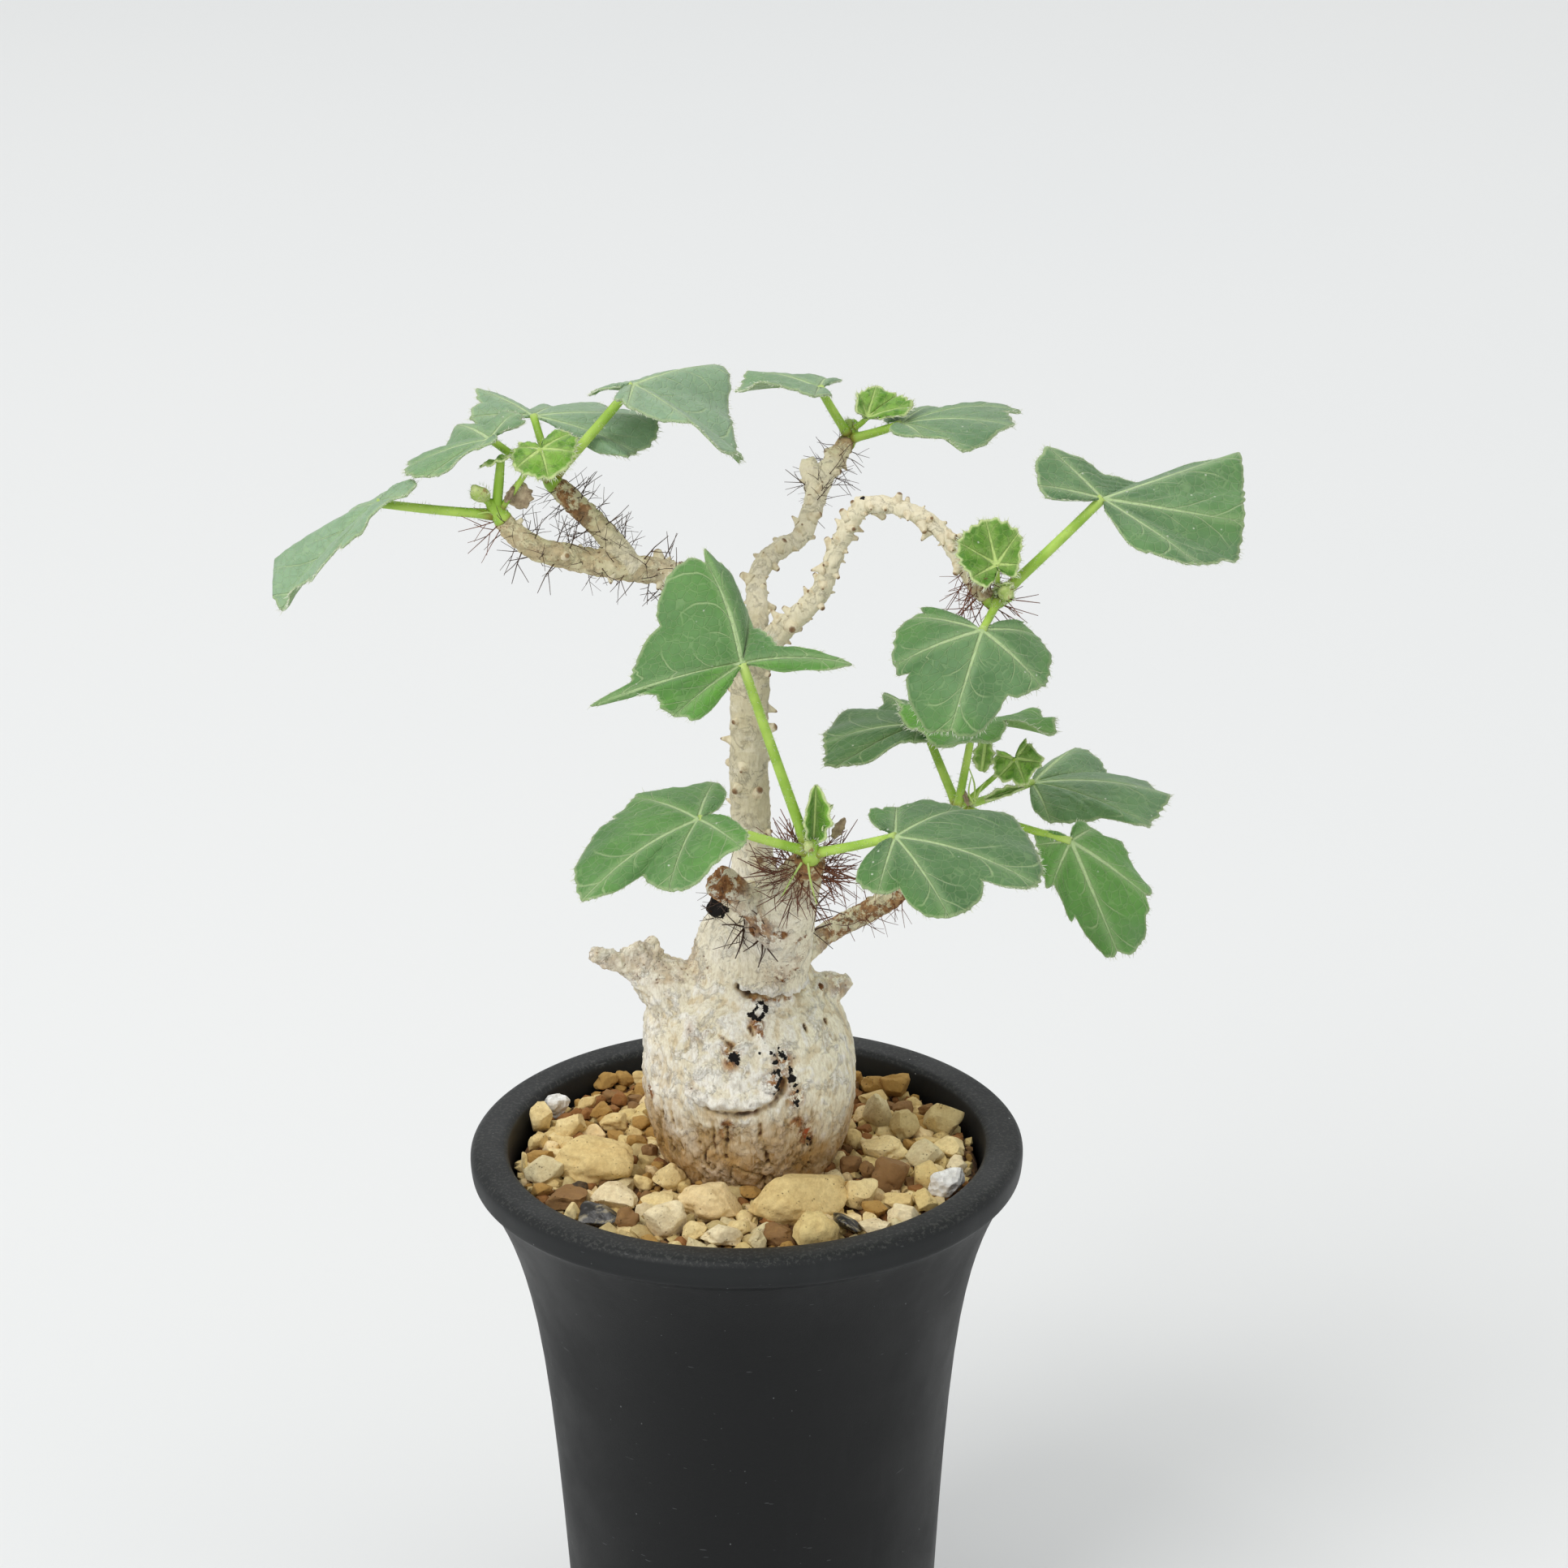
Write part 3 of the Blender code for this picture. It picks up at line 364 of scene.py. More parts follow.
def makeStudio():
    scene = bpy.context.scene
    pitch, roll = math.radians(studio["pitch"]), math.radians(studio["roll"])
    ahead = Vector((0.0, math.cos(pitch), -math.sin(pitch)))
    up = Vector((0.0, math.sin(pitch), math.cos(pitch)))
    right = Vector((1.0, 0.0, 0.0))
    camera = newObject("camera", bpy.data.cameras.new("camera"))
    camera.data.lens, camera.data.sensor_width = studio["lens"], studio["sensor"]
    camera.data.clip_start, camera.data.clip_end = studio["near"], studio["far"]
    turned = Matrix((right * math.cos(roll) - up * math.sin(roll),
                     right * math.sin(roll) + up * math.cos(roll), -ahead)).transposed().to_4x4()
    camera.matrix_world = Matrix.Translation(Vector(studio["eye"]) * mm) @ turned
    scene.camera = camera

    scene.world = bpy.data.worlds.new("studio")
    scene.world.use_nodes = True
    sky = scene.world.node_tree.nodes["Background"].inputs
    sky["Color"].default_value, sky["Strength"].default_value = (*studio["sky"], 1.0), studio["skyStrength"]
    scene.view_settings.view_transform = "Standard"
    for index, (spot, size, power, colour) in enumerate(studio["lamps"]):
        lamp = newObject(f"softbox{index}", bpy.data.lights.new(f"softbox{index}", "AREA"))
        lamp.data.size, lamp.data.energy, lamp.data.color = size * mm, power, colour
        spot, aim = Vector(spot) * mm, Vector(studio["aim"]) * mm
        lamp.matrix_world = Matrix.Translation(spot) @ (aim - spot).to_track_quat("-Z", "Y").to_matrix().to_4x4()

    half, start, height = studio["floorSize"] / 2.0, studio["sweepStart"], studio["sweepHeight"]
    profile = [(-half, 0.0), (start, 0.0)]
    profile += [(start + height * math.sin(a), height * (1.0 - math.cos(a)))
                for a in (math.pi / 2.0 * step / 12 for step in range(1, 13))]
    spots = [(side * half, y, z) for y, z in profile for side in (-1, 1)]
    faces = [(2 * i, 2 * i + 1, 2 * i + 3, 2 * i + 2) for i in range(len(profile) - 1)]
    paper = Surface("backdrop paper", 0.85)
    paper.colour = paper.blend(paper.noise(1.2, 3.0), studio["floor"], studio["floorShade"])
    sweep = newObject("backdrop", newMesh("backdrop", spots, faces), [paper.finish()])
    sweep.data.shade_smooth()


makeStudio()
print("studio ready")


# Pot
pot = dict(footRadius=34.2, footWidth=2.2, footRecess=3.0, floorTop=5.0, wall=2.0, taper=0.055, flareStart=113.0,
           flareReach=10.0, flareLength=18.5, drainHoles=6, drainRadius=3.0, drainCircle=22.0, bossRadius=9.0,
           steps=180, lip=((44.6, 112), (45.2, 117.9), (45.8, 119.3), (47, 119.85), (49.4, 120), (51.2, 119.75),
                           (52.2, 118.9), (52.5, 117.7), (52.3, 115.2), (51.9, 114.3), (51.2, 114.0)))


def potRadius(z):
    flare = pot["flareReach"] * math.exp((z - pot["flareStart"]) / pot["flareLength"])
    return pot["footRadius"] + pot["taper"] * z + flare


def lathe(name, profile, steps):   # turns rows of radius and height round the upright axis
    rings, spots = [], []
    for radius, z in profile:
        count = steps if radius > 0.0 else 1   # one point where the profile meets the axis
        rings.append([len(spots) + step % count for step in range(steps)])
        for angle in (2.0 * math.pi * step / steps for step in range(count)):
            spots.append((radius * math.cos(angle), radius * math.sin(angle), z))
    faces = []
    for upper, lower in zip(rings, rings[1:]):
        for step in range(steps):
            after = (step + 1) % steps
            faces.append(tuple(dict.fromkeys((lower[step], lower[after], upper[after], upper[step]))))
    return newMesh(name, spots, faces)


def plasticSurface():
    skin = Surface("black plastic", 0.5, Specular_IOR_Level=0.22)
    height, cloud = skin.part(2), skin.noise(45.0, 5.0, 0.6)
    lip = skin.span(height, 0.1115, 0.1175)
    skin.colour = skin.blend(cloud, (17, 18, 19), (24, 25, 26))
    skin.coat(lip, (34, 36, 37))
    streak = skin.noise(28.0, 6.0, 0.7, skin.stretched((1.0, 1.0, 0.12)))
    skin.coat(skin.span(streak, 0.55, 0.8), (58, 60, 62), 0.35)
    rub = skin.times(skin.span(skin.noise(1500.0, 3.0, 0.7), 0.5, 0.62), skin.span(height, 0.1184, 0.1192))
    skin.coat(rub, (104, 104, 100), 0.22)
    dust = skin.times(skin.span(skin.cells(520.0), 0.1, 0.05), skin.span(skin.noise(900.0, 2.0), 0.6, 0.66))
    skin.coat(skin.times(dust, skin.span(lip, 0.0, 1.0, 0.3, 1.0)), (176, 180, 182))
    scratch = skin.noise(60.0, 2.0, 0.5, skin.stretched((4.0, 4.0, 26.0), (0.0, 0.5, 0.0)))
    skin.coat(skin.span(scratch, 0.74, 0.76), (90, 92, 94), 0.4)
    return skin.finish(skin.bump(skin.noise(3400.0, 2.0, 0.6), 0.05 * mm, 0.55),
                       skin.span(cloud, 0.3, 0.75, 0.44, 0.6))


def makePot():
    lip = smoothLine(pot["lip"], 5)
    wall = pot["wall"]
    inside = [(0.0, pot["floorTop"]), (potRadius(pot["floorTop"]) - wall - 2.0, pot["floorTop"])]
    inside += [(potRadius(z) - wall, z) for z in (7, 8.5, 12, 24, 42, 60, 75, 90, 98, 104, 108)]
    outside = [(potRadius(z), z) for z in (112.6, 111, 109, 106, 103, 99, 95, 90, 84, 76, 66, 55, 42, 28, 14, 4)]
    outside += [(pot["footRadius"] - 0.1, 1.2), (pot["footRadius"] - 0.8, 0.0)]
    recess = pot["footRadius"] - pot["footWidth"]
    foot = [(recess + 0.6, 0.0), (recess, 0.6), (recess, pot["footRecess"]),
            (pot["bossRadius"] + 2.0, pot["footRecess"]), (pot["bossRadius"], 0.0), (0.0, 0.0)]
    thing = newObject("potShell", lathe("potShell", inside + lip + outside + foot, pot["steps"]), [plasticSurface()])
    holes = []
    for index in range(pot["drainHoles"]):
        angle = 2.0 * math.pi * (index + 0.5) / pot["drainHoles"]
        bm = bmesh.new()
        radius = pot["drainRadius"] * mm
        bmesh.ops.create_cone(bm, cap_ends=True, segments=32, radius1=radius, radius2=radius, depth=0.03)
        middle = Vector((math.cos(angle), math.sin(angle), 0)) * pot["drainCircle"] * mm
        bmesh.ops.translate(bm, verts=bm.verts, vec=middle)
        holes.append(newObject("drill", meshFrom(bm, "drill")))
    drill = joined("drill", holes)
    cut = thing.modifiers.new("drain", "BOOLEAN")
    cut.operation, cut.solver, cut.object = "DIFFERENCE", "MANIFOLD", drill
    applied(thing)
    bpy.data.objects.remove(drill, do_unlink=True)
    thing.data.shade_smooth()
    thing.data.set_sharp_from_angle(angle=math.radians(40.0))
    place(thing, "black_plastic", "pot")


makePot()
print("pot ready")


# Gravel: the big stones and the ones that catch the eye are set one by one, the rest are scattered
bed = dict(height=115.6, rise=1.6, reach=43.6, inner=14.0, edge=44.3, steps=150, rings=34, density=900000.0, seed=5,
           fine=("stone_left", "stone_long", "stone_round"),
           sowings=(dict(name="pebble", seed=900, halves=(1.0, 0.86, 0.72), detail=3, rough=0.5, facets=9, shapes=9,
                         lower=0.4, rimGap=2.6, gap=3.1, smallest=1.5, largest=2.6, palest=0.86, avoid=True),
                    dict(name="grit", seed=950, halves=(1.0, 0.85, 0.75), detail=1, rough=0.6, facets=3, shapes=5,
                         lower=0.9, rimGap=1.2, gap=1.75, smallest=0.8, largest=1.5, palest=0.6, avoid=False)))
bigStones = {   # middle, half sizes, turn, kind
    "stone_left": ((-28.4, -6.5), (8.4, 6.4, 5.0), -8, "tan"),
    "stone_round": ((-6.9, -24.2), (6.3, 4.8, 4.4), 0, "peach"),
    "stone_long": ((9.6, -23.8), (9.7, 5.3, 5.3), 14, "tan"),
    "stone_front": ((12.8, -35.4), (4.6, 3.7, 4.2), 20, "straw"),
    "stone_back": ((37.2, 12.4), (4.6, 3.6, 3.8), -10, "greyTan")}
stoneTints = {"dark": (60, 52, 44), "brown": (146, 112, 74), "rust": (156, 108, 64), "ochre": (186, 148, 84),
              "tan": (236, 212, 152), "straw": (234, 212, 150), "peach": (254, 232, 182), "cream": (248, 228, 172),
              "greyTan": (210, 192, 140), "porous": (232, 220, 178), "white": (250, 236, 198)}
setStones = (   # kind, middle x and y, half sizes, turn
    ("ochre", -27.8, 33.2, 2.4, 1.9, 1.8, 10), ("ochre", -24.5, 34.8, 2.2, 1.8, 1.4, 0),
    ("tan", -20.4, 35.3, 2.2, 1.8, 1.4, 0), ("brown", -26.8, 26.7, 1.8, 1.5, 1.2, 0),
    ("rust", -24.8, 24.3, 1.7, 1.3, 1.5, 0), ("tan", -31.3, 22.1, 1.8, 1.5, 1.7, 0),
    ("cream", -39.6, 15.0, 2.4, 2.4, 2.9, 80), ("ochre", -28.2, 18.8, 2.2, 1.8, 1.6, 0),
    ("rust", -31.1, 18.5, 1.1, 1.1, 1.1, 0), ("cream", -33.9, 10.7, 3.1, 2.5, 2.6, 10),
    ("tan", -25.8, 13.3, 2.6, 2.1, 2.0, 0), ("ochre", -20.7, 12.1, 2.2, 1.7, 1.8, 0),
    ("ochre", -21.2, 4.2, 2.2, 1.7, 1.5, 0), ("tan", -40.2, 5.6, 2.2, 1.7, 1.6, 0),
    ("ochre", -39.3, 0.1, 2.5, 2.0, 1.3, 0), ("cream", -42.0, -5.6, 0.6, 1.5, 3.2, 0),
    ("porous", -38.0, -8.2, 4.0, 3.2, 3.0, -20), ("ochre", -38.6, -15.0, 2.1, 1.7, 1.4, 0),
    ("brown", -33.6, -19.4, 3.7, 3.0, 2.0, -10), ("white", -24.5, -19.5, 4.4, 3.5, 2.1, -8),
    ("dark", -31.4, -15.9, 2.1, 1.7, 1.8, 0), ("cream", -32.3, -25.0, 1.6, 1.6, 1.6, 60),
    ("brown", -22.1, -29.5, 2.3, 1.8, 2.1, 0), ("tan", -19.4, -14.0, 1.8, 1.4, 1.6, 0),
    ("brown", -18.4, -0.9, 1.6, 1.6, 1.6, 0), ("ochre", -16.6, -6.4, 1.4, 1.1, 1.1, 0),
    ("cream", -14.5, -13.4, 3.0, 2.4, 2.5, 30), ("cream", -16.4, -20.5, 3.2, 2.5, 1.2, 0),
    ("white", -19.3, -25.2, 1.8, 1.4, 1.6, 0), ("white", -15.0, -31.1, 3.9, 3.1, 3.5, 0),
    ("cream", -9.6, -34.2, 2.4, 1.9, 1.9, 0), ("white", -4.6, -36.3, 3.8, 3.0, 2.1, -5),
    ("cream", -1.2, -32.2, 2.6, 2.1, 1.7, 0), ("ochre", 0.6, -17.6, 2.1, 1.7, 0.9, 0),
    ("porous", 2.0, -37.4, 1.7, 1.7, 1.7, 0), ("brown", 5.8, -35.2, 3.1, 2.5, 2.0, 0),
    ("ochre", 7.5, -38.4, 1.4, 1.1, 0.8, 0), ("cream", 20.9, -20.6, 3.9, 3.1, 2.8, 40),
    ("ochre", 24.0, -25.4, 2.5, 2.0, 2.1, 0), ("brown", 27.1, -12.7, 3.5, 2.8, 3.2, 0),
    ("tan", 28.5, -22.3, 2.8, 2.2, 1.3, 0), ("white", 23.9, -32.1, 3.0, 2.4, 1.3, 5),
    ("white", 29.2, -28.1, 3.0, 2.4, 2.0, 0), ("straw", 33.0, -22.5, 2.5, 2.0, 2.1, -60),
    ("straw", 33.5, -12.0, 3.0, 2.4, 2.5, 0), ("white", 39.5, -7.3, 2.1, 1.7, 2.0, 0),
    ("cream", 38.6, 0.6, 3.6, 2.9, 2.3, -25), ("porous", 33.6, -3.2, 3.7, 3.0, 2.7, 0),
    ("cream", 25.6, -1.3, 5.0, 3.4, 2.5, -25), ("porous", 25.2, 14.1, 3.2, 3.2, 3.7, 60),
    ("greyTan", 30.2, 8.8, 2.9, 2.9, 3.1, 0), ("ochre", 28.6, 28.4, 3.0, 2.4, 2.4, -15),
    ("ochre", 25.0, 29.6, 2.6, 2.1, 1.8, 0), ("tan", 24.7, 24.1, 2.9, 2.4, 1.3, 0),
    ("ochre", 21.1, 33.3, 1.6, 1.3, 1.5, 0), ("brown", 34.5, 18.7, 1.6, 1.3, 1.3, 0),
    ("brown", 30.5, 19.5, 2.2, 1.8, 1.2, 0), ("tan", 35.0, 4.6, 2.9, 2.3, 0.9, 0),
    ("tan", 20.2, 3.7, 1.8, 1.8, 2.1, 0), ("brown", 19.6, -7.3, 2.1, 1.7, 1.8, 0),
    ("brown", 22.7, -9.0, 1.8, 1.4, 1.5, 0))
chips = (   # thin dark chips: middle, half sizes, lean, turn
    ((-27.2, -27.4), (3.8, 2.6, 1.2), 34, -15), ((18.4, -31.8), (3.4, 2.4, 1.3), -28, -50))
quartz = (((-37.2, 21.5), (2.7, 2.2, 2.5)), ((37.6, -15.2), (3.8, 3.0, 3.0)))


def bedTop(x, y):
    return bed["height"] + bed["rise"] * (1.0 - math.hypot(x, y) / bed["reach"])


def stoneMesh(name, seed, halves, detail, rough, square=0.35, facets=0):
    draw = random.Random(seed)
    bm = bmesh.new()
    bmesh.ops.create_icosphere(bm, subdivisions=detail, radius=1.0)
    shift = Vector([draw.uniform(-50, 50) for axis in "xyz"])
    flats = [Vector([draw.gauss(0, 1) for axis in "xyz"]).normalized() for index in range(facets)]
    depths = [draw.uniform(0.62, 0.88) for flat in flats]
    for vert in bm.verts:
        spot = vert.co.copy()
        swell = 1.0 + rough * noise.noise(spot * 1.1 + shift) + 0.22 * rough * noise.noise(spot * 3.7 + shift)
        swell *= max(abs(spot.x), abs(spot.y), abs(spot.z)) ** -square
        spot = spot * swell * 0.93
        for flat, depth in zip(flats, depths):
            over = spot.dot(flat) - depth
            if over > 0.0:
                spot -= flat * over * 0.93
        vert.co = spot
    for axis, half in enumerate(halves):
        reach = max(abs(vert.co[axis]) for vert in bm.verts)
        for vert in bm.verts:
            vert.co[axis] *= half / reach
    mesh = meshFrom(bm, name)
    mesh.shade_smooth()
    if facets:
        mesh.set_sharp_from_angle(angle=math.radians(38.0))
    return mesh


def stoneSurface():
    rock = Surface("gravel", 0.9, Specular_IOR_Level=0.3)
    kind = rock.number("kind")
    rock.colour = rock.ramp(kind, [(max(0.0, (index - 0.5) / len(stoneTints)), tint)
                                   for index, tint in enumerate(stoneTints.values())], "CONSTANT")
    apart = wire(rock.tree, "ShaderNodeCombineXYZ", {0: kind, 1: rock.number("shift")})
    own = wire(rock.tree, "ShaderNodeVectorMath", {0: rock.object, 1: apart}, operation="ADD")
    cloud = rock.span(rock.noise(150.0, 6.0, 0.65, own), 0.3, 0.75, 0.0, 0.3)
    grit = rock.noise(1100.0, 4.0, 0.7, own)
    holes = rock.times(rock.span(rock.cells(1300.0, vector=own), 0.26, 0.1),
                       rock.span(rock.noise(420.0, 3.0, 0.6, own), 0.48, 0.62))
    rock.colour = rock.blend(cloud, rock.colour, (206, 176, 120), "MULTIPLY")
    rock.coat(rock.span(rock.noise(330.0, 5.0, 0.7, own), 0.5, 0.72), (186, 142, 80), 0.28)
    rock.coat(rock.span(grit, 0.4, 0.6, 0.2, 0.0), (140, 110, 66))
    rock.coat(holes, (98, 74, 46), 0.7)
    coarse = rock.bump(rock.noise(420.0, 6.0, 0.7, own), 0.5 * mm, 0.8)
    return rock.finish(rock.bump(rock.calc("SUBTRACT", grit, rock.times(holes, 0.8)), 0.22 * mm, 0.8, coarse))


def soilSurface():
    soil = Surface("grit between stones", 0.95)
    soil.colour = soil.ramp(soil.noise(900.0, 5.0, 0.7), [
        (0.3, (46, 32, 20)), (0.5, (96, 66, 38)), (0.7, (150, 108, 60))])
    return soil.finish(soil.bump(soil.noise(1500.0, 4.0), 0.4 * mm, 1.0))


def slateSurface():
    slate = Surface("dark chip", 0.32)
    vein = slate.noise(300.0, 5.0, 0.7, slate.stretched((1.0, 3.0, 1.0)))
    slate.colour = slate.blend(slate.span(vein, 0.5, 0.62), (34, 31, 30), (132, 122, 96))
    return slate.finish(slate.bump(slate.noise(500.0, 5.0), 0.3 * mm, 0.8))


def quartzSurface():
    clear = Surface("quartz", 0.3, Transmission_Weight=0.05)
    frost = clear.noise(700.0, 5.0, 0.7)
    clear.colour = clear.blend(clear.span(frost, 0.35, 0.65), (232, 230, 224), (252, 252, 250))
    return clear.finish(clear.bump(clear.cells(900.0), 0.5 * mm, 0.9), clear.span(frost, 0.3, 0.7, 0.12, 0.5))


def tagStone(mesh, kind, shift):
    count = len(mesh.vertices)
    storeNumbers(mesh, "kind", [list(stoneTints).index(kind) / len(stoneTints)] * count)
    storeNumbers(mesh, "shift", [shift] * count)


def standStone(mesh, x, y, lift, turn, lean=0.12):   # lift is how far its middle is above the bed
    spot = Vector((x, y, bedTop(x, y) + lift)) * mm
    mesh.transform(Matrix.Translation(spot) @ Matrix.Rotation(math.radians(turn), 4, "Z")
                   @ Matrix.Rotation(lean, 4, "X") @ Matrix.Scale(mm, 4))


def scatterTree():   # stones of any size and turn, sown over a bed with room for them
    tree, sockets, given = openTree("scatter stones", (
        ("Gap", "Float", 0.003), ("Density", "Float", 200000.0), ("Smallest", "Float", 0.001),
        ("Largest", "Float", 0.002), ("Palest", "Float", 1.0)))
    seed = given["Seed"]
    spread = wire(tree, "GeometryNodeDistributePointsOnFaces", {
        "Mesh": given["Geometry"], "Distance Min": given["Gap"], "Density Max": given["Density"],
        "Density Factor": named(tree, "room"), "Seed": seed}, distribute_method="POISSON")
    stones = stood(tree, given, spread, anyBetween(tree, seed, (-0.5, -0.5, 0.0), (0.5, 0.5, 6.28)),
                   anyBetween(tree, seed, given["Smallest"], given["Largest"]))
    kind = product(tree, anyBetween(tree, seed, 0.05, given["Palest"]), named(tree, "warm"))
    for name, value in (("kind", kind), ("shift", anyBetween(tree, seed, 0.0, 1.0))):
        stones = wire(tree, "GeometryNodeStoreNamedAttribute", {"Geometry": stones, "Name": name, "Value": value},
                      data_type="FLOAT", domain="INSTANCE")
    closeTree(tree, given, stones)
    return tree, sockets


def sowingBed(name, lower, keepOut, rimGap):
    rings, steps, inner = bed["rings"], bed["steps"], bed["inner"]
    spots, room, warm = [], [], []
    for ring in range(rings):
        radius = inner + (bed["edge"] - rimGap - inner) * ring / (rings - 1)
        for step in range(steps):
            angle = 2.0 * math.pi * step / steps
            x, y = radius * math.cos(angle), radius * math.sin(angle)
            spots.append((x, y, bedTop(x, y) - lower))
            free = 1.0
            for sx, sy, half in keepOut:
                free = min(free, smoothStep((math.hypot(x - sx, y - sy) - half * 0.7) / 1.0))
            room.append(free)
            warm.append(1.0 - 0.35 * smoothStep((y + 4.0) / 30.0))
    faces = [(r * steps + s, r * steps + (s + 1) % steps, (r + 1) * steps + (s + 1) % steps, (r + 1) * steps + s)
             for r in range(rings - 1) for s in range(steps)]
    mesh = newMesh(name, spots, [face[::-1] for face in faces])
    storeNumbers(mesh, "room", room)
    storeNumbers(mesh, "warm", warm)
    return newObject(name, mesh)


def makeGravel():
    rock = stoneSurface()
    for index, (name, ((x, y), halves, turn, kind)) in enumerate(bigStones.items()):
        mesh = stoneMesh(name + "Skin", len(name) * 7 + int(x), halves, 5 if name in bed["fine"] else 4, 0.44, 0.2, 6)
        standStone(mesh, x, y, 0.42 * halves[2], turn)
        tagStone(mesh, kind, index * 0.37)
        place(newObject(name + "Skin", mesh, [rock]), "cream_stone", name)

    height = bed["height"]
    top = [(r, height) for r in (0.0, 12, 18, 24, 30, 36, 40, 43)]
    body = lathe("gravelBed", top + [(44.0, 112.6), (42.6, 104), (0.0, 104)], 96)
    base = newObject("gravelBed", body, [soilSurface()])
    for vert in base.data.vertices:
        if vert.co.z > (height - 1.0) * mm:
            vert.co.z = (bedTop(vert.co.x / mm, vert.co.y / mm) - 1.2) * mm
    base.data.shade_smooth()
    parts = [base]

    for index, (kind, x, y, a, b, c, turn) in enumerate(setStones):
        mesh = stoneMesh("setStone", 200 + index, (a * 1.06, b * 1.06, c * 1.1), 4, 0.5, 0.3, 10)
        standStone(mesh, x, y, 0.55 * c, turn, random.Random(index).uniform(-0.3, 0.3))
        tagStone(mesh, kind, index * 0.173)
        parts.append(newObject("setStone", mesh, [rock]))
    keepOut = [(x, y, max(a, b)) for kind, x, y, a, b, c, turn in setStones]
    keepOut += [(x, y, (halves[0] + halves[1]) * 0.5) for (x, y), halves, turn, kind in bigStones.values()]
    keepOut += [(x, y, max(halves[:2])) for (x, y), halves, *rest in chips + quartz]
    scatter = scatterTree()
    for index, plan in enumerate(bed["sowings"]):
        shapes = shapeCollection(plan["name"], [
            stoneMesh(plan["name"], plan["seed"] + shape, plan["halves"], plan["detail"], plan["rough"], 0.3,
                      plan["facets"]) for shape in range(plan["shapes"])])
        sowing = sowingBed(plan["name"] + "s", plan["lower"], keepOut if plan["avoid"] else [], plan["rimGap"])
        parts.append(grown(sowing, scatter, Shapes=shapes, Gap=plan["gap"] * mm, Smallest=plan["smallest"] * mm,
                           Largest=plan["largest"] * mm, Palest=plan["palest"], Seed=bed["seed"] + index, Finish=rock,
                           Density=bed["density"]))
    place(joined("gravelMix", parts), "gravel", "gravel_mix")

    things, finish = [], slateSurface()
    for index, ((x, y), halves, lean, turn) in enumerate(chips):
        mesh = stoneMesh("chip", 70 + index, halves, 4, 0.35, 0.5, 6)
        standStone(mesh, x, y, 1.6, turn, math.radians(lean))
        things.append(newObject("chip", mesh, [finish]))
    place(joined("darkChips", things), "gravel")
    things, finish = [], quartzSurface()
    for index, ((x, y), halves) in enumerate(quartz):
        mesh = stoneMesh("quartz", 90 + index, halves, 4, 0.4, 0.3, 9)
        standStone(mesh, x, y, 0.55 * halves[2], 20)
        things.append(newObject("quartz", mesh, [finish]))
    place(joined("quartzBits", things), "gravel")


makeGravel()
print("gravel ready")


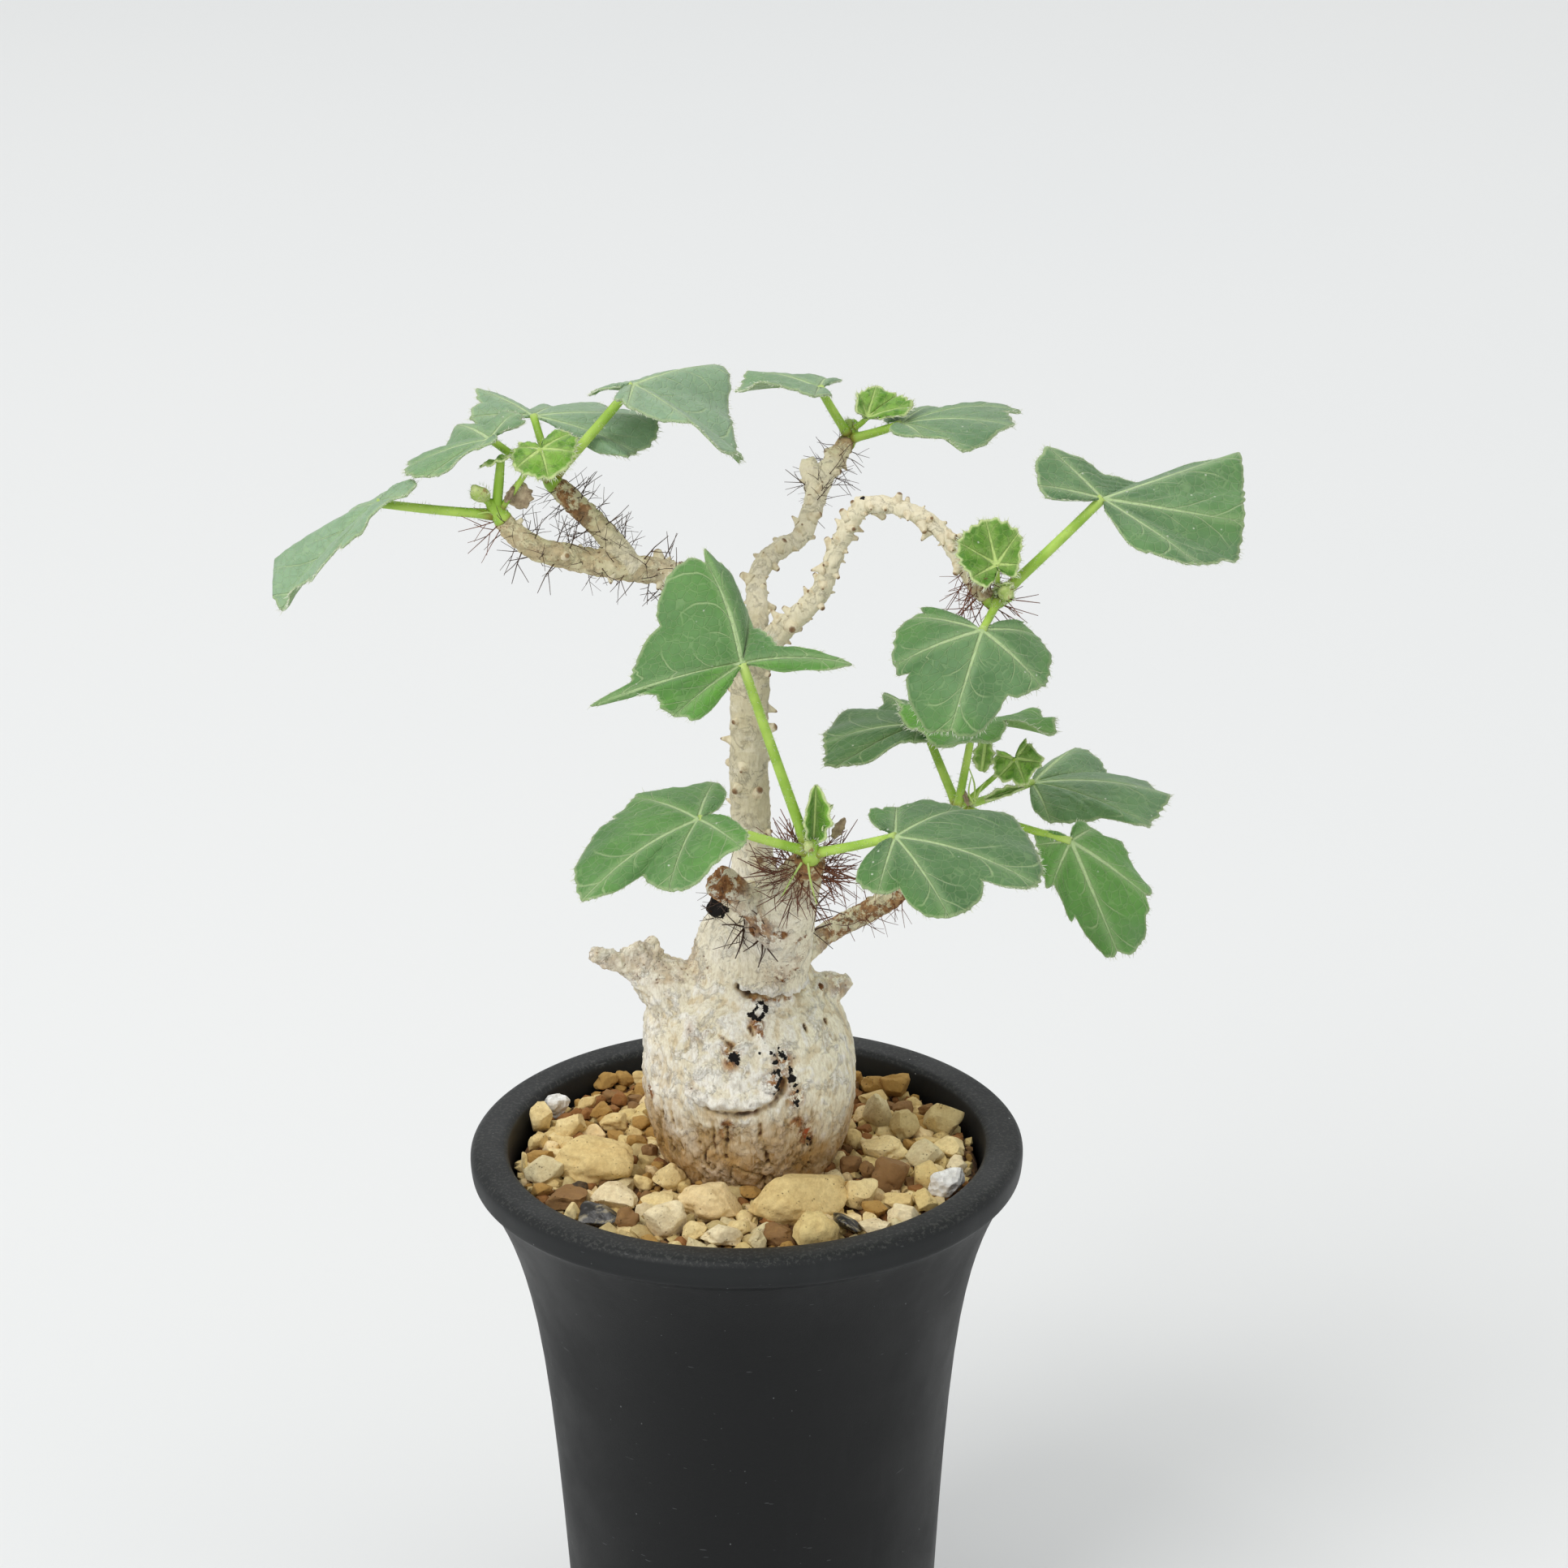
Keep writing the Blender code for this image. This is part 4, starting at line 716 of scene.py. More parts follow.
# Wood
caudex = dict(
    centre=0.8, soilLine=116.0, top=160.0, topFade=5.0, voxel=0.455, smoothing=4, foldMiddle=(-12.0, -9.5, 149.0),
    foldReach=6.5, markedFrom=118.0, markedTo=175.0, darkEdge=137.0, darkFade=15.0, marksPerSpan=12,
    profile=((86, 0.0), (88, 3.4), (97, 5.4), (106, 8.6), (111, 12.4), (115, 15.4), (119, 17.5), (124, 19.2),
             (130, 20.2), (136, 20.5), (142, 19.6), (147, 17.6), (151, 14.6), (154, 12.2), (158, 10.6),
             (161, 9.8), (163.7, 8.7), (166.5, 7.1), (168.5, 5.2), (170, 2.8), (170.6, 0.0)))
stems = {   # points up each stem's middle line and its radius there
    "trunk": ((2.3, 2, 160, 7.0), (2.2, 2.6, 168, 5.2), (1.9, 3, 175.5, 3.9), (1.4, 3, 187.8, 3.7),
        (1.4, 3, 200, 3.6), (1.8, 3.6, 211, 3.6), (2.4, 4, 217.5, 3.7), (2.8, 4, 220, 2.6)),
    "leftBranch": ((1.9, 4, 215, 2.6), (-2, 2, 223, 2.5), (-6, 0, 228.2, 2.4), (-12.1, -2, 233.6, 2.4),
        (-20.5, -4, 235.6, 2.5), (-28.8, -6, 238.0, 2.4), (-36.0, -8, 240.6, 2.2), (-40.2, -9, 244.2, 2.0),
        (-42.0, -9, 246.6, 1.7)),
    "leftFork": ((-19.5, -4, 236, 2.2), (-23.2, -3, 240.9, 2.1), (-26.4, -2, 244.2, 2.1), (-31.0, -0.5, 248.4, 2.0),
        (-32.8, 0, 250.0, 1.7)),
    "backBranch": ((2.4, 4, 216.5, 2.8), (3.2, 10, 222.6, 2.1), (3.1, 16, 226.1, 1.9), (4.8, 20, 228.4, 1.9),
        (8, 25, 229.6, 1.85), (11.5, 30, 230.2, 1.85), (14.2, 38, 234.4, 2.0), (15.6, 42, 237.5, 2.2),
        (19.0, 47, 241.0, 1.9), (20.4, 49.4, 242.4, 1.7)),
    "rightBranch": ((3.0, 3.2, 215, 2.46), (6.4, 2, 219.9, 2.29), (10.6, 0, 224.6, 2.02), (14, -2, 228.8, 1.94),
        (15.7, -3, 232.3, 1.76), (17.2, -4, 236.9, 1.67), (19.5, -5, 242.6, 1.67), (21.4, -5, 245.8, 1.67),
        (23.6, -6, 247.6, 1.58), (26.9, -7, 247.9, 1.58), (30.4, -8, 247.1, 1.58), (33.8, -9, 245.6, 1.58),
        (36.7, -10, 243.4, 1.58), (38.4, -11, 241.0, 1.50), (40.7, -12, 237.5, 1.58), (43.2, -13, 233.8, 1.67),
        (45.0, -13.7, 232.4, 1.41)),
    "frontStem": ((4.0, -5, 152.5, 5.0), (5.0, -7.5, 157, 6.3), (5.8, -10.0, 163, 6.8), (6.8, -14, 170, 6.4),
        (8.6, -20, 177.5, 5.2), (10.4, -27, 184.0, 4.0), (12.4, -33.5, 190.6, 2.8)),
    "lowBranch": ((8.0, 7, 152.6, 3.2), (15.4, 11.6, 156.7, 2.3), (22, 12, 160.3, 2.2), (28.1, 10.4, 164.9, 2.2),
        (34.2, 8, 172.3, 2.1), (37.7, 7, 178.2, 2.0), (40.0, 5.4, 183.2, 1.8)),
    "leftStub": ((-10, -2, 149, 7.5), (-14.6, -3, 153.0, 5.6), (-18.0, -4, 156.0, 4.2), (-20.6, -5, 157.8, 2.8)),
    "lowFinger": ((-18.0, -4.5, 156, 2.6), (-23.4, -6, 158.8, 1.9), (-26.6, -7.3, 160.8, 1.7),
        (-28.0, -7.8, 161.5, 1.5)),
    "middleFinger": ((-17.4, -4.4, 156.4, 1.9), (-19.8, -5.2, 160.2, 1.4), (-20.2, -5.4, 162.3, 1.35)),
    "middleTwin": ((-18.6, -5.0, 158, 1.2), (-21.4, -5.8, 160.6, 1.15), (-22.2, -6.1, 161.6, 1.0)),
    "highFinger": ((-15.2, -3.6, 155.4, 2.2), (-16.8, -3.9, 160.4, 1.5), (-17.2, -4, 162.8, 1.25)),
    "rightStub": ((10.5, 0.5, 147.5, 5.0), (15.2, 1, 150.0, 3.8), (18.3, 1.6, 151.0, 2.4)),
    "rightKnob": ((15.8, 1, 149.5, 2.4), (17.0, 1.2, 153.2, 1.5)),
    "rightTwin": ((16.4, 1, 149.5, 2.2), (20.0, 1.6, 152.0, 1.6)),
    "cutStub": ((-0.8, 0.6, 164, 4.0), (-3.0, -2.0, 167.2, 2.6), (-5.2, -4.4, 169.6, 2.1)),
    "brokenStub": ((6.4, -15, 171.5, 4.2), (1.0, -16.2, 175.2, 3.0), (-3.4, -17.2, 179.0, 3.2),
        (-5.0, -17.6, 180.4, 2.9)),
    "backSideStub": ((14.6, 39, 235, 2.0), (13.2, 42, 239.6, 1.9), (12.8, 42.8, 241.4, 1.3)),
    "rightSideStub": ((22.0, -5, 246.4, 1.6), (22.3, -5.9, 248.9, 1.2))}
youngFrom = {   # where along a stem its bark turns young, and where it is fully so
    "leftBranch": (0.25, 0.6),
    "leftFork": (0.0, 0.5),
    "lowBranch": (0.1, 0.5),
    "rightBranch": (0.86, 1.0),
    "backBranch": (0.82, 1.0),
    "frontStem": (0.75, 1.1)}
rustFrom = {   # the same for rust, and how strong it gets
    "leftBranch": (0.22, 0.5, 0.34),
    "leftFork": (0.2, 0.75, 0.62),
    "lowBranch": (0.0, 0.25, 0.6),
    "rightBranch": (0.88, 1.0, 0.5),
    "backBranch": (0.8, 1.0, 0.5),
    "frontStem": (0.7, 0.95, 0.6),
    "brokenStub": (0.3, 0.9, 0.75)}
bulges = (   # raised places on the caudex: line of points, width, height
    (((3.2, -13.2, 152.8), (2.6, -14.2, 151.3), (2.2, -15.2, 149.8)), 1.15, 1.7),
    (((2.6, -15.7, 149.2), (3.4, -16.6, 147.6)), 0.8, 0.5),
    (((-9.8, -17.7, 137.8), (-8.1, -18.9, 136.9), (-5.5, -20.3, 136.6), (-2.0, -20.9, 136.6), (1.5, -20.9, 136.8),
        (4.1, -20.1, 137.8), (5.6, -19.5, 139.4)), 1.5, 1.7),
    (((6.0, -18.8, 141.0), (5.8, -18.2, 143.4), (5.0, -17.8, 145.0)), 1.1, 0.8),
    (((-0.3, -17.9, 145.8), (0.0, -17.6, 146.4)), 1.0, 1.1),
    (((-9.4, -13.6, 148.2), (-7.6, -15.2, 147.2)), 1.7, 0.9),
    (((-4.6, -14.6, 150.4), (-1.6, -15.6, 149.6)), 1.4, 0.7),
    (((-8.6, -17.6, 141.4), (-6.9, -17.2, 144.7), (-4.4, -17.2, 146.6)), 1.8, 0.9),
    (((-5.0, -18.7, 140.0), (0.0, -19.4, 139.6), (3.0, -18.8, 140.4)), 2.6, 0.8),
    (((-0.4, -11.8, 157.6), (1.6, -12.8, 157.2), (4.4, -13.6, 156.9), (7.6, -13.0, 156.8), (10.2, -10.0, 156.6)),
        1.9, 1.6),
    (((12.6, -9.6, 150.4), (13.8, -12.0, 145.6)), 1.0, 0.5),
    (((9.4, -12.2, 150.6), (10.6, -13.6, 146.8)), 0.8, 0.45),
    (((16.4, -6.0, 146.8), (17.8, -8.6, 141.0)), 1.0, 0.5))
craters = (   # little rings left by fallen shoots: middle and radius
    (2.4, -18.2, 170.3, 1.0), (7.0, -21.9, 171.6, 1.2), (10.4, -19.5, 169.3, 1.2), (9.0, -15.5, 161.2, 1.1),
    (7.6, -15.5, 159.7, 0.8), (-16.6, -6.4, 151.4, 1.1), (-18.6, -5.8, 154.4, 0.9), (14.2, -3.4, 152.4, 1.0))
cracks = (   # dark grooves, partly painted shade in them: line of points, width, depth
    (((-1.0, -11.4, 156.2), (0.3, -11.9, 155.3), (3.6, -13.0, 155.0), (6.8, -13.1, 154.8), (9.2, -10.4, 154.4),
        (10.6, -7.8, 154.1)), 0.7, 2.0),
    (((-7.1, -19.7, 134.8), (-3.5, -20.9, 134.4), (-1.0, -21.2, 134.5), (2.0, -21.0, 134.9), (4.6, -20.1, 136.0),
        (6.6, -19.3, 138.2), (7.3, -18.6, 140.2)), 0.75, 1.5),
    (((-3.0, -20.8, 133.8), (-3.6, -19.7, 129.1), (-3.7, -19.2, 126.6), (-3.8, -18.8, 124.6)), 0.42, 0.9),
    (((2.8, -20.9, 133.4), (2.6, -20.2, 129.3), (3.4, -19.9, 128.2), (4.1, -18.8, 123.5)), 0.38, 0.8),
    (((7.9, -19.1, 136.4), (7.6, -19.1, 131.0)), 0.42, 0.8),
    (((12.4, -15.5, 127.6), (12.2, -14.9, 123.8)), 0.34, 0.6),
    (((-6.1, -19.8, 132.5), (-5.9, -18.4, 126.3)), 0.34, 0.6),
    (((-8.6, -18.5, 133.1), (-8.5, -17.4, 127.0)), 0.36, 0.6),
    (((-13.8, -14.3, 132.2), (-11.9, -14.4, 124.4)), 0.36, 0.6),
    (((-15.8, -11.8, 137.8), (-15.4, -12.2, 130.2)), 0.34, 0.6),
    (((-2.6, -18.4, 143.4), (-3.0, -18.0, 145.4), (-2.2, -17.6, 146.8), (-4.6, -16.4, 148.4)), 0.4, 0.6),
    (((-1.8, -18.9, 142.8), (0.4, -18.9, 142.2)), 0.5, 0.6),
    (((0.9, -15.6, 149.6), (1.6, -16.4, 148.4)), 0.4, 0.6),
    (((11.3, -12.7, 149.0), (12.2, -13.7, 145.6)), 0.3, 0.5),
    (((15.2, -8.6, 148.4), (16.4, -10.4, 143.6)), 0.3, 0.5))
inkSpots = (   # near-black specks: middle, radius and, for faint ones, strength
    (-1.8, -18.3, 144.7, 1.15), (-2.4, -18.2, 145.2, 0.7), (-1.2, -18.4, 144.0, 0.8), (0.0, -17.3, 146.8, 0.45),
    (2.8, -17.7, 145.4, 0.5), (4.7, -17.6, 145.2, 0.6), (5.2, -17.6, 144.8, 0.5), (6.9, -17.2, 144.8, 0.85),
    (7.4, -17.2, 144.2, 0.6), (6.2, -16.8, 146.1, 0.5), (5.6, -18.1, 143.7, 0.6), (6.1, -18.6, 142.0, 0.65),
    (6.0, -18.5, 141.4, 0.5), (6.5, -18.9, 140.6, 0.7), (5.8, -19.1, 140.0, 0.55), (5.4, -19.4, 139.6, 0.5),
    (6.2, -19.4, 138.8, 0.6), (5.2, -19.7, 138.2, 0.5), (4.8, -19.8, 137.4, 0.4), (8.3, -17.6, 141.9, 0.75),
    (8.8, -17.5, 141.4, 0.5), (8.6, -18.0, 140.3, 0.95), (9.4, -17.9, 139.0, 0.55), (9.4, -18.0, 137.8, 0.7),
    (9.2, -18.3, 136.6, 0.55), (9.3, -18.3, 135.8, 0.75), (9.7, -18.3, 134.9, 0.6), (3.0, -12.8, 153.2, 0.8),
    (3.8, -13.3, 152.2, 0.8), (1.4, -14.2, 151.6, 0.75), (1.8, -14.5, 150.9, 0.6), (2.7, -14.7, 150.6, 0.5),
    (3.4, -14.2, 151.2, 0.5), (2.0, -13.6, 152.4, 0.5), (11.8, -15.4, 126.6, 3.4, 0.62),
    (10.6, -16.6, 130.6, 2.0, 0.58), (8.8, -18.0, 138.0, 2.6, 0.6), (5.4, -18.8, 141.6, 2.8, 0.58),
    (-1.4, -18.0, 144.6, 2.4, 0.55), (3.6, -16.6, 146.8, 1.8, 0.55))
rustSpots = (   # brown and orange stains: middle, radius and how orange
    (9.4, -18.2, 131.2, 0.9, 1.6), (11.6, -16.5, 128.4, 1.3, 2.2), (-17.7, -8.8, 133.6, 0.9, 1.6),
    (-9.1, -17.8, 139.2, 1.4, 0.42), (-3.3, -20.5, 132.2, 0.8, 1.5), (-3.7, -19.9, 130.0, 0.9, 1.5),
    (2.2, -15.2, 150.0, 1.1, 1.0), (2.9, -16.0, 148.4, 0.8, 1.0), (-8.0, -14.8, 147.6, 1.8, 0.4),
    (-9.6, -13.4, 148.4, 1.6, 0.42), (-20.6, -9.5, 156.5, 0.6, 1.0), (1.6, -12.5, 154.5, 0.7, 1.3),
    (4.0, -13.2, 154.2, 0.7, 1.3), (6.2, -13.3, 153.9, 0.7, 1.4), (8.4, -11.9, 153.6, 0.7, 1.2),
    (-2.4, -18.0, 145.8, 1.3, 1.0), (-2.6, -18.2, 143.6, 1.2, 1.0), (6.0, -18.9, 140.2, 1.8, 1.0),
    (9.2, -18.2, 136.6, 1.4, 1.0), (7.0, -17.6, 143.6, 1.6, 0.9), (-14.0, -4.0, 155.0, 2.6, 0.5),
    (4.2, -19.0, 172.0, 3.4, 0.75), (1.0, -16.6, 172.6, 2.6, 0.8), (10.0, -16.0, 165.0, 2.4, 0.5),
    (6.5, -16.4, 160.0, 3.0, 0.45), (17.0, 0.0, 151.0, 2.2, 0.7))


def profileRadius(z, pairs):
    for (z0, r0), (z1, r1) in zip(pairs, pairs[1:]):
        if z0 <= z <= z1:
            return r0 + (r1 - r0) * (z - z0) / (z1 - z0)
    return 0.0


def caudexPoint(direction, pairs):
    low, high = pairs[0][0], pairs[-1][0]
    share = 1.0 - math.acos(max(-1.0, min(1.0, direction.z))) / math.pi
    z = low + (high - low) * (0.35 * share + 0.65 * smoothStep(share) ** 0.75) if share < 1.0 else high
    radius = profileRadius(z, pairs)
    angle = math.atan2(direction.y, direction.x)
    above = smoothStep((z - caudex["soilLine"]) / 6.0)
    lump = 0.045 * noise.noise(Vector((math.cos(angle) * 1.6, math.sin(angle) * 1.6, z * 0.055)))
    shoulder = 0.13 * bell(z - 149, 6.0) * max(0.0, -math.cos(angle)) ** 2
    scar = 0.07 * math.exp(-((z - 135) / 5) ** 2 - ((angle + 1.72) / 0.45) ** 2)
    radius *= 1.0 + above * (lump + shoulder + scar)
    return Vector((caudex["centre"] * min(radius / 8.0, 1.0) + radius * math.cos(angle), radius * math.sin(angle), z))


def lineDistance(spot, line):
    best = 1e9
    for a, b in zip(line, line[1:]):
        ab = b - a
        share = max(0.0, min(1.0, (spot - a).dot(ab) / ab.length_squared))
        best = min(best, (spot - a - ab * share).length)
    return best


def barkRelief(spot, low):   # lifted plates, crumbs and cracks, in mm, and how deep in a crack the spot is
    offsets = ((11, 5, 2), (3, 17, 8), (9, 4, 23))
    drift = Vector([noise.noise(spot * 0.1 + Vector(offset)) for offset in offsets]) * 3.0
    flow = spot + drift
    plate = smoothStep((noise.noise(flow * 0.3) + 0.03) / 0.1)
    flake = smoothStep((noise.noise(flow * 0.62 + Vector((40, 0, 0))) - 0.04) / 0.1)
    crumb = 0.5 - abs(noise.noise(Vector((spot.x, spot.y, spot.z * 0.6)) * 1.15))
    tall = Vector((flow.x * 0.4, flow.y * 0.4, flow.z * 0.085))
    split = 1.0 - smoothStep(abs(noise.noise(tall)) / 0.085)
    split = max(split, 0.8 - smoothStep(abs(noise.noise(tall * 2.1 + Vector((7, 3, 0)))) / 0.1))
    split *= smoothStep((noise.noise(spot * 0.23 + Vector((0, 9, 0))) + 0.25) / 0.3)
    crack = split * (0.12 + 0.88 * low)
    fold = bell((spot - Vector(caudex["foldMiddle"])).length, caudex["foldReach"])
    along = flow.x * 0.62 + flow.z * 0.6 - flow.y * 0.3
    wave = abs(math.sin(along * 1.25)) ** 0.6
    calm = 1.0 - 0.6 * smoothStep((spot.x - 4.0) / 9.0)
    rib = abs(noise.noise(Vector((flow.x * 0.72, flow.y * 0.72, flow.z * 0.11 + 5.0))))
    shift = calm * (0.24 * plate + 0.18 * flake) + 0.08 * crumb - 0.9 * crack - 0.4 + fold * 1.1 * (wave - 0.6)
    shift += 0.5 * min(rib, 0.35)
    return shift, crack, 0.3 * plate + 0.3 * flake + 0.3 + 0.9 * min(rib, 0.3) + 0.3 * fold * (wave - 0.5)


def barkSurface():
    bark = Surface("pale bark", 0.88, Specular_IOR_Level=0.25)
    young, rust, ink = bark.number("young"), bark.number("rust"), bark.number("ink")
    groove, low, lift, swollen = (bark.number(name) for name in ("groove", "low", "lift", "swollen"))
    tall, height = bark.stretched((1.0, 1.0, 0.28)), bark.part(2)
    fissure = bark.noise(760.0, 6.0, 0.7, tall, 0.8)
    cloud = bark.noise(85.0, 6.0, 0.65)
    peel = bark.span(bark.noise(260.0, 6.0, 0.7, warp=0.8), 0.52, 0.6)
    fine = bark.noise(2200.0, 4.0, 0.7, tall)
    bark.colour = bark.ramp(cloud, [(0.25, (224, 214, 184)), (0.45, (242, 235, 212)), (0.62, (250, 245, 230)),
                                    (0.8, (226, 215, 184))])
    bark.coat(bark.span(bark.part(0), 0.002, 0.016), (255, 249, 222), 0.85)   # ivory right side, also painted lighter where the lamps leave it dim
    bark.coat(bark.times(bark.span(lift, 0.74, 0.36), bark.times(swollen, 0.5)), (212, 188, 142))   # painted warm shade in the pits
    bark.coat(bark.times(peel, bark.span(lift, 0.3, 0.9, 0.25, 0.7)), (244, 241, 232))
    bark.coat(bark.span(lift, 0.85, 1.25), (250, 248, 240), 0.8)   # white plates, with painted light on the raised lumps
    bark.coat(bark.times(bark.span(fissure, 0.47, 0.33), bark.span(low, 0.0, 1.0, 0.24, 0.95)), (104, 76, 46))
    bark.coat(bark.times(low, bark.span(cloud, 0.35, 0.65, 0.97, 0.62)), (184, 142, 80))   # brown foot
    bark.coat(bark.span(fine, 0.35, 0.6, 0.28, 0.0), (150, 118, 66))
    stem = bark.calc("SUBTRACT", 1.0, swollen)
    twig = bark.blend(bark.span(height, 0.214, 0.228), (188, 178, 138), (222, 212, 180))
    bark.coat(bark.times(stem, bark.span(height, 0.174, 0.188)), twig, 0.62)
    ring = bark.span(bark.noise(240.0, 5.0, 0.7, bark.stretched((0.5, 0.5, 1.6))), 0.54, 0.64)
    bark.coat(bark.times(ring, stem), (232, 226, 206), 0.4)
    bark.coat(young, bark.ramp(bark.noise(190.0, 4.0, 0.6), [(0.3, (202, 196, 148)), (0.7, (228, 216, 178))]), 0.75)
    scab = bark.times(bark.span(rust, 0.1, 0.7), bark.span(bark.noise(360.0, 6.0, 0.7), 0.56, 0.48))
    bark.coat(scab, bark.ramp(bark.noise(900.0, 4.0, 0.6), [
        (0.3, (88, 56, 34)), (0.5, (150, 102, 62)), (0.7, (200, 160, 110))]))
    bark.coat(bark.times(bark.span(rust, 1.15, 1.45), bark.span(bark.noise(800.0, 3.0), 0.4, 0.52)), (172, 84, 46))
    speck = bark.span(bark.noise(1100.0, 4.0, 0.7), 0.6, 0.66)
    bark.coat(bark.times(speck, bark.span(rust, 0.0, 0.35, 0.12, 0.8)), (110, 72, 44))
    # painted shade in the cracks, over the darker bark inside them
    bark.coat(bark.span(groove, 0.05, 0.4, 0.0, 0.55), (190, 158, 100))
    bark.coat(bark.span(groove, 0.3, 0.85, 0.0, 0.92), bark.ramp(bark.noise(600.0, 3.0), [
        (0.35, (46, 30, 20)), (0.65, (118, 78, 48))]))
    ragged = bark.times(bark.calc("SUBTRACT", bark.noise(1250.0, 3.0, 0.6), 0.5), 0.9)
    bark.coat(bark.span(bark.calc("ADD", ink, ragged), 0.5, 0.56), (24, 21, 20))
    ridges = bark.calc("ADD", bark.times(fissure, bark.span(low, 0.0, 1.0, 0.5, 1.2)), bark.times(peel, 0.5))
    return bark.finish(bark.bump(fine, 0.14 * mm, 0.7, bark.bump(ridges, 0.55 * mm, 0.75)))


def stemSpot(name, share):
    points = stems[name]
    spots = [Vector(point[:3]) for point in points]
    lengths = [(b - a).length for a, b in zip(spots, spots[1:])]
    reach = share * sum(lengths)
    for index, length in enumerate(lengths):
        if reach <= length or index == len(lengths) - 1:
            part = min(reach / length, 1.0)
            radius = points[index][3] + (points[index + 1][3] - points[index][3]) * part
            return spots[index].lerp(spots[index + 1], part), (spots[index + 1] - spots[index]).normalized(), radius
        reach -= length


def woodShape():   # caudex and stems grown into one closed mesh
    pairs = smoothLine(caudex["profile"], 6)
    bm = bmesh.new()
    bmesh.ops.create_uvsphere(bm, u_segments=110, v_segments=100, radius=1.0)
    for vert in bm.verts:
        vert.co = caudexPoint(vert.co.normalized(), pairs) * mm
    parts = [newObject("wood", meshFrom(bm, "wood"))]
    for name, points in stems.items():
        spots, faces, along = tube(smoothLine(points, 5), 20)
        parts.append(newObject(name, newMesh(name, spots, faces)))
    wood = joined("wood", parts)
    remesh = wood.modifiers.new("remesh", "REMESH")
    remesh.mode, remesh.voxel_size = "VOXEL", caudex["voxel"] * mm
    soften = wood.modifiers.new("soften", "SMOOTH")
    soften.factor, soften.iterations = 0.5, caudex["smoothing"]
    return applied(wood)


def stemMarks():   # finds the stem that is nearest, and how far along it
    marks = []
    for name, points in stems.items():
        steps = (len(points) - 1) * caudex["marksPerSpan"]
        marks += [(name, (step + 0.5) / steps) for step in range(steps)]
    tree = kdtree.KDTree(len(marks))
    for index, (name, share) in enumerate(marks):
        tree.insert(stemSpot(name, share)[0], index)
    tree.balance()
    return tree, marks


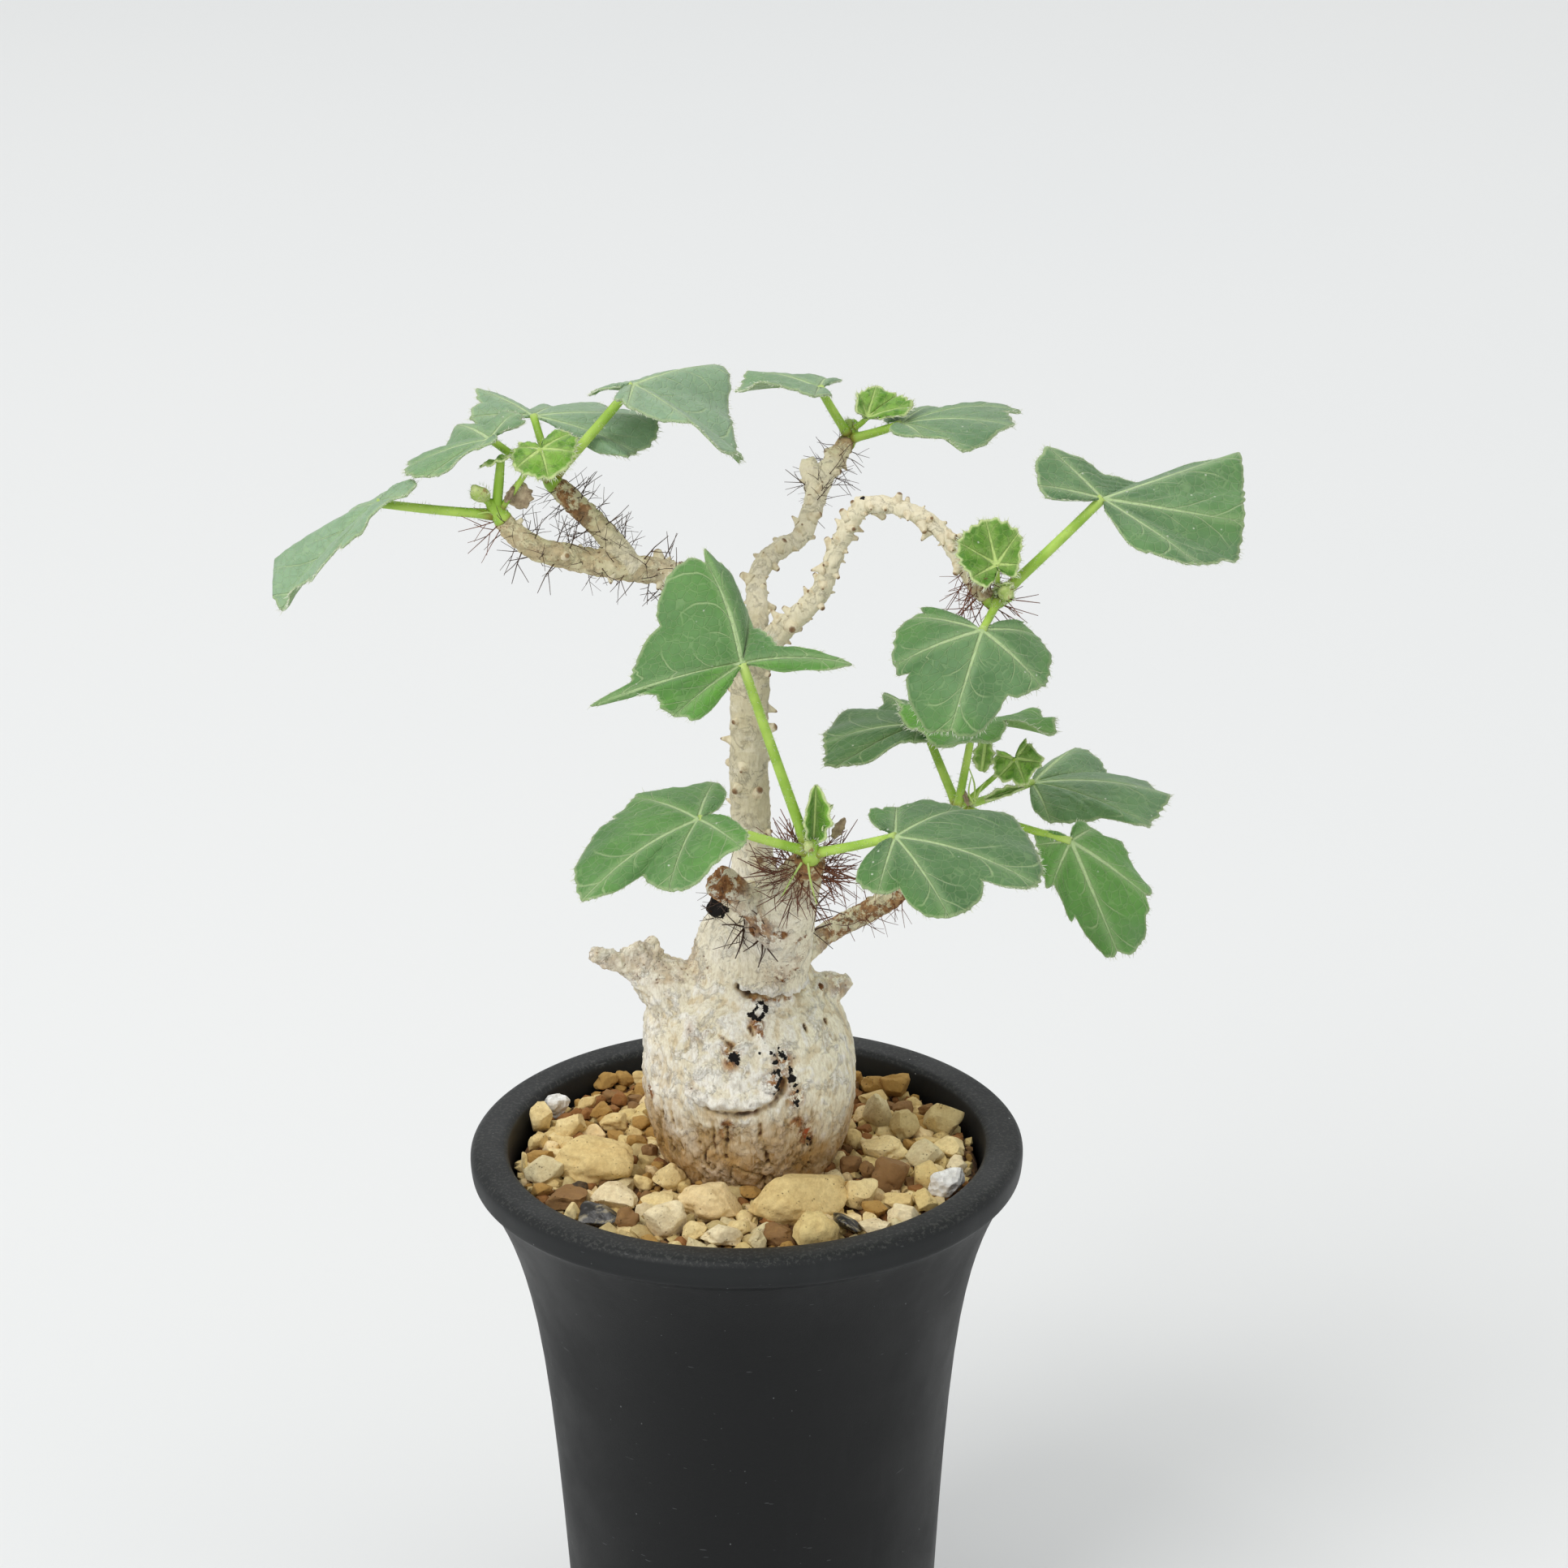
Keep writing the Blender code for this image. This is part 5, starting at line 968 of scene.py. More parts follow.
def makeWood():
    wood = woodShape()
    tree, marks = stemMarks()
    lumps = [([Vector(spot) for spot in line], width, height) for line, width, height in bulges]
    grooves = [([Vector(spot) for spot in line], width, depth) for line, width, depth in cracks]
    inks = [(Vector(spot[:3]), spot[3], spot[4] if len(spot) > 4 else 1.0) for spot in inkSpots]
    rusts = [(Vector(spot[:3]), *spot[3:]) for spot in rustSpots]
    rings = [(Vector(spot[:3]), spot[3]) for spot in craters]
    cutEnd, brokenEnd, knotEnd = (Vector(stems[name][-1][:3]) for name in ("cutStub", "brokenStub", "rightSideStub"))
    mesh = wood.data
    values = {name: [] for name in ("young", "rust", "ink", "groove", "low", "lift", "swollen")}
    moved = []
    for vert in mesh.vertices:
        spot = vert.co / mm
        onCaudex = smoothStep((caudex["top"] - spot.z) / caudex["topFade"])
        young = rust = ink = groove = shift = swell = 0.0
        lift = 0.5
        name, share = marks[tree.find(spot)[1]]
        if name in youngFrom and (onCaudex < 0.5 or name == "lowBranch"):
            start, full = youngFrom[name]
            young = smoothStep((share - start) / (full - start))
        if name in rustFrom:
            start, full, most = rustFrom[name]
            rust = most * smoothStep((share - start) / (full - start))
        edge = caudex["darkEdge"] - 0.04 * spot.x + 6.0 * noise.noise(spot * 0.11) + 3.0 * noise.noise(spot * 0.4)
        low = smoothStep((edge - spot.z) / caudex["darkFade"]) * onCaudex
        if caudex["markedFrom"] < spot.z < caudex["markedTo"] and spot.y < -2.0:
            for line, width, height in lumps:
                near = bell(lineDistance(spot, line), width)
                shift += height * near * (0.8 + 0.9 * noise.noise(spot * 0.9))
                swell = max(swell, near * min(height, 1.2))
            for line, width, depth in grooves:
                near = bell(lineDistance(spot, line) + 0.5 * noise.noise(spot * 0.8), width)
                shift -= depth * near
                groove = max(groove, near)
            for middle, radius, strength in inks:
                ink = max(ink, strength - 0.5 * (spot - middle).length / radius)
        for middle, radius in rings:
            off = (spot - middle).length
            if off < 3.0 * radius:
                shift += 0.7 * bell(off - radius, 0.4 * radius) - 0.5 * bell(off, 0.5 * radius)
                rust = max(rust, 0.9 * bell(off - 0.6 * radius, 0.5 * radius))
        for middle, radius, strength in rusts:
            rust = max(rust, strength * (1.0 - 0.45 * (spot - middle).length / radius))
        toCut, toBroken = (spot - cutEnd).length, (spot - brokenEnd).length
        ink = max(ink, 1.4 - 0.5 * toCut / 1.5, 0.9 - 0.5 * (spot - knotEnd).length / 0.8)
        rust = max(rust, 1.3 - 0.4 * toBroken / 1.7)
        if onCaudex > 0.0:
            relief, crack, lift = barkRelief(spot, low)
            shift += onCaudex * relief
            groove = max(groove, 0.85 * crack * onCaudex * (0.35 + 0.65 * low))
            # raised lumps count as lifted, so they take the white of the plates as painted light
            lift = 0.5 + (lift - 0.5 + 0.7 * swell) * onCaudex
        if onCaudex < 1.0:
            rough = 0.3 * noise.noise(spot * 0.75) + 0.22 * noise.noise(Vector((spot.x, spot.y, spot.z * 1.9)) * 1.2)
            if name.endswith(("Finger", "Twin", "Knob")) or name in ("leftStub", "rightStub"):
                rough = 0.9 * noise.noise(spot * 0.8) + 0.4 * noise.noise(spot * 1.7)
                rust = max(rust, 0.3)
            shift += (1.0 - onCaudex) * rough
        shift -= 1.3 * bell(toBroken, 1.5) + 0.7 * bell(toCut, 1.1)   # ends of cut and broken stems are hollow
        moved.append((spot + vert.normal * shift) * mm)
        for row, value in zip(values.values(), (young, rust, ink, groove, low, lift, onCaudex)):
            row.append(value)
    for vert, spot in zip(mesh.vertices, moved):
        vert.co = spot
    for name, row in values.items():
        storeNumbers(mesh, name, row)
    mesh.materials.clear()
    mesh.materials.append(barkSurface())
    mesh.shade_smooth()
    place(wood, "pale_bark", "caudex_and_stems")


makeWood()
print("wood ready")


# Spurs and bristles
spurPlan = {   # how many, length
    "trunk": (34, 2.3),
    "leftBranch": (14, 1.5),
    "backBranch": (34, 2.0),
    "rightBranch": (70, 2.0),
    "frontStem": (10, 1.1),
    "lowBranch": (10, 1.0),
    "backSideStub": (4, 1.2)}
bristlePlan = {   # how many, length, from and to along the stem, spread to the sides
    "leftBranch": (50, 7.6, 0.34, 0.99, 0.7),
    "leftFork": (40, 6.6, 0.1, 0.98, 0.7),
    "backBranch": (34, 6.0, 0.7, 0.98, 0.6),
    "rightBranch": (34, 8.2, 0.9, 1.0, 0.8),
    "frontStem": (96, 8.4, 0.72, 1.0, 0.8),
    "lowBranch": (60, 6.0, 0.3, 0.98, 0.7),
    "brokenStub": (12, 4.6, 0.4, 0.95, 0.6)}
strays = (   # star-shaped bristles set one by one: root, direction, length
    ((0.2, -14.6, 169.2), (-0.7, -0.6, -0.6), 5.2), ((0.2, -14.6, 169.4), (-0.8, -0.5, 0.4), 5.0),
    ((0.2, -14.7, 169.0), (-0.2, -0.5, -1.0), 6.2), ((0.4, -14.8, 169.4), (0.8, -0.6, 0.4), 4.0),
    ((0.3, -14.6, 169.6), (-0.3, -0.5, 0.9), 4.4), ((0.4, -14.8, 169.0), (0.7, -0.6, -0.5), 4.0),
    ((3.6, -18.2, 168.6), (0.6, -0.6, -0.8), 5.4), ((3.4, -18.2, 168.8), (-0.9, -0.6, -0.5), 5.0),
    ((3.5, -18.2, 168.4), (-0.2, -0.6, -1.0), 5.4), ((3.6, -18.2, 169.0), (0.8, -0.6, 0.3), 4.0),
    ((3.6, -18.2, 169.0), (-0.4, -0.6, 0.8), 4.4), ((5.0, -18.6, 171.4), (-0.8, -0.5, 0.9), 6.0),
    ((11.5, -12.0, 171.0), (0.8, -0.3, 0.9), 7.0), ((12.0, -11.0, 168.5), (0.8, -0.3, 0.4), 6.0),
    ((11.0, -14.0, 166.5), (0.9, -0.5, 0.8), 7.0), ((-5.4, -4.6, 168.0), (-0.8, -0.3, 0.8), 3.4),
    ((-5.6, -4.6, 167.0), (-1.0, -0.3, 0.0), 3.0))
redStrays = (   # the same for long red ones
    ((44.6, -14.6, 232.0), (1.0, -0.2, -0.25), 10.0), ((44.8, -14.4, 231.4), (1.0, -0.1, -0.5), 9.0),
    ((45.0, -14.6, 233.0), (1.0, -0.3, 0.05), 11.0), ((44.4, -14.6, 231.0), (0.8, -0.3, -0.7), 7.5),
    ((44.0, -14.4, 231.8), (-0.9, -0.4, -0.2), 7.0), ((43.6, -14.2, 232.4), (-0.9, -0.3, 0.5), 6.5),
    ((-42.6, -9.8, 246.0), (-0.9, -0.3, -0.7), 9.0), ((-42.8, -9.6, 246.6), (-1.0, -0.2, -0.3), 9.0),
    ((-42.2, -10.0, 245.4), (-0.6, -0.4, -0.9), 7.5), ((-42.8, -9.4, 247.0), (-0.9, -0.3, 0.5), 6.0),
    ((16.0, -31.0, 189.0), (0.6, -0.1, 0.85), 11.0), ((15.4, -33.0, 188.0), (0.9, -0.4, 0.1), 8.5),
    ((15.0, -34.0, 187.2), (0.8, -0.6, -0.4), 8.0), ((9.4, -33.0, 188.6), (-0.9, -0.3, 0.5), 9.0),
    ((9.0, -32.0, 187.4), (-0.9, -0.4, -0.1), 9.0), ((12.0, -35.4, 186.6), (0.1, -0.8, -0.8), 7.0))
prongs = (   # a bristle a unit tall: points, radius at the root and at the end
    (((0, 0, -0.04), (0.03, 0, 0.45), (0.02, 0.03, 1.0)), 0.02, 0.009),
    (((0.02, 0, 0.3), (0.2, 0.06, 0.5), (0.42, 0.1, 0.7)), 0.013, 0.008),
    (((0.02, 0, 0.42), (-0.16, 0.12, 0.62), (-0.36, 0.22, 0.84)), 0.012, 0.008),
    (((0.0, 0, 0.2), (-0.12, -0.2, 0.34), (-0.24, -0.46, 0.44)), 0.012, 0.008))
slimProngs = (
    ((((0, 0, -0.04), (0.04, 0.02, 0.5), (0.02, 0.0, 1.0)), 0.018, 0.008),),
    ((((0, 0, -0.04), (-0.05, 0.0, 0.5), (-0.02, 0.04, 1.0)), 0.018, 0.008),
     (((-0.03, 0, 0.35), (0.1, 0.1, 0.55), (0.26, 0.2, 0.78)), 0.012, 0.008)))
horns = (   # rings of a spur a unit tall: height and radius, then its bend
    (((0.0, 0.66), (0.2, 0.46), (0.42, 0.3), (0.66, 0.2), (0.9, 0.12), (1.0, 0.04)), 0.22),
    (((0.0, 0.7), (0.22, 0.5), (0.45, 0.38), (0.7, 0.32), (0.92, 0.26), (1.0, 0.12)), -0.12))


def sideways(along, angle, lean):
    side = Matrix.Rotation(angle, 3, along) @ along.orthogonal().normalized()
    return (side + along * lean).normalized()


def forkMesh(prongs):
    bm = bmesh.new()
    for line, thick, thin in prongs:
        radii = [thick + (thin - thick) * index / (len(line) - 1) for index in range(len(line))]
        spots, faces, along = tube([(*spot, radius) for spot, radius in zip(line, radii)], 4)
        verts = [bm.verts.new(spot) for spot in spots]
        for face in faces:
            bm.faces.new([verts[index] for index in face])
    return meshFrom(bm, "fork")


def forkShapes():   # bristles with side prongs, in three turns, and two slimmer ones
    forks = []
    for turn in (0.0, 1.4, 2.9):
        bend = Matrix.Rotation(turn, 3, "Z")
        forks.append(forkMesh([
            ([bend @ Vector(spot) for spot in line], thick, thin) for line, thick, thin in prongs]))
    return forks + [forkMesh(rows) for rows in slimProngs]


def prickleSurface(name, deep, bright):
    stiff = Surface(name, 0.45)
    stiff.colour = stiff.blend(stiff.noise(260.0, 3.0), deep, bright)
    return stiff.finish(stiff.bump(stiff.noise(3000.0, 2.0), 0.05 * mm, 0.4))


def scarSurface():
    scar = Surface("leaf scar", 0.85)
    scar.colour = scar.blend(scar.span(scar.number("along"), 0.82, 1.0), (228, 218, 188), (118, 88, 60))
    scar.coat(scar.span(scar.noise(900.0, 4.0), 0.4, 0.7, 0.0, 0.5), (168, 142, 98))
    return scar.finish(scar.bump(scar.noise(1500.0, 3.0), 0.2 * mm, 0.7))


def makePrickles():
    draw = random.Random(7)
    spurs = []
    for name, (count, length) in spurPlan.items():
        for index in range(count):
            share = 0.06 + 0.9 * (index + draw.random()) / count
            point, along, radius = stemSpot(name, share)
            direction = sideways(along, index * goldenAngle + draw.uniform(-0.5, 0.5), draw.uniform(-0.1, 0.6))
            root = point + direction * radius * 0.72
            spurs.append((root, direction, (radius * 0.28 + length) * draw.uniform(0.6, 1.15)))
    for index in range(26):   # pale crust where the left branch turns
        point, along, radius = stemSpot("leftBranch", draw.uniform(0.36, 0.46))
        direction = sideways(along, index * goldenAngle, draw.uniform(-0.8, 0.8))
        spurs.append((point + direction * radius * 0.6, direction, draw.uniform(2.0, 3.2)))
    horn = shapeCollection("horn", [spikeMesh("horn", rings, 7, bend) for rings, bend in horns])
    place(sprouted("leafScars", spurs, horn, scarSurface(), 1.0, 0.15, 0.6, 3), "pale_bark")

    shapes = shapeCollection("fork", forkShapes())
    dark = prickleSurface("dark bristle", (34, 24, 18), (92, 58, 36))
    red = prickleSurface("red bristle", (70, 36, 26), (140, 80, 50))
    sets = {"darkBristles": (dark, ("leftBranch", "leftFork", "backBranch", "brokenStub")),
            "redBristles": (red, ("frontStem", "lowBranch", "rightBranch"))}
    for title, (finish, names) in sets.items():
        rows = []
        for name in names:
            count, length, start, stop, lean = bristlePlan[name]
            for index in range(count):
                share = start + (stop - start) * (index + draw.random()) / count
                point, along, radius = stemSpot(name, share)
                angle = index * goldenAngle + draw.uniform(-0.5, 0.5)
                direction = sideways(along, angle, draw.uniform(-lean * 0.4, lean))
                rows.append((point + direction * radius * 0.85, direction, length * draw.uniform(0.7, 1.15)))
        place(sprouted(title, rows, shapes, finish, 1.0, 0.2, 0.65, 11), "pale_bark")
    for title, table, finish, thickness, shortest, seed in (("longBristles", redStrays, red, 0.85, 0.8, 6),
                                                            ("starBristles", strays, dark, 2.1, 0.85, 5)):
        rows = [(Vector(spot), Vector(aim).normalized(), size) for spot, aim, size in table]
        place(sprouted(title, rows, shapes, finish, thickness, 0.1, shortest, seed), "pale_bark")


makePrickles()
print("prickles ready")


# Leaves. hub is where the stalk meets the blade, and ribs are its five main veins from the hub; valleys are
# the bottoms of the cuts between two ribs, by gap
# A trim is how far the outline lies out along the reach there. s runs 0 to 4 over the ribs,
# and to -1 and 5 at the cleft
shoots = {
    "left": ("leftBranch", (-0.55, -0.1, 0.83)),
    "leftFork": ("leftFork", (-0.45, 0.1, 0.89)),
    "back": ("backBranch", (0.35, 0.2, 0.9)),
    "right": ("rightBranch", (0.86, -0.35, 0.2)),
    "front": ("frontStem", (0.1, -0.45, 0.88)),
    "low": ("lowBranch", (0.35, -0.1, 0.92))}
blades = dict(thickness=0.42, widestBaseLobe=62.0, fullBlade=346.0, roundness=1.8, toothGap=2.7, toothDepth=0.36,
              inside=0.65, veinWidth=0.34, hairLength=1.1, hairGap=0.34, tipRadius=1.5)
# A leaf's pale is painted light on the whole leaf, sheen above zero and shade below; its glow is painted light
# shining through it
leaves = {
    "leaf_left_outer": dict(
        glow=0.15, pale=0.85, ruffle=1.5, shoot="left", hub=(-64.4, -10, 250.2), stalk=0.9, arch=0.03,
        base=(0.95, 0.9),
        ribs=((2.4, 9.5, -0.4), (-7, 15, -7.6), (-17.8, -3, -18.5), (-6, -11, -5.5), (6.2, -7.5, 3.8)),
        valleys={1: (-20.4, 6, -13.4), 2: (-9.8, -7, -9), 3: (-1.0, -9.5, 0.5)},
        trim=((-1, 1.1), (-0.4, 1), (0.2, 0.9), (0.6, 0.8), (0.85, 0.9), (1, 1), (1.2, 1.1), (1.32, 1.2),
          (1.42, 1.04), (1.55, 1.06), (2.1, 1), (2.4, 1.15), (2.7, 1.4), (2.85, 1.3), (2.92, 0.88), (3.05, 0.97),
          (3.13, 1.08), (3.25, 0.95), (3.4, 1.1), (3.55, 0.93), (3.7, 1.06), (3.85, 0.92), (4, 0.98), (4.5, 1.04),
          (5, 1.15))),
    "leaf_left_upper": dict(
        glow=0.25, pale=0.5, ruffle=1.8, shoot="leftFork", hub=(-44, -6, 260.7), stalk=0.8, arch=0.05,
        base=(0.8, 0.7),
        ribs=((4, 9, 1.5), (-6.5, 14, -2), (-15.5, -2, -4.5), (-11.5, -10, -5), (-1.5, -9, 0.5)),
        valleys={1: (-7.5, 9, -4.5)},
        trim=((-0.6, 0.85), (0.25, 1.2), (0.55, 0.9), (1.03, 1.02), (1.6, 1.25), (1.9, 1), (2.2, 1),
          (2.75, 1.07), (3, 0.95), (3.35, 0.9), (4, 1))),
    "leaf_left_back": dict(
        pale=0.6, ruffle=1.3, shoot="leftFork", hub=(-37, 10, 260.2), stalk=0.8, arch=0.04, base=(0.3, 0.3),
        ribs=((18.5, -8, -4.5), (22.5, 4, -2), (5.5, 23, -5.5), (-11, 8, 3.1), (-11.5, 0, -0.3)),
        valleys={2: (-2.5, 12, -3)},
        trim=((-1, 1.2), (0.1, 1), (0.3, 1.07), (1.03, 1), (2.1, 1), (3, 0.98), (3.55, 0.85), (3.9, 1.02),
          (5, 1))),
    "leaf_left_top": dict(
        pale=0.65, ruffle=1.3, shoot="leftFork", hub=(-18.4, 2, 268.3), stalk=1.0, arch=0.04, base=(0.6, 1.15),
        fill=0.3,
        ribs=((-1, -11, -1.5), (10.5, -14, -4), (19, -5, -13), (15, 16, -1), (-8, 8, -4)),
        valleys={2: (18, 8, -7.5), 3: (2.5, 13, -4)},
        trim=((-1, 0.95), (-0.2, 0.8), (0, 1), (0.3, 1.04), (1, 1), (1.3, 1.2), (1.6, 1.12), (2, 1.03),
          (2.3, 0.92), (2.65, 1), (2.8, 1.03), (2.9, 1), (3.07, 0.95), (3.3, 1.1), (3.7, 1), (4.15, 0.9),
          (4.5, 0.72), (5, 0.85))),
    "leaf_left_young": dict(
        shoot="left", hub=(-34.8, -8, 259.4), stalk=0.6, arch=0.05, base=(0.8, 0.8),
        ribs=((-5, 2, -0.5), (-4.5, -4, -2.5), (1.5, -5, -4.5), (6.5, -1, -0.5), (5.5, 5, 1.2))),
    "leaf_back_left": dict(
        pale=0.45, ruffle=1.3, shoot="back", hub=(15.3, 44, 254.8), stalk=0.9, arch=0.05, base=(0.5, 0.6),
        ribs=((1.5, 10, -1), (-12.5, 16, -2), (-16, 4, -2), (-12.5, -6, 2), (-1, -10, 1)),
        valleys={3: (-4.5, -9, 2.6)},
        trim=((-0.1, 1.1), (0.32, 1), (0.57, 1.08), (1.05, 1.05), (1.4, 1), (2, 1), (3, 1), (3.2, 1),
          (3.45, 0.8), (3.6, 1), (3.9, 1.15), (4.43, 0.92))),
    "leaf_back_young": dict(
        shoot="back", hub=(24.2, 48, 247.6), stalk=0.6, arch=0.04, root=3.4, base=(0.6, 0.6),
        ribs=((8.9, -1, 2.8), (6.3, 5, 2.9), (2.1, 6, 4.8), (-1.6, 4, 4.1), (-2.2, -1, 2.9))),
    "leaf_back_right": dict(
        pale=0.3, ruffle=1.2, shoot="back", hub=(30.7, 46, 247), stalk=0.9, arch=0.06, root=1.2,
        ribs=((4, -10, 0), (11.2, -14, -0.6), (20.2, -6, 1.3), (22.2, 8, 0.9), (6.6, 14, -1.5)),
        valleys={2: (19, 2, 1)},
        trim=((-0.1, 0.9), (0.2, 1.2), (0.82, 1), (1.35, 1.07), (1.6, 1.05), (2.2, 1.04), (2.7, 1.05),
          (3.1, 1.02), (4, 0.95))),
    "leaf_right_high": dict(
        pale=0.2, shoot="right", hub=(65.1, -12, 250.4), stalk=1.0, arch=0.004, base=(0.8, 0.4), root=2.8, fill=0.6,
        ribs=((17, -10, -9), (25.2, 1, -5.0), (26.5, 17, 3), (-9.8, 4, 8.8), (-11.4, -3, 3.8)),
        valleys={0: (22.6, -4, -11), 2: (9.5, 15, -1.0), 3: (-12.6, 0.6, 6.0)},
        trim=((-1, 0.5), (-0.8, 0.56), (-0.6, 0.66), (-0.4, 0.72), (-0.2, 0.86), (0, 0.98), (0.25, 1.04),
          (0.35, 1), (0.5, 1.05), (0.75, 1.03), (1.2, 1), (1.6, 0.98), (1.9, 0.97), (2.05, 0.98), (2.3, 1),
          (2.45, 0.84), (2.57, 0.66), (2.75, 0.55), (2.9, 0.8), (3, 1))),
    "leaf_right_young": dict(
        pale=-0.5, shoot="right", hub=(46, -16.5, 239.6), stalk=0.6, arch=0.03,
        ribs=((4.4, -1, 0.3), (4.4, 2, 5.7), (-1.9, 4, 7.7), (-7, 2, 3.8), (-5, -3, -1.8))),
    "leaf_right_front": dict(
        glow=0.12, pale=0.15, shoot="right", hub=(43.3, -22, 229.3), stalk=0.8, arch=0.06, base=(0.3, 0.4),
        ribs=((-13, 8, 0), (-16, 0, -6.5), (-6, -9, -16.5), (11, -5, -9.5), (10.5, 6, -3)),
        valleys={1: (-12.5, -4, -10.5), 2: (4.2, -7.5, -12.5)},
        trim=((-1, 1.2), (-0.3, 0.88), (0.17, 1.02), (1.17, 1), (1.22, 0.89), (1.3, 0.97), (1.5, 1.07),
          (1.8, 1.1), (1.9, 1.04), (2, 0.98), (2.1, 1.03), (2.2, 1.05), (2.45, 0.93), (2.56, 0.82), (2.67, 0.93),
          (3.2, 1), (3.6, 1.05), (4, 0.98), (4.5, 0.88), (4.9, 1.3))),
    "leaf_front_up": dict(
        glow=((-0.6, 1.0), (0.0, 0.2), (1.0, 0.1), (2.0, 0.45), (3.0, 0.2), (3.7, 0.9), (5, 1.0)), pale=-0.1,
        shoot="front", hub=(0.7, -38, 229.2), stalk=1.0, arch=0.07, base=(0.35, 0.5),
        ribs=((19, -4, 1.5), (1, 10, 4.5), (-6, 11, 15.5), (-27.5, -4, -6.5), (-12, -6, -7.5)),
        valleys={0: (6.5, 0, 3.5), 2: (-15.5, 6, 5.5), 3: (-17, -7, -3.5)},
        trim=((-1, 0.4), (-0.8, 0.68), (-0.45, 0.8), (-0.05, 1), (0.1, 1), (0.3, 0.87), (0.4, 0.8),
          (0.52, 0.94), (0.67, 0.77), (0.9, 0.82), (1.02, 1.25), (1.2, 1.3), (1.5, 1.22), (1.72, 1.16),
          (1.88, 1.17), (2, 0.99), (2.1, 1.11), (2.25, 1.1), (2.45, 1.01), (2.55, 0.87), (2.75, 0.76),
          (2.9, 0.72), (3, 1), (3.08, 0.84), (3.2, 0.72), (3.4, 0.84), (3.8, 1.04), (4.3, 0.95), (4.9, 1))),
    "leaf_front_left": dict(
        glow=0.5, pale=0.1, shoot="front", hub=(-7.4, -40, 200.8), stalk=0.9, arch=0.07, base=(0.8, 0.8),
        ribs=((2.5, 13, 0.5), (-11.5, 12, -1), (-20.5, -14, -9.5), (-5, -16, -7.5), (7.5, -12, -0.5)),
        valleys={1: (-20, 0, -4), 2: (-9.5, -11.6, -6.6)},
        trim=((-1, 0.58), (-0.55, 0.55), (-0.25, 0.95), (0, 1.15), (0.35, 1.2), (0.45, 1.27), (0.75, 1.12),
          (1.05, 1), (1.22, 0.97), (1.27, 0.89), (1.4, 0.97), (2.1, 1), (2.35, 1.04), (2.42, 0.81), (2.5, 0.98),
          (3, 1), (3.3, 1.06), (3.6, 0.98), (4.05, 1.05), (4.25, 0.95), (4.5, 0.6))),
    "leaf_front_right": dict(
        pale=-0.25, shoot="front", hub=(27.3, -42, 197.9), stalk=0.9, arch=0.07, base=(0.7, 0.8),
        ribs=((-3.5, -12, -6.5), (9.5, -17, -9.5), (25.5, -8, -6), (15, 13, 0.5), (0.5, 12, 1)),
        valleys={0: (1.5, -14, -7.5), 1: (16.5, -12.5, -6.5)},
        trim=((-0.6, 0.91), (-0.1, 0.97), (0.25, 0.92), (0.4, 0.79), (0.52, 0.9), (0.75, 0.96), (1.2, 0.98),
          (1.5, 0.93), (1.6, 0.79), (1.68, 0.94), (2, 0.98), (2.3, 1.03), (2.6, 1.13), (2.85, 1.15), (3.08, 0.92),
          (3.5, 1.01), (3.75, 1.25), (3.95, 1), (4.3, 0.84), (4.8, 1.08))),
    "leaf_low_left": dict(
        glow=0.2, pale=-0.45, ruffle=1.2, shoot="low", hub=(33.9, 10, 199.6), stalk=0.9, arch=0.06, base=(0.7, 0.7),
        ribs=((1, 16, -1.5), (-7, 16, 0), (-18.5, -6, -1), (-16.5, -14, -4), (-2.5, -13, 0.5)),
        valleys={1: (-8.5, 12, -1.5)},
        trim=((0.85, 0.75), (0.95, 1.05), (1.2, 0.92), (1.5, 1), (1.58, 1.18), (1.7, 1.06), (1.85, 1),
          (2.4, 1.05), (2.8, 1.07), (3, 1.01), (3.5, 0.93), (3.8, 0.84), (4.3, 0.88))),
    "leaf_low_middle": dict(
        glow=1.0, pale=0.0, ruffle=1.9, shoot="low", hub=(42.7, -2, 204), stalk=0.8, arch=0.04, base=(0.8, 0.7),
        fill=0.6,
        ribs=((-7.5, 16, -2), (-14, 8, 1), (-4.5, -14, 0.5), (15, -4, 0), (10, 14, -4)),
        valleys={2: (6.5, -4, 1)},
        trim=((0.7, 1.08), (1.5, 0.92), (1.75, 1), (2, 1), (2.13, 1.12), (2.25, 0.97), (2.35, 1.08),
          (2.5, 0.9), (2.65, 1.05), (2.95, 1), (3.4, 1.04), (3.85, 1.12), (4.4, 0.85))),
    "leaf_low_right": dict(
        pale=0.3, ruffle=1.2, shoot="low", hub=(54.9, 22, 183.1), stalk=0.8, arch=0.07, base=(0.5, 0.4),
        ribs=((3, -11, -4), (20, -11, -4.5), (25, -2, -2.5), (18, 12, -3.5), (9, 14, 1.5)),
        valleys={0: (12, -13, -2)},
        trim=((-0.7, 0.45), (-0.4, 0.72), (0, 1.02), (0.2, 1.14), (0.42, 1), (0.6, 0.9), (0.75, 1.12),
          (1.25, 1.05), (2.15, 1.04), (2.65, 1.05), (2.95, 0.9), (3.6, 1), (4, 1.04), (4.15, 0.72), (4.4, 0.4))),
    "leaf_low_hanging": dict(
        glow=0.6, pale=-0.1, shoot="low", hub=(60.6, -6, 182.3), stalk=0.8, arch=0.06, base=(0.8, 0.7),
        ribs=((-7, 3, -2), (-4, -2, -9), (8.4, -8, -19.3), (13.8, -2, -10.6), (5, 7, 0)),
        valleys={1: (0.5, -5, -13.5), 2: (13.5, -5, -16)},
        trim=((-0.65, 0.7), (-0.35, 1), (0.35, 0.84), (0.9, 1.02), (1.03, 0.9), (1.32, 1.03), (1.43, 1.14),
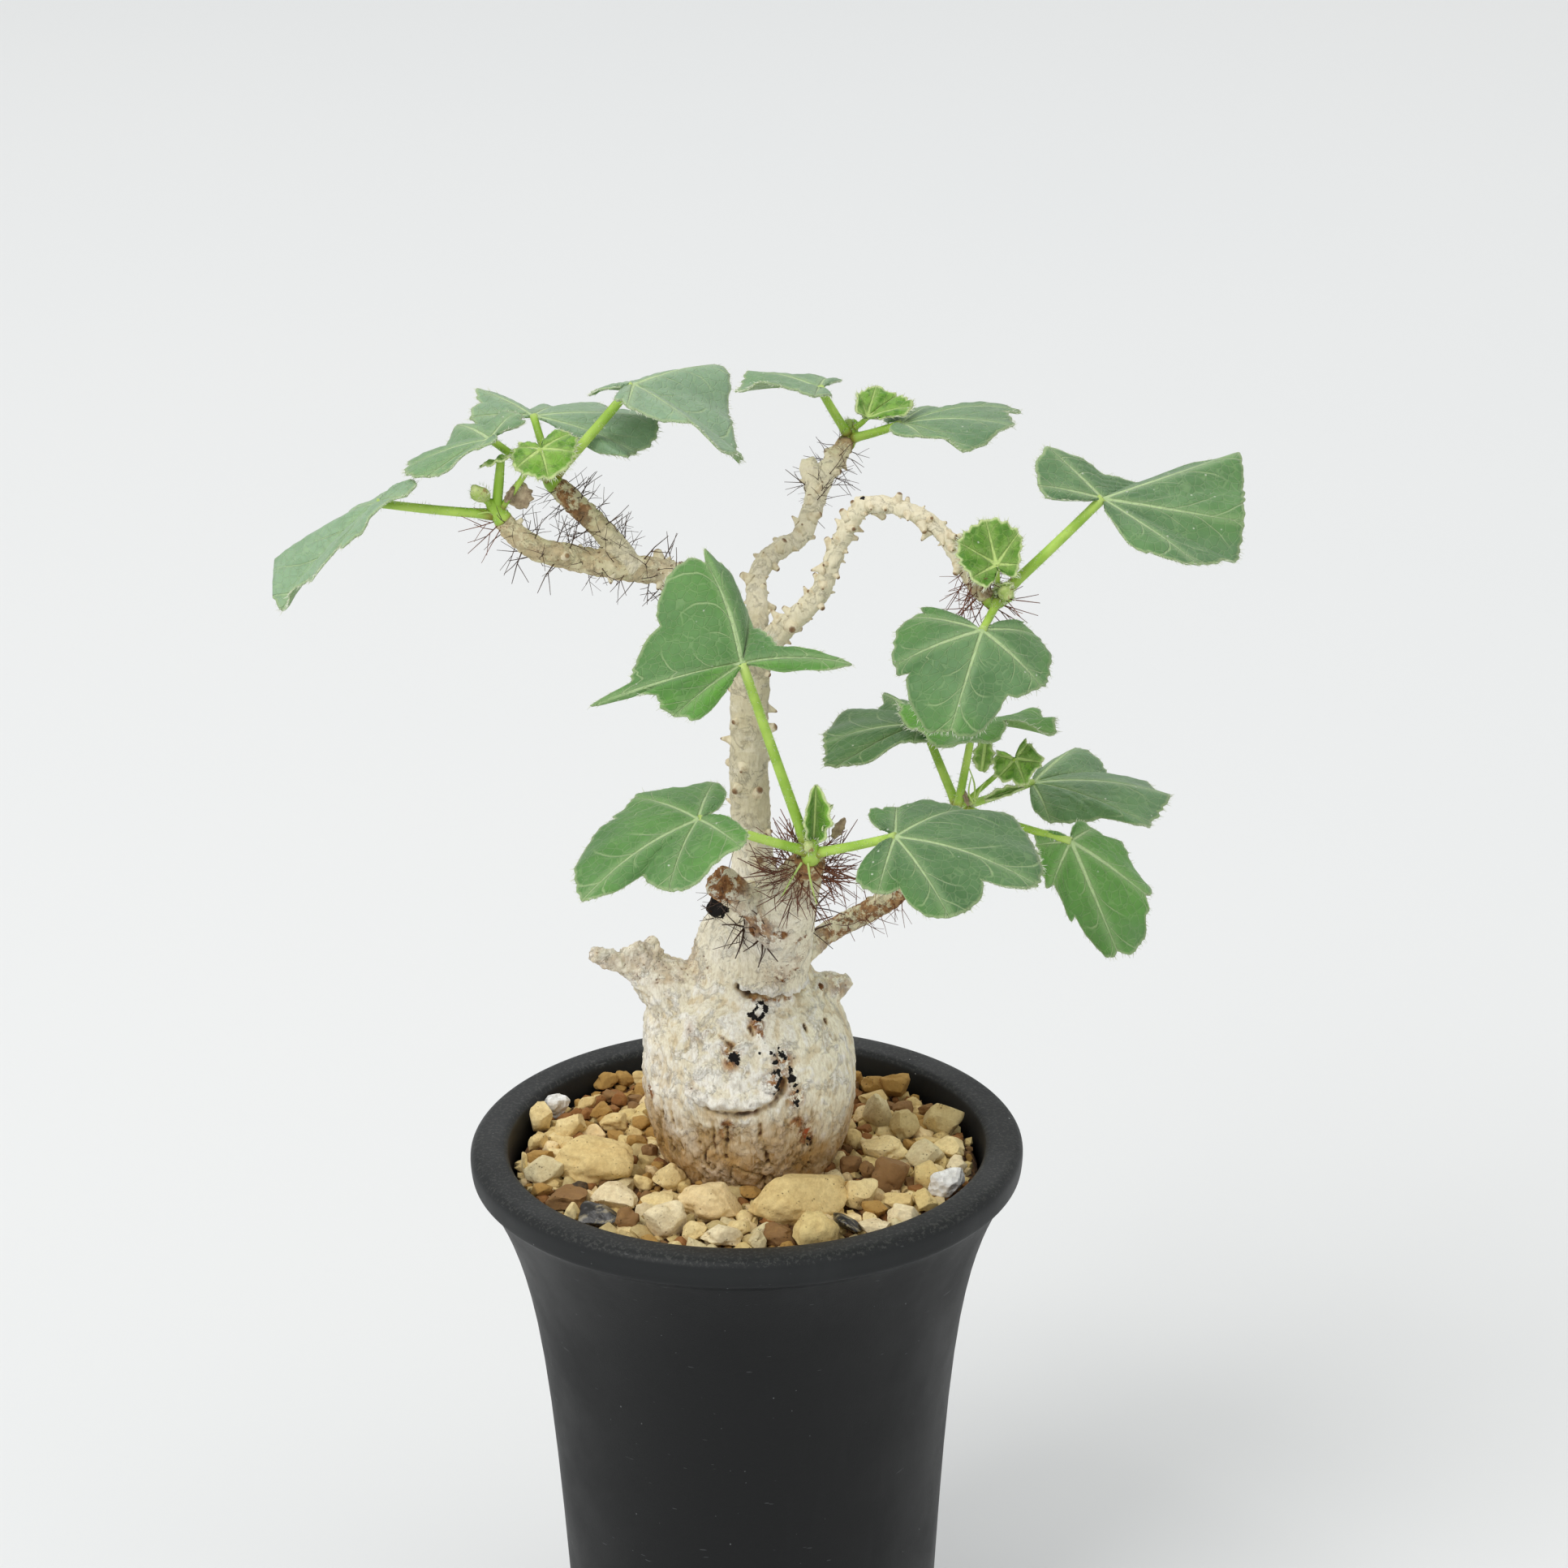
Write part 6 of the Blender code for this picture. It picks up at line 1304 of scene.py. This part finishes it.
          (1.52, 0.94), (1.62, 1.03), (1.82, 1.08), (2, 0.99), (2.15, 1.07), (2.6, 1.04), (2.85, 1.07),
          (3, 0.98), (3.12, 1.08), (3.3, 1.2), (3.58, 1.15), (3.78, 1.28), (3.86, 1), (4.1, 0.92), (4.8, 0.84))),
}


def gapVector(leaf, gap, u):
    start, end = Vector(leaf["ribs"][gap]), Vector(leaf["ribs"][gap + 1])
    valley = leaf.get("valleys", {}).get(gap)
    ease = smoothStep(u)
    if valley and u < 0.5:
        end, u = Vector(valley), 2.0 * u
        ease = u ** blades["roundness"]
    elif valley:
        start, u = Vector(valley), 2.0 * u - 1.0
        ease = 1.0 - (1.0 - u) ** blades["roundness"]
    straight = start.lerp(end, u)
    length = start.length + (end.length - start.length) * ease
    return straight.lerp(straight.normalized() * length, leaf.get("fill", 0.85))


def leafVector(leaf, s):   # s runs 0 to 4 over the ribs, and on to -1 and 5 at the cleft
    if 0.0 <= s <= 4.0:
        gap = min(int(s), 3)
        return gapVector(leaf, gap, s - gap)
    ribs = [Vector(rib) for rib in leaf["ribs"]]
    edge, inner, turn = (ribs[0], ribs[1], -s) if s < 0.0 else (ribs[4], ribs[3], s - 4.0)
    away = edge.normalized()
    onward = -(inner - away * inner.dot(away)).normalized()
    between = math.degrees(sum(a.angle(b) for a, b in zip(ribs, ribs[1:])))
    lobe = min(blades["widestBaseLobe"], 0.5 * (blades["fullBlade"] - between))
    lobe *= leaf.get("base", (1.0, 1.0))[s > 0.0]
    lobe = math.radians(lobe)
    shrink = 1.0 - 0.12 * turn - 0.58 * smoothStep((turn - 0.45) / 0.55)
    return (away * math.cos(turn * lobe) + onward * math.sin(turn * lobe)) * edge.length * shrink


def trimShare(leaf, s):   # how far the real outline lies out along the reach there
    rows = leaf.get("trim")
    if not rows:
        return 1.0
    return float(np.interp(s, [row[0] for row in rows], [row[1] for row in rows]))


def leafFace(leaf, s):
    ribs = [Vector(rib) for rib in leaf["ribs"]]
    faces = [a.cross(b).normalized() for a, b in zip(ribs, ribs[1:])]
    spot = min(max(s - 0.5, 0.0), 3.0)
    gap = min(int(spot), 2)
    return faces[gap].lerp(faces[gap + 1], spot - gap).normalized()


leafTones = {
    "leaf": dict(deep=(78, 118, 70), mid=(106, 143, 94), vein=(186, 210, 154), edge=(190, 208, 156), rim=0.5,
                 under=(128, 162, 92), underPale=0.6, vividGreen=(86, 136, 62), pale=(154, 182, 152), shade=(56, 96, 46),
                 glow=(98, 158, 58), crinkle=0.14, sheen=0.16),
    "young leaf": dict(deep=(98, 150, 40), mid=(140, 186, 72), vein=(196, 220, 134), edge=(218, 232, 168), rim=0.8,
                       under=(160, 194, 100), underPale=0.5, vividGreen=(104, 160, 40), pale=(170, 204, 120),
                       shade=(62, 112, 24), glow=(120, 176, 50), crinkle=0.6, sheen=0.12)}


def leafSurface(name, top):   # the upper or the under side
    tones, vein = leafTones[name], leafTones[name]["vein"]
    skin = Surface(f"{name} {'top' if top else 'under'}", 0.52 if top else 0.62, Specular_IOR_Level=0.35,
                   Subsurface_Weight=0.12, Subsurface_Radius=(0.35, 0.6, 0.15), Subsurface_Scale=0.0012,
                   Sheen_Weight=tones["sheen"], Sheen_Roughness=0.45)
    rib, rim, pale = skin.number("rib"), skin.number("rim"), skin.number("pale")
    flat = wire(skin.tree, "ShaderNodeUVMap", uv_map="veins")
    s, t = addNode(skin.tree, "ShaderNodeSeparateXYZ", {0: flat}).outputs[:2]
    nearest, aside = skin.calc("ROUND", s), skin.calc("PINGPONG", s, 0.5)
    stagger = skin.calc("ADD", skin.times(skin.calc("GREATER_THAN", s, nearest), 0.42), skin.times(nearest, 0.23))
    bow = skin.times(skin.calc("POWER", aside, 0.8), 0.85)
    wobble = skin.times(skin.calc("SUBTRACT", skin.noise(130.0, 3.0), 0.5), 0.09)
    phase = skin.times(skin.calc("ADD", skin.calc("SUBTRACT", t, bow), wobble), 3.1)
    nerve = skin.span(skin.calc("PINGPONG", skin.calc("ADD", phase, stagger), 0.5), 0.06, 0.012)   # side veins
    nerve = skin.times(skin.times(nerve, skin.span(t, 0.12, 0.3)), skin.span(aside, 0.43, 0.2))
    mesh = skin.span(skin.cells(620.0, "DISTANCE_TO_EDGE"), 0.09, 0.02)
    main = skin.span(rib, skin.span(t, 0.0, 1.0, 0.54, 0.22), skin.span(t, 0.0, 1.0, 0.24, 0.08))
    cloud = skin.noise(95.0, 5.0, 0.6)
    skin.colour = skin.blend(skin.span(cloud, 0.3, 0.7), tones["deep"], tones["mid"])
    patch = skin.span(skin.noise(48.0, 3.0, 0.5), 0.45, 0.62)
    skin.coat(skin.times(patch, skin.span(t, 0.35, 0.95, 0.15, 0.75)), tones["vividGreen"])
    # pale above zero is painted sheen and light on the whole leaf; below zero it is painted shade
    skin.coat(skin.span(pale, 0.0, 1.0), tones["pale"])
    skin.coat(skin.span(pale, 0.0, -1.0), tones["shade"])
    # painted light shining through the leaf
    skin.coat(skin.times(skin.number("glow"), skin.span(skin.noise(70.0, 3.0), 0.3, 0.6, 0.45, 1.0)), tones["glow"])
    # darker blotches in the shade tone: painted shade of a crinkled surface
    skin.coat(skin.span(skin.noise(430.0, 3.0, 0.6, warp=0.6), 0.44, 0.6, 0.0, tones["crinkle"]), tones["shade"])
    skin.coat(mesh, vein, 0.12)
    skin.coat(skin.span(rib, 1.6, 0.3), vein, 0.22)
    skin.coat(nerve, vein, 0.42 if top else 0.5)
    skin.coat(skin.times(main, skin.span(t, 0.3, 0.95, 0.88, 0.42)), vein)
    fleck = skin.times(skin.span(skin.cells(430.0), 0.12, 0.05), skin.span(skin.noise(160.0, 2.0), 0.5, 0.58))
    skin.coat(fleck, (206, 214, 196), 0.8)
    skin.coat(skin.span(rim, 0.75, 0.12, 0.0, tones["rim"]), tones["edge"])
    if not top:
        skin.coat(tones["underPale"], tones["under"])
    grooves = skin.calc("ADD", skin.times(main, 1.2), skin.calc("ADD", nerve, skin.times(mesh, 0.4)))
    relief = skin.bump(skin.times(grooves, -1.0 if top else 1.0), 0.3 * mm, 0.7)
    felt = skin.bump(skin.noise(2600.0, 3.0, 0.6), 0.1 * mm, 0.5, relief)
    return skin.finish(felt, skin.span(cloud, 0.3, 0.7, 0.46, 0.62))


def stalkSurface():
    stalk = Surface("petiole", 0.5, Subsurface_Weight=0.15, Subsurface_Radius=(0.4, 0.6, 0.2), Subsurface_Scale=0.001)
    along = stalk.number("along")
    stalk.colour = stalk.blend(stalk.span(stalk.noise(160.0, 4.0), 0.3, 0.7), (142, 184, 56), (184, 216, 98))
    stalk.coat(stalk.span(along, 0.12, 0.0, 0.0, 0.6), (146, 96, 52))
    stalk.coat(stalk.span(along, 0.9, 1.0, 0.0, 0.5), (196, 214, 140))
    return stalk.finish(stalk.bump(stalk.noise(1800.0, 3.0, 0.6), 0.12 * mm, 0.6))


def hairSurface():
    hair = Surface("leaf hair", 0.6)
    hair.colour = hair.blend(hair.noise(500.0, 2.0), (226, 232, 206), (240, 244, 228))
    return hair.finish()


matureSides = [leafSurface("leaf", True), leafSurface("leaf", False)]
youngSides = [leafSurface("young leaf", True), leafSurface("young leaf", False)]
petioleMaterial, hairMaterial = stalkSurface(), hairSurface()
strands = shapeCollection("strand", [spikeMesh("strand", ((0.0, 0.07), (0.5, 0.052), (1.0, 0.016)), 3, bend)
                                     for bend in (0.14, -0.1)])


def kept(spot, gap):   # inside the model's own box
    return Vector([min(max(value, low / mm + gap), high / mm - gap) for value, low, high in zip(spot, *cadBox)])


def bladeMesh(name, leaf, columns, rows):
    seed = sum(ord(letter) for letter in name) * 0.37
    ribs = [Vector(rib) for rib in leaf["ribs"]]
    tidy = [rib.normalized() for rib in ribs]
    hub = Vector(leaf["hub"])
    young = leaf.get("young", False)
    gap, depth = blades["toothGap"], blades["toothDepth"]
    if young:
        gap, depth = gap * 0.8, depth * 1.6
    elif "ruffle" in leaf:
        gap, depth = gap * 1.25, depth * leaf["ruffle"] * 1.1
    stations = [-1.0 + 6.0 * index / columns for index in range(columns + 1)]
    reaches = [leafVector(leaf, s) for s in stations]
    arc, arcs = 0.0, []
    for index, reach in enumerate(reaches):
        arc += (reach - reaches[index - 1]).length if index else 0.0
        arcs.append(arc)
    vividGreen = leaf.get("glow", 0.0)   # painted light through the leaf: one share, or one for each of some places round the leaf
    vividGreen = vividGreen if isinstance(vividGreen, tuple) else ((0.0, vividGreen),)
    spots, rib, rim, glow = [hub], [0.0], [min(r.length for r in reaches)], [vividGreen[0][1]]
    edge = []
    for column, (s, reach, arc) in enumerate(zip(stations, reaches, arcs)):
        face = leafFace(leaf, s)
        reach = reach * trimShare(leaf, s)
        length = reach.length
        wave = arc / gap + 1.3 * noise.noise(Vector((arc * 0.2, seed, 0.0)))
        tooth = (0.5 - 0.5 * math.cos(2.0 * math.pi * wave)) ** 0.6
        jag = noise.noise(Vector((arc * 0.9, seed, 4.0))) + 0.8 * noise.noise(Vector((arc * 0.22, seed, 8.0)))
        out = 1.0 - depth * (tooth + 0.7 * jag) / max(length, 2.0)
        near = [v for v in (int(math.floor(s)), int(math.floor(s)) + 1) if 0 <= v <= 4]
        aside = abs(s - round(s))
        for row in range(1, rows + 1):
            t = row / rows
            grow = 1.0 + (out - 1.0) * smoothStep((t - 0.6) / 0.4)
            flat = reach * t * grow
            gapToRib = min([(flat - tidy[v] * flat.dot(tidy[v])).length for v in near] + [9.0])
            rise = leaf["arch"] * length * 4.0 * t * (1.0 - t)
            rise -= 0.34 * bell(gapToRib, 0.62) * (1.0 - 0.5 * t)
            phase = (t - 0.62 * aside) * 5.5
            quilt = 0.5 - 0.5 * math.cos(2.0 * math.pi * phase)
            rise += 0.2 * quilt * smoothStep(gapToRib / 2.0) * smoothStep((1.0 - t) / 0.2)
            ruffle = 0.55 * math.sin(2.0 * math.pi * arc / 12.5 + seed)
            ruffle += 0.9 * noise.noise(Vector((arc * 0.13, t * 1.5, seed)))
            rise += ruffle * t ** 3 * min(length / 16.0, 1.0) * leaf.get("ruffle", 0.9)
            if young:
                rise += 0.6 * noise.noise(flat * 0.75) * smoothStep(gapToRib / 1.0)
            spots.append(kept(hub + flat + face * rise, blades["inside"]))
            rib.append(gapToRib)
            rim.append(length * (1.0 - t))
            glow.append(float(np.interp(s, *zip(*vividGreen))))
        edge.append((spots[-1], reach.normalized(), face))
    faces, loops = [], []
    for column in range(columns):
        a, b = 1 + column * rows, 1 + (column + 1) * rows
        s0, s1 = stations[column], stations[column + 1]
        faces.append((0, a, b))
        loops += [((s0 + s1) / 2.0, 0.0), (s0, 1.0 / rows), (s1, 1.0 / rows)]
        for row in range(rows - 1):
            faces.append((a + row, a + row + 1, b + row + 1, b + row))
            t0, t1 = (row + 1) / rows, (row + 2) / rows
            loops += [(s0, t0), (s0, t1), (s1, t1), (s1, t0)]
    mesh = newMesh(name, spots, faces)
    layer = mesh.uv_layers.new(name="veins")
    layer.data.foreach_set("uv", [value for pair in loops for value in pair])
    storeNumbers(mesh, "rib", rib)
    storeNumbers(mesh, "rim", rim)
    storeNumbers(mesh, "pale", [leaf.get("pale", 0.0)] * len(spots))
    storeNumbers(mesh, "glow", glow)
    return mesh, edge


def stalkObject(name, line, sides, low=0.0, high=1.0, smooth=True):   # low and high: where its colour starts and ends
    spots, faces, along = tube(line, sides)
    mesh = newMesh(name, spots, faces)
    storeNumbers(mesh, "along", [low + (high - low) * share for share in along])
    if smooth:
        mesh.shade_smooth()
    return newObject(name, mesh, [petioleMaterial])


def thickened(thing, thickness):   # the under side takes the second material, where there is one
    thick = thing.modifiers.new("thickness", "SOLIDIFY")
    thick.thickness, thick.offset = thickness * mm, 0.0
    thick.material_offset = len(thing.data.materials) - 1
    applied(thing)
    thing.data.shade_smooth()
    return thing


def shootFrame(name):
    stem, axis = shoots[name]
    before, end = (Vector(point[:3]) for point in stems[stem][-2:])
    return end, (end - before).normalized(), Vector(axis).normalized()


def stalkLine(leaf):
    end, along, axis = shootFrame(leaf["shoot"])
    hub = Vector(leaf["hub"])
    start = end + axis * leaf.get("root", 1.8)
    out = (hub - start).normalized()
    side = (out - axis * out.dot(axis)).normalized()
    radius = leaf["stalk"]
    root = start + side * (blades["tipRadius"] * 0.6)
    middle = root.lerp(hub, 0.5) + Vector(leaf.get("bow", (0, 0, -0.4)))
    line = []
    for step in range(15):
        part = step / 14.0
        spot = root * (1 - part) ** 2 + middle * 2 * part * (1 - part) + hub * part ** 2
        swell = 1.0 + 0.3 * bell(part, 0.08) + 0.12 * bell(part - 1.0, 0.06)
        line.append((*kept(spot, blades["inside"] + 0.3), radius * (1.0 - 0.15 * part) * swell))
    return line


def inBox(spot, gap=0.5):
    return all(low / mm + gap < value < high / mm - gap for value, low, high in zip(spot, *cadBox))


def hairsAlong(edge, spacing, length, draw):
    rows, run, last = [], 0.0, None
    for spot, out, face in edge:
        run += (spot - last).length if last is not None else 0.0
        while run > spacing:
            run -= spacing
            aim = out + face * draw.uniform(-0.5, 0.5)
            aim = (aim + Vector([draw.uniform(-0.4, 0.4) for axis in "xyz"])).normalized()
            if inBox(spot + aim * length * 1.3):
                rows.append((spot.lerp(last, draw.random()) - out * 0.1, aim, length * draw.uniform(0.6, 1.2)))
        last = spot
    return rows


def hairsRound(line, count, length, draw):
    rows = []
    for index in range(count):
        place = draw.random() * (len(line) - 1.001)
        a, b = line[int(place)], line[int(place) + 1]
        start, along = Vector(a[:3]), (Vector(b[:3]) - Vector(a[:3])).normalized()
        out = sideways(along, draw.uniform(0, 2.0 * math.pi), draw.uniform(-0.2, 0.4))
        spot, tall = start.lerp(Vector(b[:3]), place % 1.0) + out * a[3] * 0.9, length * draw.uniform(0.5, 1.1)
        if inBox(spot + out * tall):
            rows.append((spot, out, tall))
    return rows


def bladeObject(name, leaf, columns, rows, materials):
    mesh, edge = bladeMesh(name, leaf, columns, rows)
    return thickened(newObject(name, mesh, materials), leaf.get("thick", blades["thickness"])), edge


def makeLeaves():
    for number, (name, leaf) in enumerate(leaves.items()):
        draw = random.Random(number + 40)
        young = "young" in name
        leaf["young"] = young
        reach = max(Vector(rib).length for rib in leaf["ribs"])
        columns, rows = int(60 + reach * 6.5), int(8 + reach * 0.42)
        title = "".join(word.capitalize() for word in name.split("_")[1:]) + "Leaf"
        blade, edge = bladeObject(title, leaf, columns, rows, youngSides if young else matureSides)
        line = stalkLine(leaf)
        petiole = stalkObject("petiole", line, 12)
        hairs = hairsAlong(edge, blades["hairGap"] * (0.7 if young else 1.0), blades["hairLength"], draw)
        stalkLength = (Vector(line[0][:3]) - Vector(line[-1][:3])).length
        hairs += hairsRound(line, int(stalkLength * 9), 0.8, draw)
        fuzz = sprouted("fuzz", hairs, strands, hairMaterial, 1.0, 0.2, 0.6, number)
        place(joined(title, [blade, petiole, fuzz]), "young_leaf" if young else "leaf", name)


makeLeaves()
print("leaves ready")


# Shoot tips: soft green ends with buds, tiny leaves and stipules
sprouts = {   # hub, facing, middle rib's direction, reach, stalk radius
    "left": (((-42, -9, 257.8), (-0.35, 0.2, 0.9), (-1, 0, -0.3), 4.2, 0.9),),
    "low": (((50.6, 2, 195.6), (0.1, -0.88, 0.46), (0.2, 0.3, -1), 5.7, 0.5),)}
buds = {   # middle from the tip, and radius
    "left": (((-3.8, -1.6, 5.2), 2.1),),
    "leftFork": (((-1.0, -0.6, 3.6), 1.0),),
    "back": (((0.6, 0.4, 3.4), 1.2),),
    "right": (((2.6, -3.0, 1.8), 1.9),),
    "front": (((-0.2, -2.2, 3.2), 1.4),),
    "low": (((2.2, -0.6, 2.6), 0.9),)}
bracts = {   # folded young leaves and dry scales: root, ahead, facing, length, half width, fold, look
    "left": (((-38.4, -8.4, 248.4), (-0.15, 0.0, 1.0), (0.1, -1.0, 0.3), 5.0, 2.3, 0.35, "dry"),
        ((-41.4, -9.6, 250.0), (0.5, 0.0, 0.9), (0.1, -1.0, 0.3), 3.2, 0.7, 0.6, "dry")),
    "leftFork": (((-33.4, -1.0, 252.6), (0.5, -0.2, 0.9), (0.1, -1.0, 0.2), 3.6, 0.9, 0.7, "young"),),
    "front": (((12.8, -34.6, 193.8), (0.08, 0.05, 1.0), (0.25, -1.0, 0.25), 10.6, 3.7, 0.85, "young"),
        ((13.6, -34.2, 194.0), (0.35, 0.25, 1.0), (-0.6, -0.8, 0.2), 7.0, 2.2, 0.9, "young"),
        ((16.4, -34.0, 194.6), (0.5, 0.0, 0.86), (0.0, -1.0, 0.3), 4.2, 1.0, 0.5, "dry")),
    "right": (((45.6, -15.0, 234.0), (0.75, -0.5, 0.5), (0.0, -0.9, 0.4), 4.4, 1.2, 0.8, "young"),
        ((45.2, -15.2, 233.4), (-0.6, -0.6, 0.5), (0.0, -0.9, 0.4), 3.0, 0.8, 0.6, "dry")),
    "low": (((45.0, 1.0, 187.8), (0.93, 0.0, 0.36), (0.0, -0.8, 0.6), 7.6, 1.6, 0.95, "young"),
        ((44.4, 2.4, 193.0), (0.12, 0.0, 1.0), (-0.1, -1.0, 0.3), 6.4, 2.0, 0.2, "young"),
        ((42.0, 3.0, 186.0), (-0.3, 0.0, 0.95), (0.0, -1.0, 0.2), 4.0, 0.5, 0.5, "dry"))}
stipules = {   # thin pale threads
    "front": (((10.8, -35.8, 190.6), (9.2, -37.0, 188.4), (7.2, -37.4, 184.8)),
        ((11.9, -36.0, 190.6), (12.4, -37.4, 187.4), (13.4, -37.6, 183.4))),
    "low": (((43.2, 2.4, 187.0), (43.0, 1.6, 191.0), (41.8, 1.2, 194.6)),
        ((43.4, 2.2, 187.6), (44.4, 1.4, 190.4), (45.2, 1.0, 191.4)),
        ((43.0, 2.6, 186.6), (42.0, 1.8, 189.0), (42.4, 1.0, 192.4))),
    "left": (((-43.4, -9.4, 247.6), (-44.6, -10.4, 248.4), (-46.4, -10.8, 248.2)),)}


def bractMesh(root, ahead, facing, length, half, fold, seed):
    ahead, facing, root = Vector(ahead).normalized(), Vector(facing), Vector(root)
    facing = (facing - ahead * facing.dot(ahead)).normalized()
    side = ahead.cross(facing)
    rows, columns = 22, 10
    spots, rib, rim, sides = [], [], [], {-1: [], 1: []}
    for row in range(rows + 1):
        u = row / rows
        wide = half * math.sin(math.pi * (0.05 + 0.93 * u)) ** 0.75 * (1.0 + 0.12 * math.sin(u * 24.0 + seed))
        for column in range(columns + 1):
            v = 2.0 * column / columns - 1.0
            wave = 0.22 * min(half, 2.0) * v * v * math.sin(u * 17.0 + 2.0 * v + seed)
            lift = abs(v) * wide * math.sin(fold) + wave - 0.12 * length * u * u
            spot = root + ahead * length * u + side * v * wide * math.cos(fold) + facing * lift
            spots.append(spot)
            rib.append(abs(v) * wide)
            rim.append((1.0 - abs(v)) * wide)
            if abs(v) == 1.0:
                out = (side * v * math.cos(fold) + facing * math.sin(fold)).normalized()
                sides[int(v)].append((spot, out, facing))
    faces = []
    for row in range(rows):
        for column in range(columns):
            start = row * (columns + 1) + column
            faces.append((start, start + 1, start + columns + 2, start + columns + 1))
    mesh = newMesh("bract", spots, faces)
    layer = mesh.uv_layers.new(name="veins")
    for loop in mesh.loops:
        row, column = divmod(loop.vertex_index, columns + 1)
        layer.data[loop.index].uv = (4.0 * row / rows, abs(2.0 * column / columns - 1.0))
    storeNumbers(mesh, "rib", rib)
    storeNumbers(mesh, "rim", rim)
    # paler edges and darker middle: painted light on the raised edges, painted shade in the fold
    storeNumbers(mesh, "pale", [0.9 - 1.5 * min(share / 1.2, 1.0) for share in rim])
    return mesh, sides[-1] + sides[1][::-1]


def drySurface():
    husk = Surface("dry scale", 0.8)
    husk.colour = husk.ramp(husk.noise(520.0, 5.0, 0.7), [(0.3, (104, 88, 68)), (0.5, (158, 140, 112)),
                                                          (0.7, (200, 184, 154))])
    return husk.finish(husk.bump(husk.noise(1200.0, 4.0, 0.7), 0.25 * mm, 0.8))


def sproutLeaf(hub, facing, ahead, reach):
    facing = Vector(facing).normalized()
    ahead = Vector(ahead)
    ahead = (ahead - facing * ahead.dot(facing)).normalized()
    fan = ((-120, 0.75), (-62, 0.95), (0, 1.0), (62, 0.95), (120, 0.75))
    ribs = [Matrix.Rotation(math.radians(angle), 3, facing) @ ahead * reach * share for angle, share in fan]
    valleys = {gap: (ribs[gap] + ribs[gap + 1]) * 0.46 for gap in (1, 2)}
    return dict(hub=hub, arch=0.05, ribs=ribs, valleys=valleys, base=(0.5, 0.5), young=True, thick=0.3,
                pale=0.1, glow=0.4)


def budSurface():
    bud = Surface("bud", 0.55)
    bud.colour = bud.blend(bud.span(bud.noise(420.0, 4.0), 0.35, 0.65), (150, 176, 84), (206, 218, 146))
    bud.coat(bud.span(bud.noise(700.0, 3.0), 0.6, 0.68, 0.0, 0.7), (150, 92, 56))
    return bud.finish(bud.bump(bud.noise(1500.0, 3.0), 0.3 * mm, 0.8))


def makeTips():
    budMaterial, dryMaterial = budSurface(), drySurface()
    nodes = {"left": "tip_left", "leftFork": "tip_left_fork", "back": "tip_back", "right": "tip_right",
             "front": "tip_front", "low": "tip_low"}
    for number, (name, node) in enumerate(nodes.items()):
        draw = random.Random(number + 7)
        end, along, axis = shootFrame(name)
        start, bend, top = end - along * 0.3, end + along * 0.95, end + axis * 4.2
        line = smoothLine([(*start, 1.75), (*bend, 1.6), (*bend.lerp(top, 0.5), 1.3), (*top, 0.8),
                           (*(top + axis * 0.4), 0.3)], 4)
        parts = [stalkObject("tip", line, 14, 0.05, 0.55)]
        hairs = hairsRound(line, 60, 0.8, draw)
        for middle, radius in buds[name]:
            middle, root = end + Vector(middle), end + axis * 2.4
            out = (middle - root).normalized()
            neck = smoothLine([(*root, 0.7), (*root.lerp(middle, 0.6), 0.65), (*middle, 0.5)], 4)
            parts.append(stalkObject("neck", neck, 8, 0.5, 0.5, False))
            mesh = stoneMesh("bud", number, (radius * 0.85, radius * 0.85, radius * 1.1), 3, 0.35, 0.0)
            turn = Vector((0, 0, 1)).rotation_difference(out).to_matrix().to_4x4()
            mesh.transform(Matrix.Translation(middle * mm) @ turn @ Matrix.Scale(mm, 4))
            parts.append(newObject("bud", mesh, [budMaterial]))
            for index in range(90):
                aim = Vector([draw.gauss(0, 1) for letter in "xyz"]).normalized()
                hairs.append((middle + aim * radius * 0.85, (aim + out * 0.6).normalized(), draw.uniform(0.5, 1.1)))
        for hub, facing, ahead, reach, radius in sprouts.get(name, ()):
            blade, edge = bladeObject("sprout", sproutLeaf(hub, facing, ahead, reach), 84, 7, youngSides)
            parts.append(blade)
            hairs += hairsAlong(edge, 0.35, 0.7, draw)
            root, hub = end + axis * 2.0, Vector(hub)
            stalk = smoothLine([(*root, radius), (*root.lerp(hub, 0.5), radius), (*hub, radius * 0.8)], 4)
            parts.append(stalkObject("stalk", stalk, 8, 0.3, 0.7))
            hairs += hairsRound(stalk, 60, 0.7, draw)
        for index, (root, ahead, facing, reach, half, fold, look) in enumerate(bracts.get(name, ())):
            mesh, edge = bractMesh(root, ahead, facing, reach, half, fold, index + number)
            parts.append(thickened(newObject("bract", mesh, [dryMaterial] if look == "dry" else youngSides), 0.28))
            if look == "young":
                hairs += hairsAlong(edge, 0.22, 0.9, draw)
        for thread in stipules.get(name, ()):
            line = smoothLine([(*spot, 0.24 - 0.07 * step) for step, spot in enumerate(thread)], 5)
            parts.append(stalkObject("stipule", line, 6, 1.0, 1.0))
        parts.append(sprouted("fuzz", hairs, strands, hairMaterial, 1.0, 0.2, 0.6, number + 60))
        place(joined(name + "Growth", parts), "young_leaf", node)


makeTips()
print("tips ready")
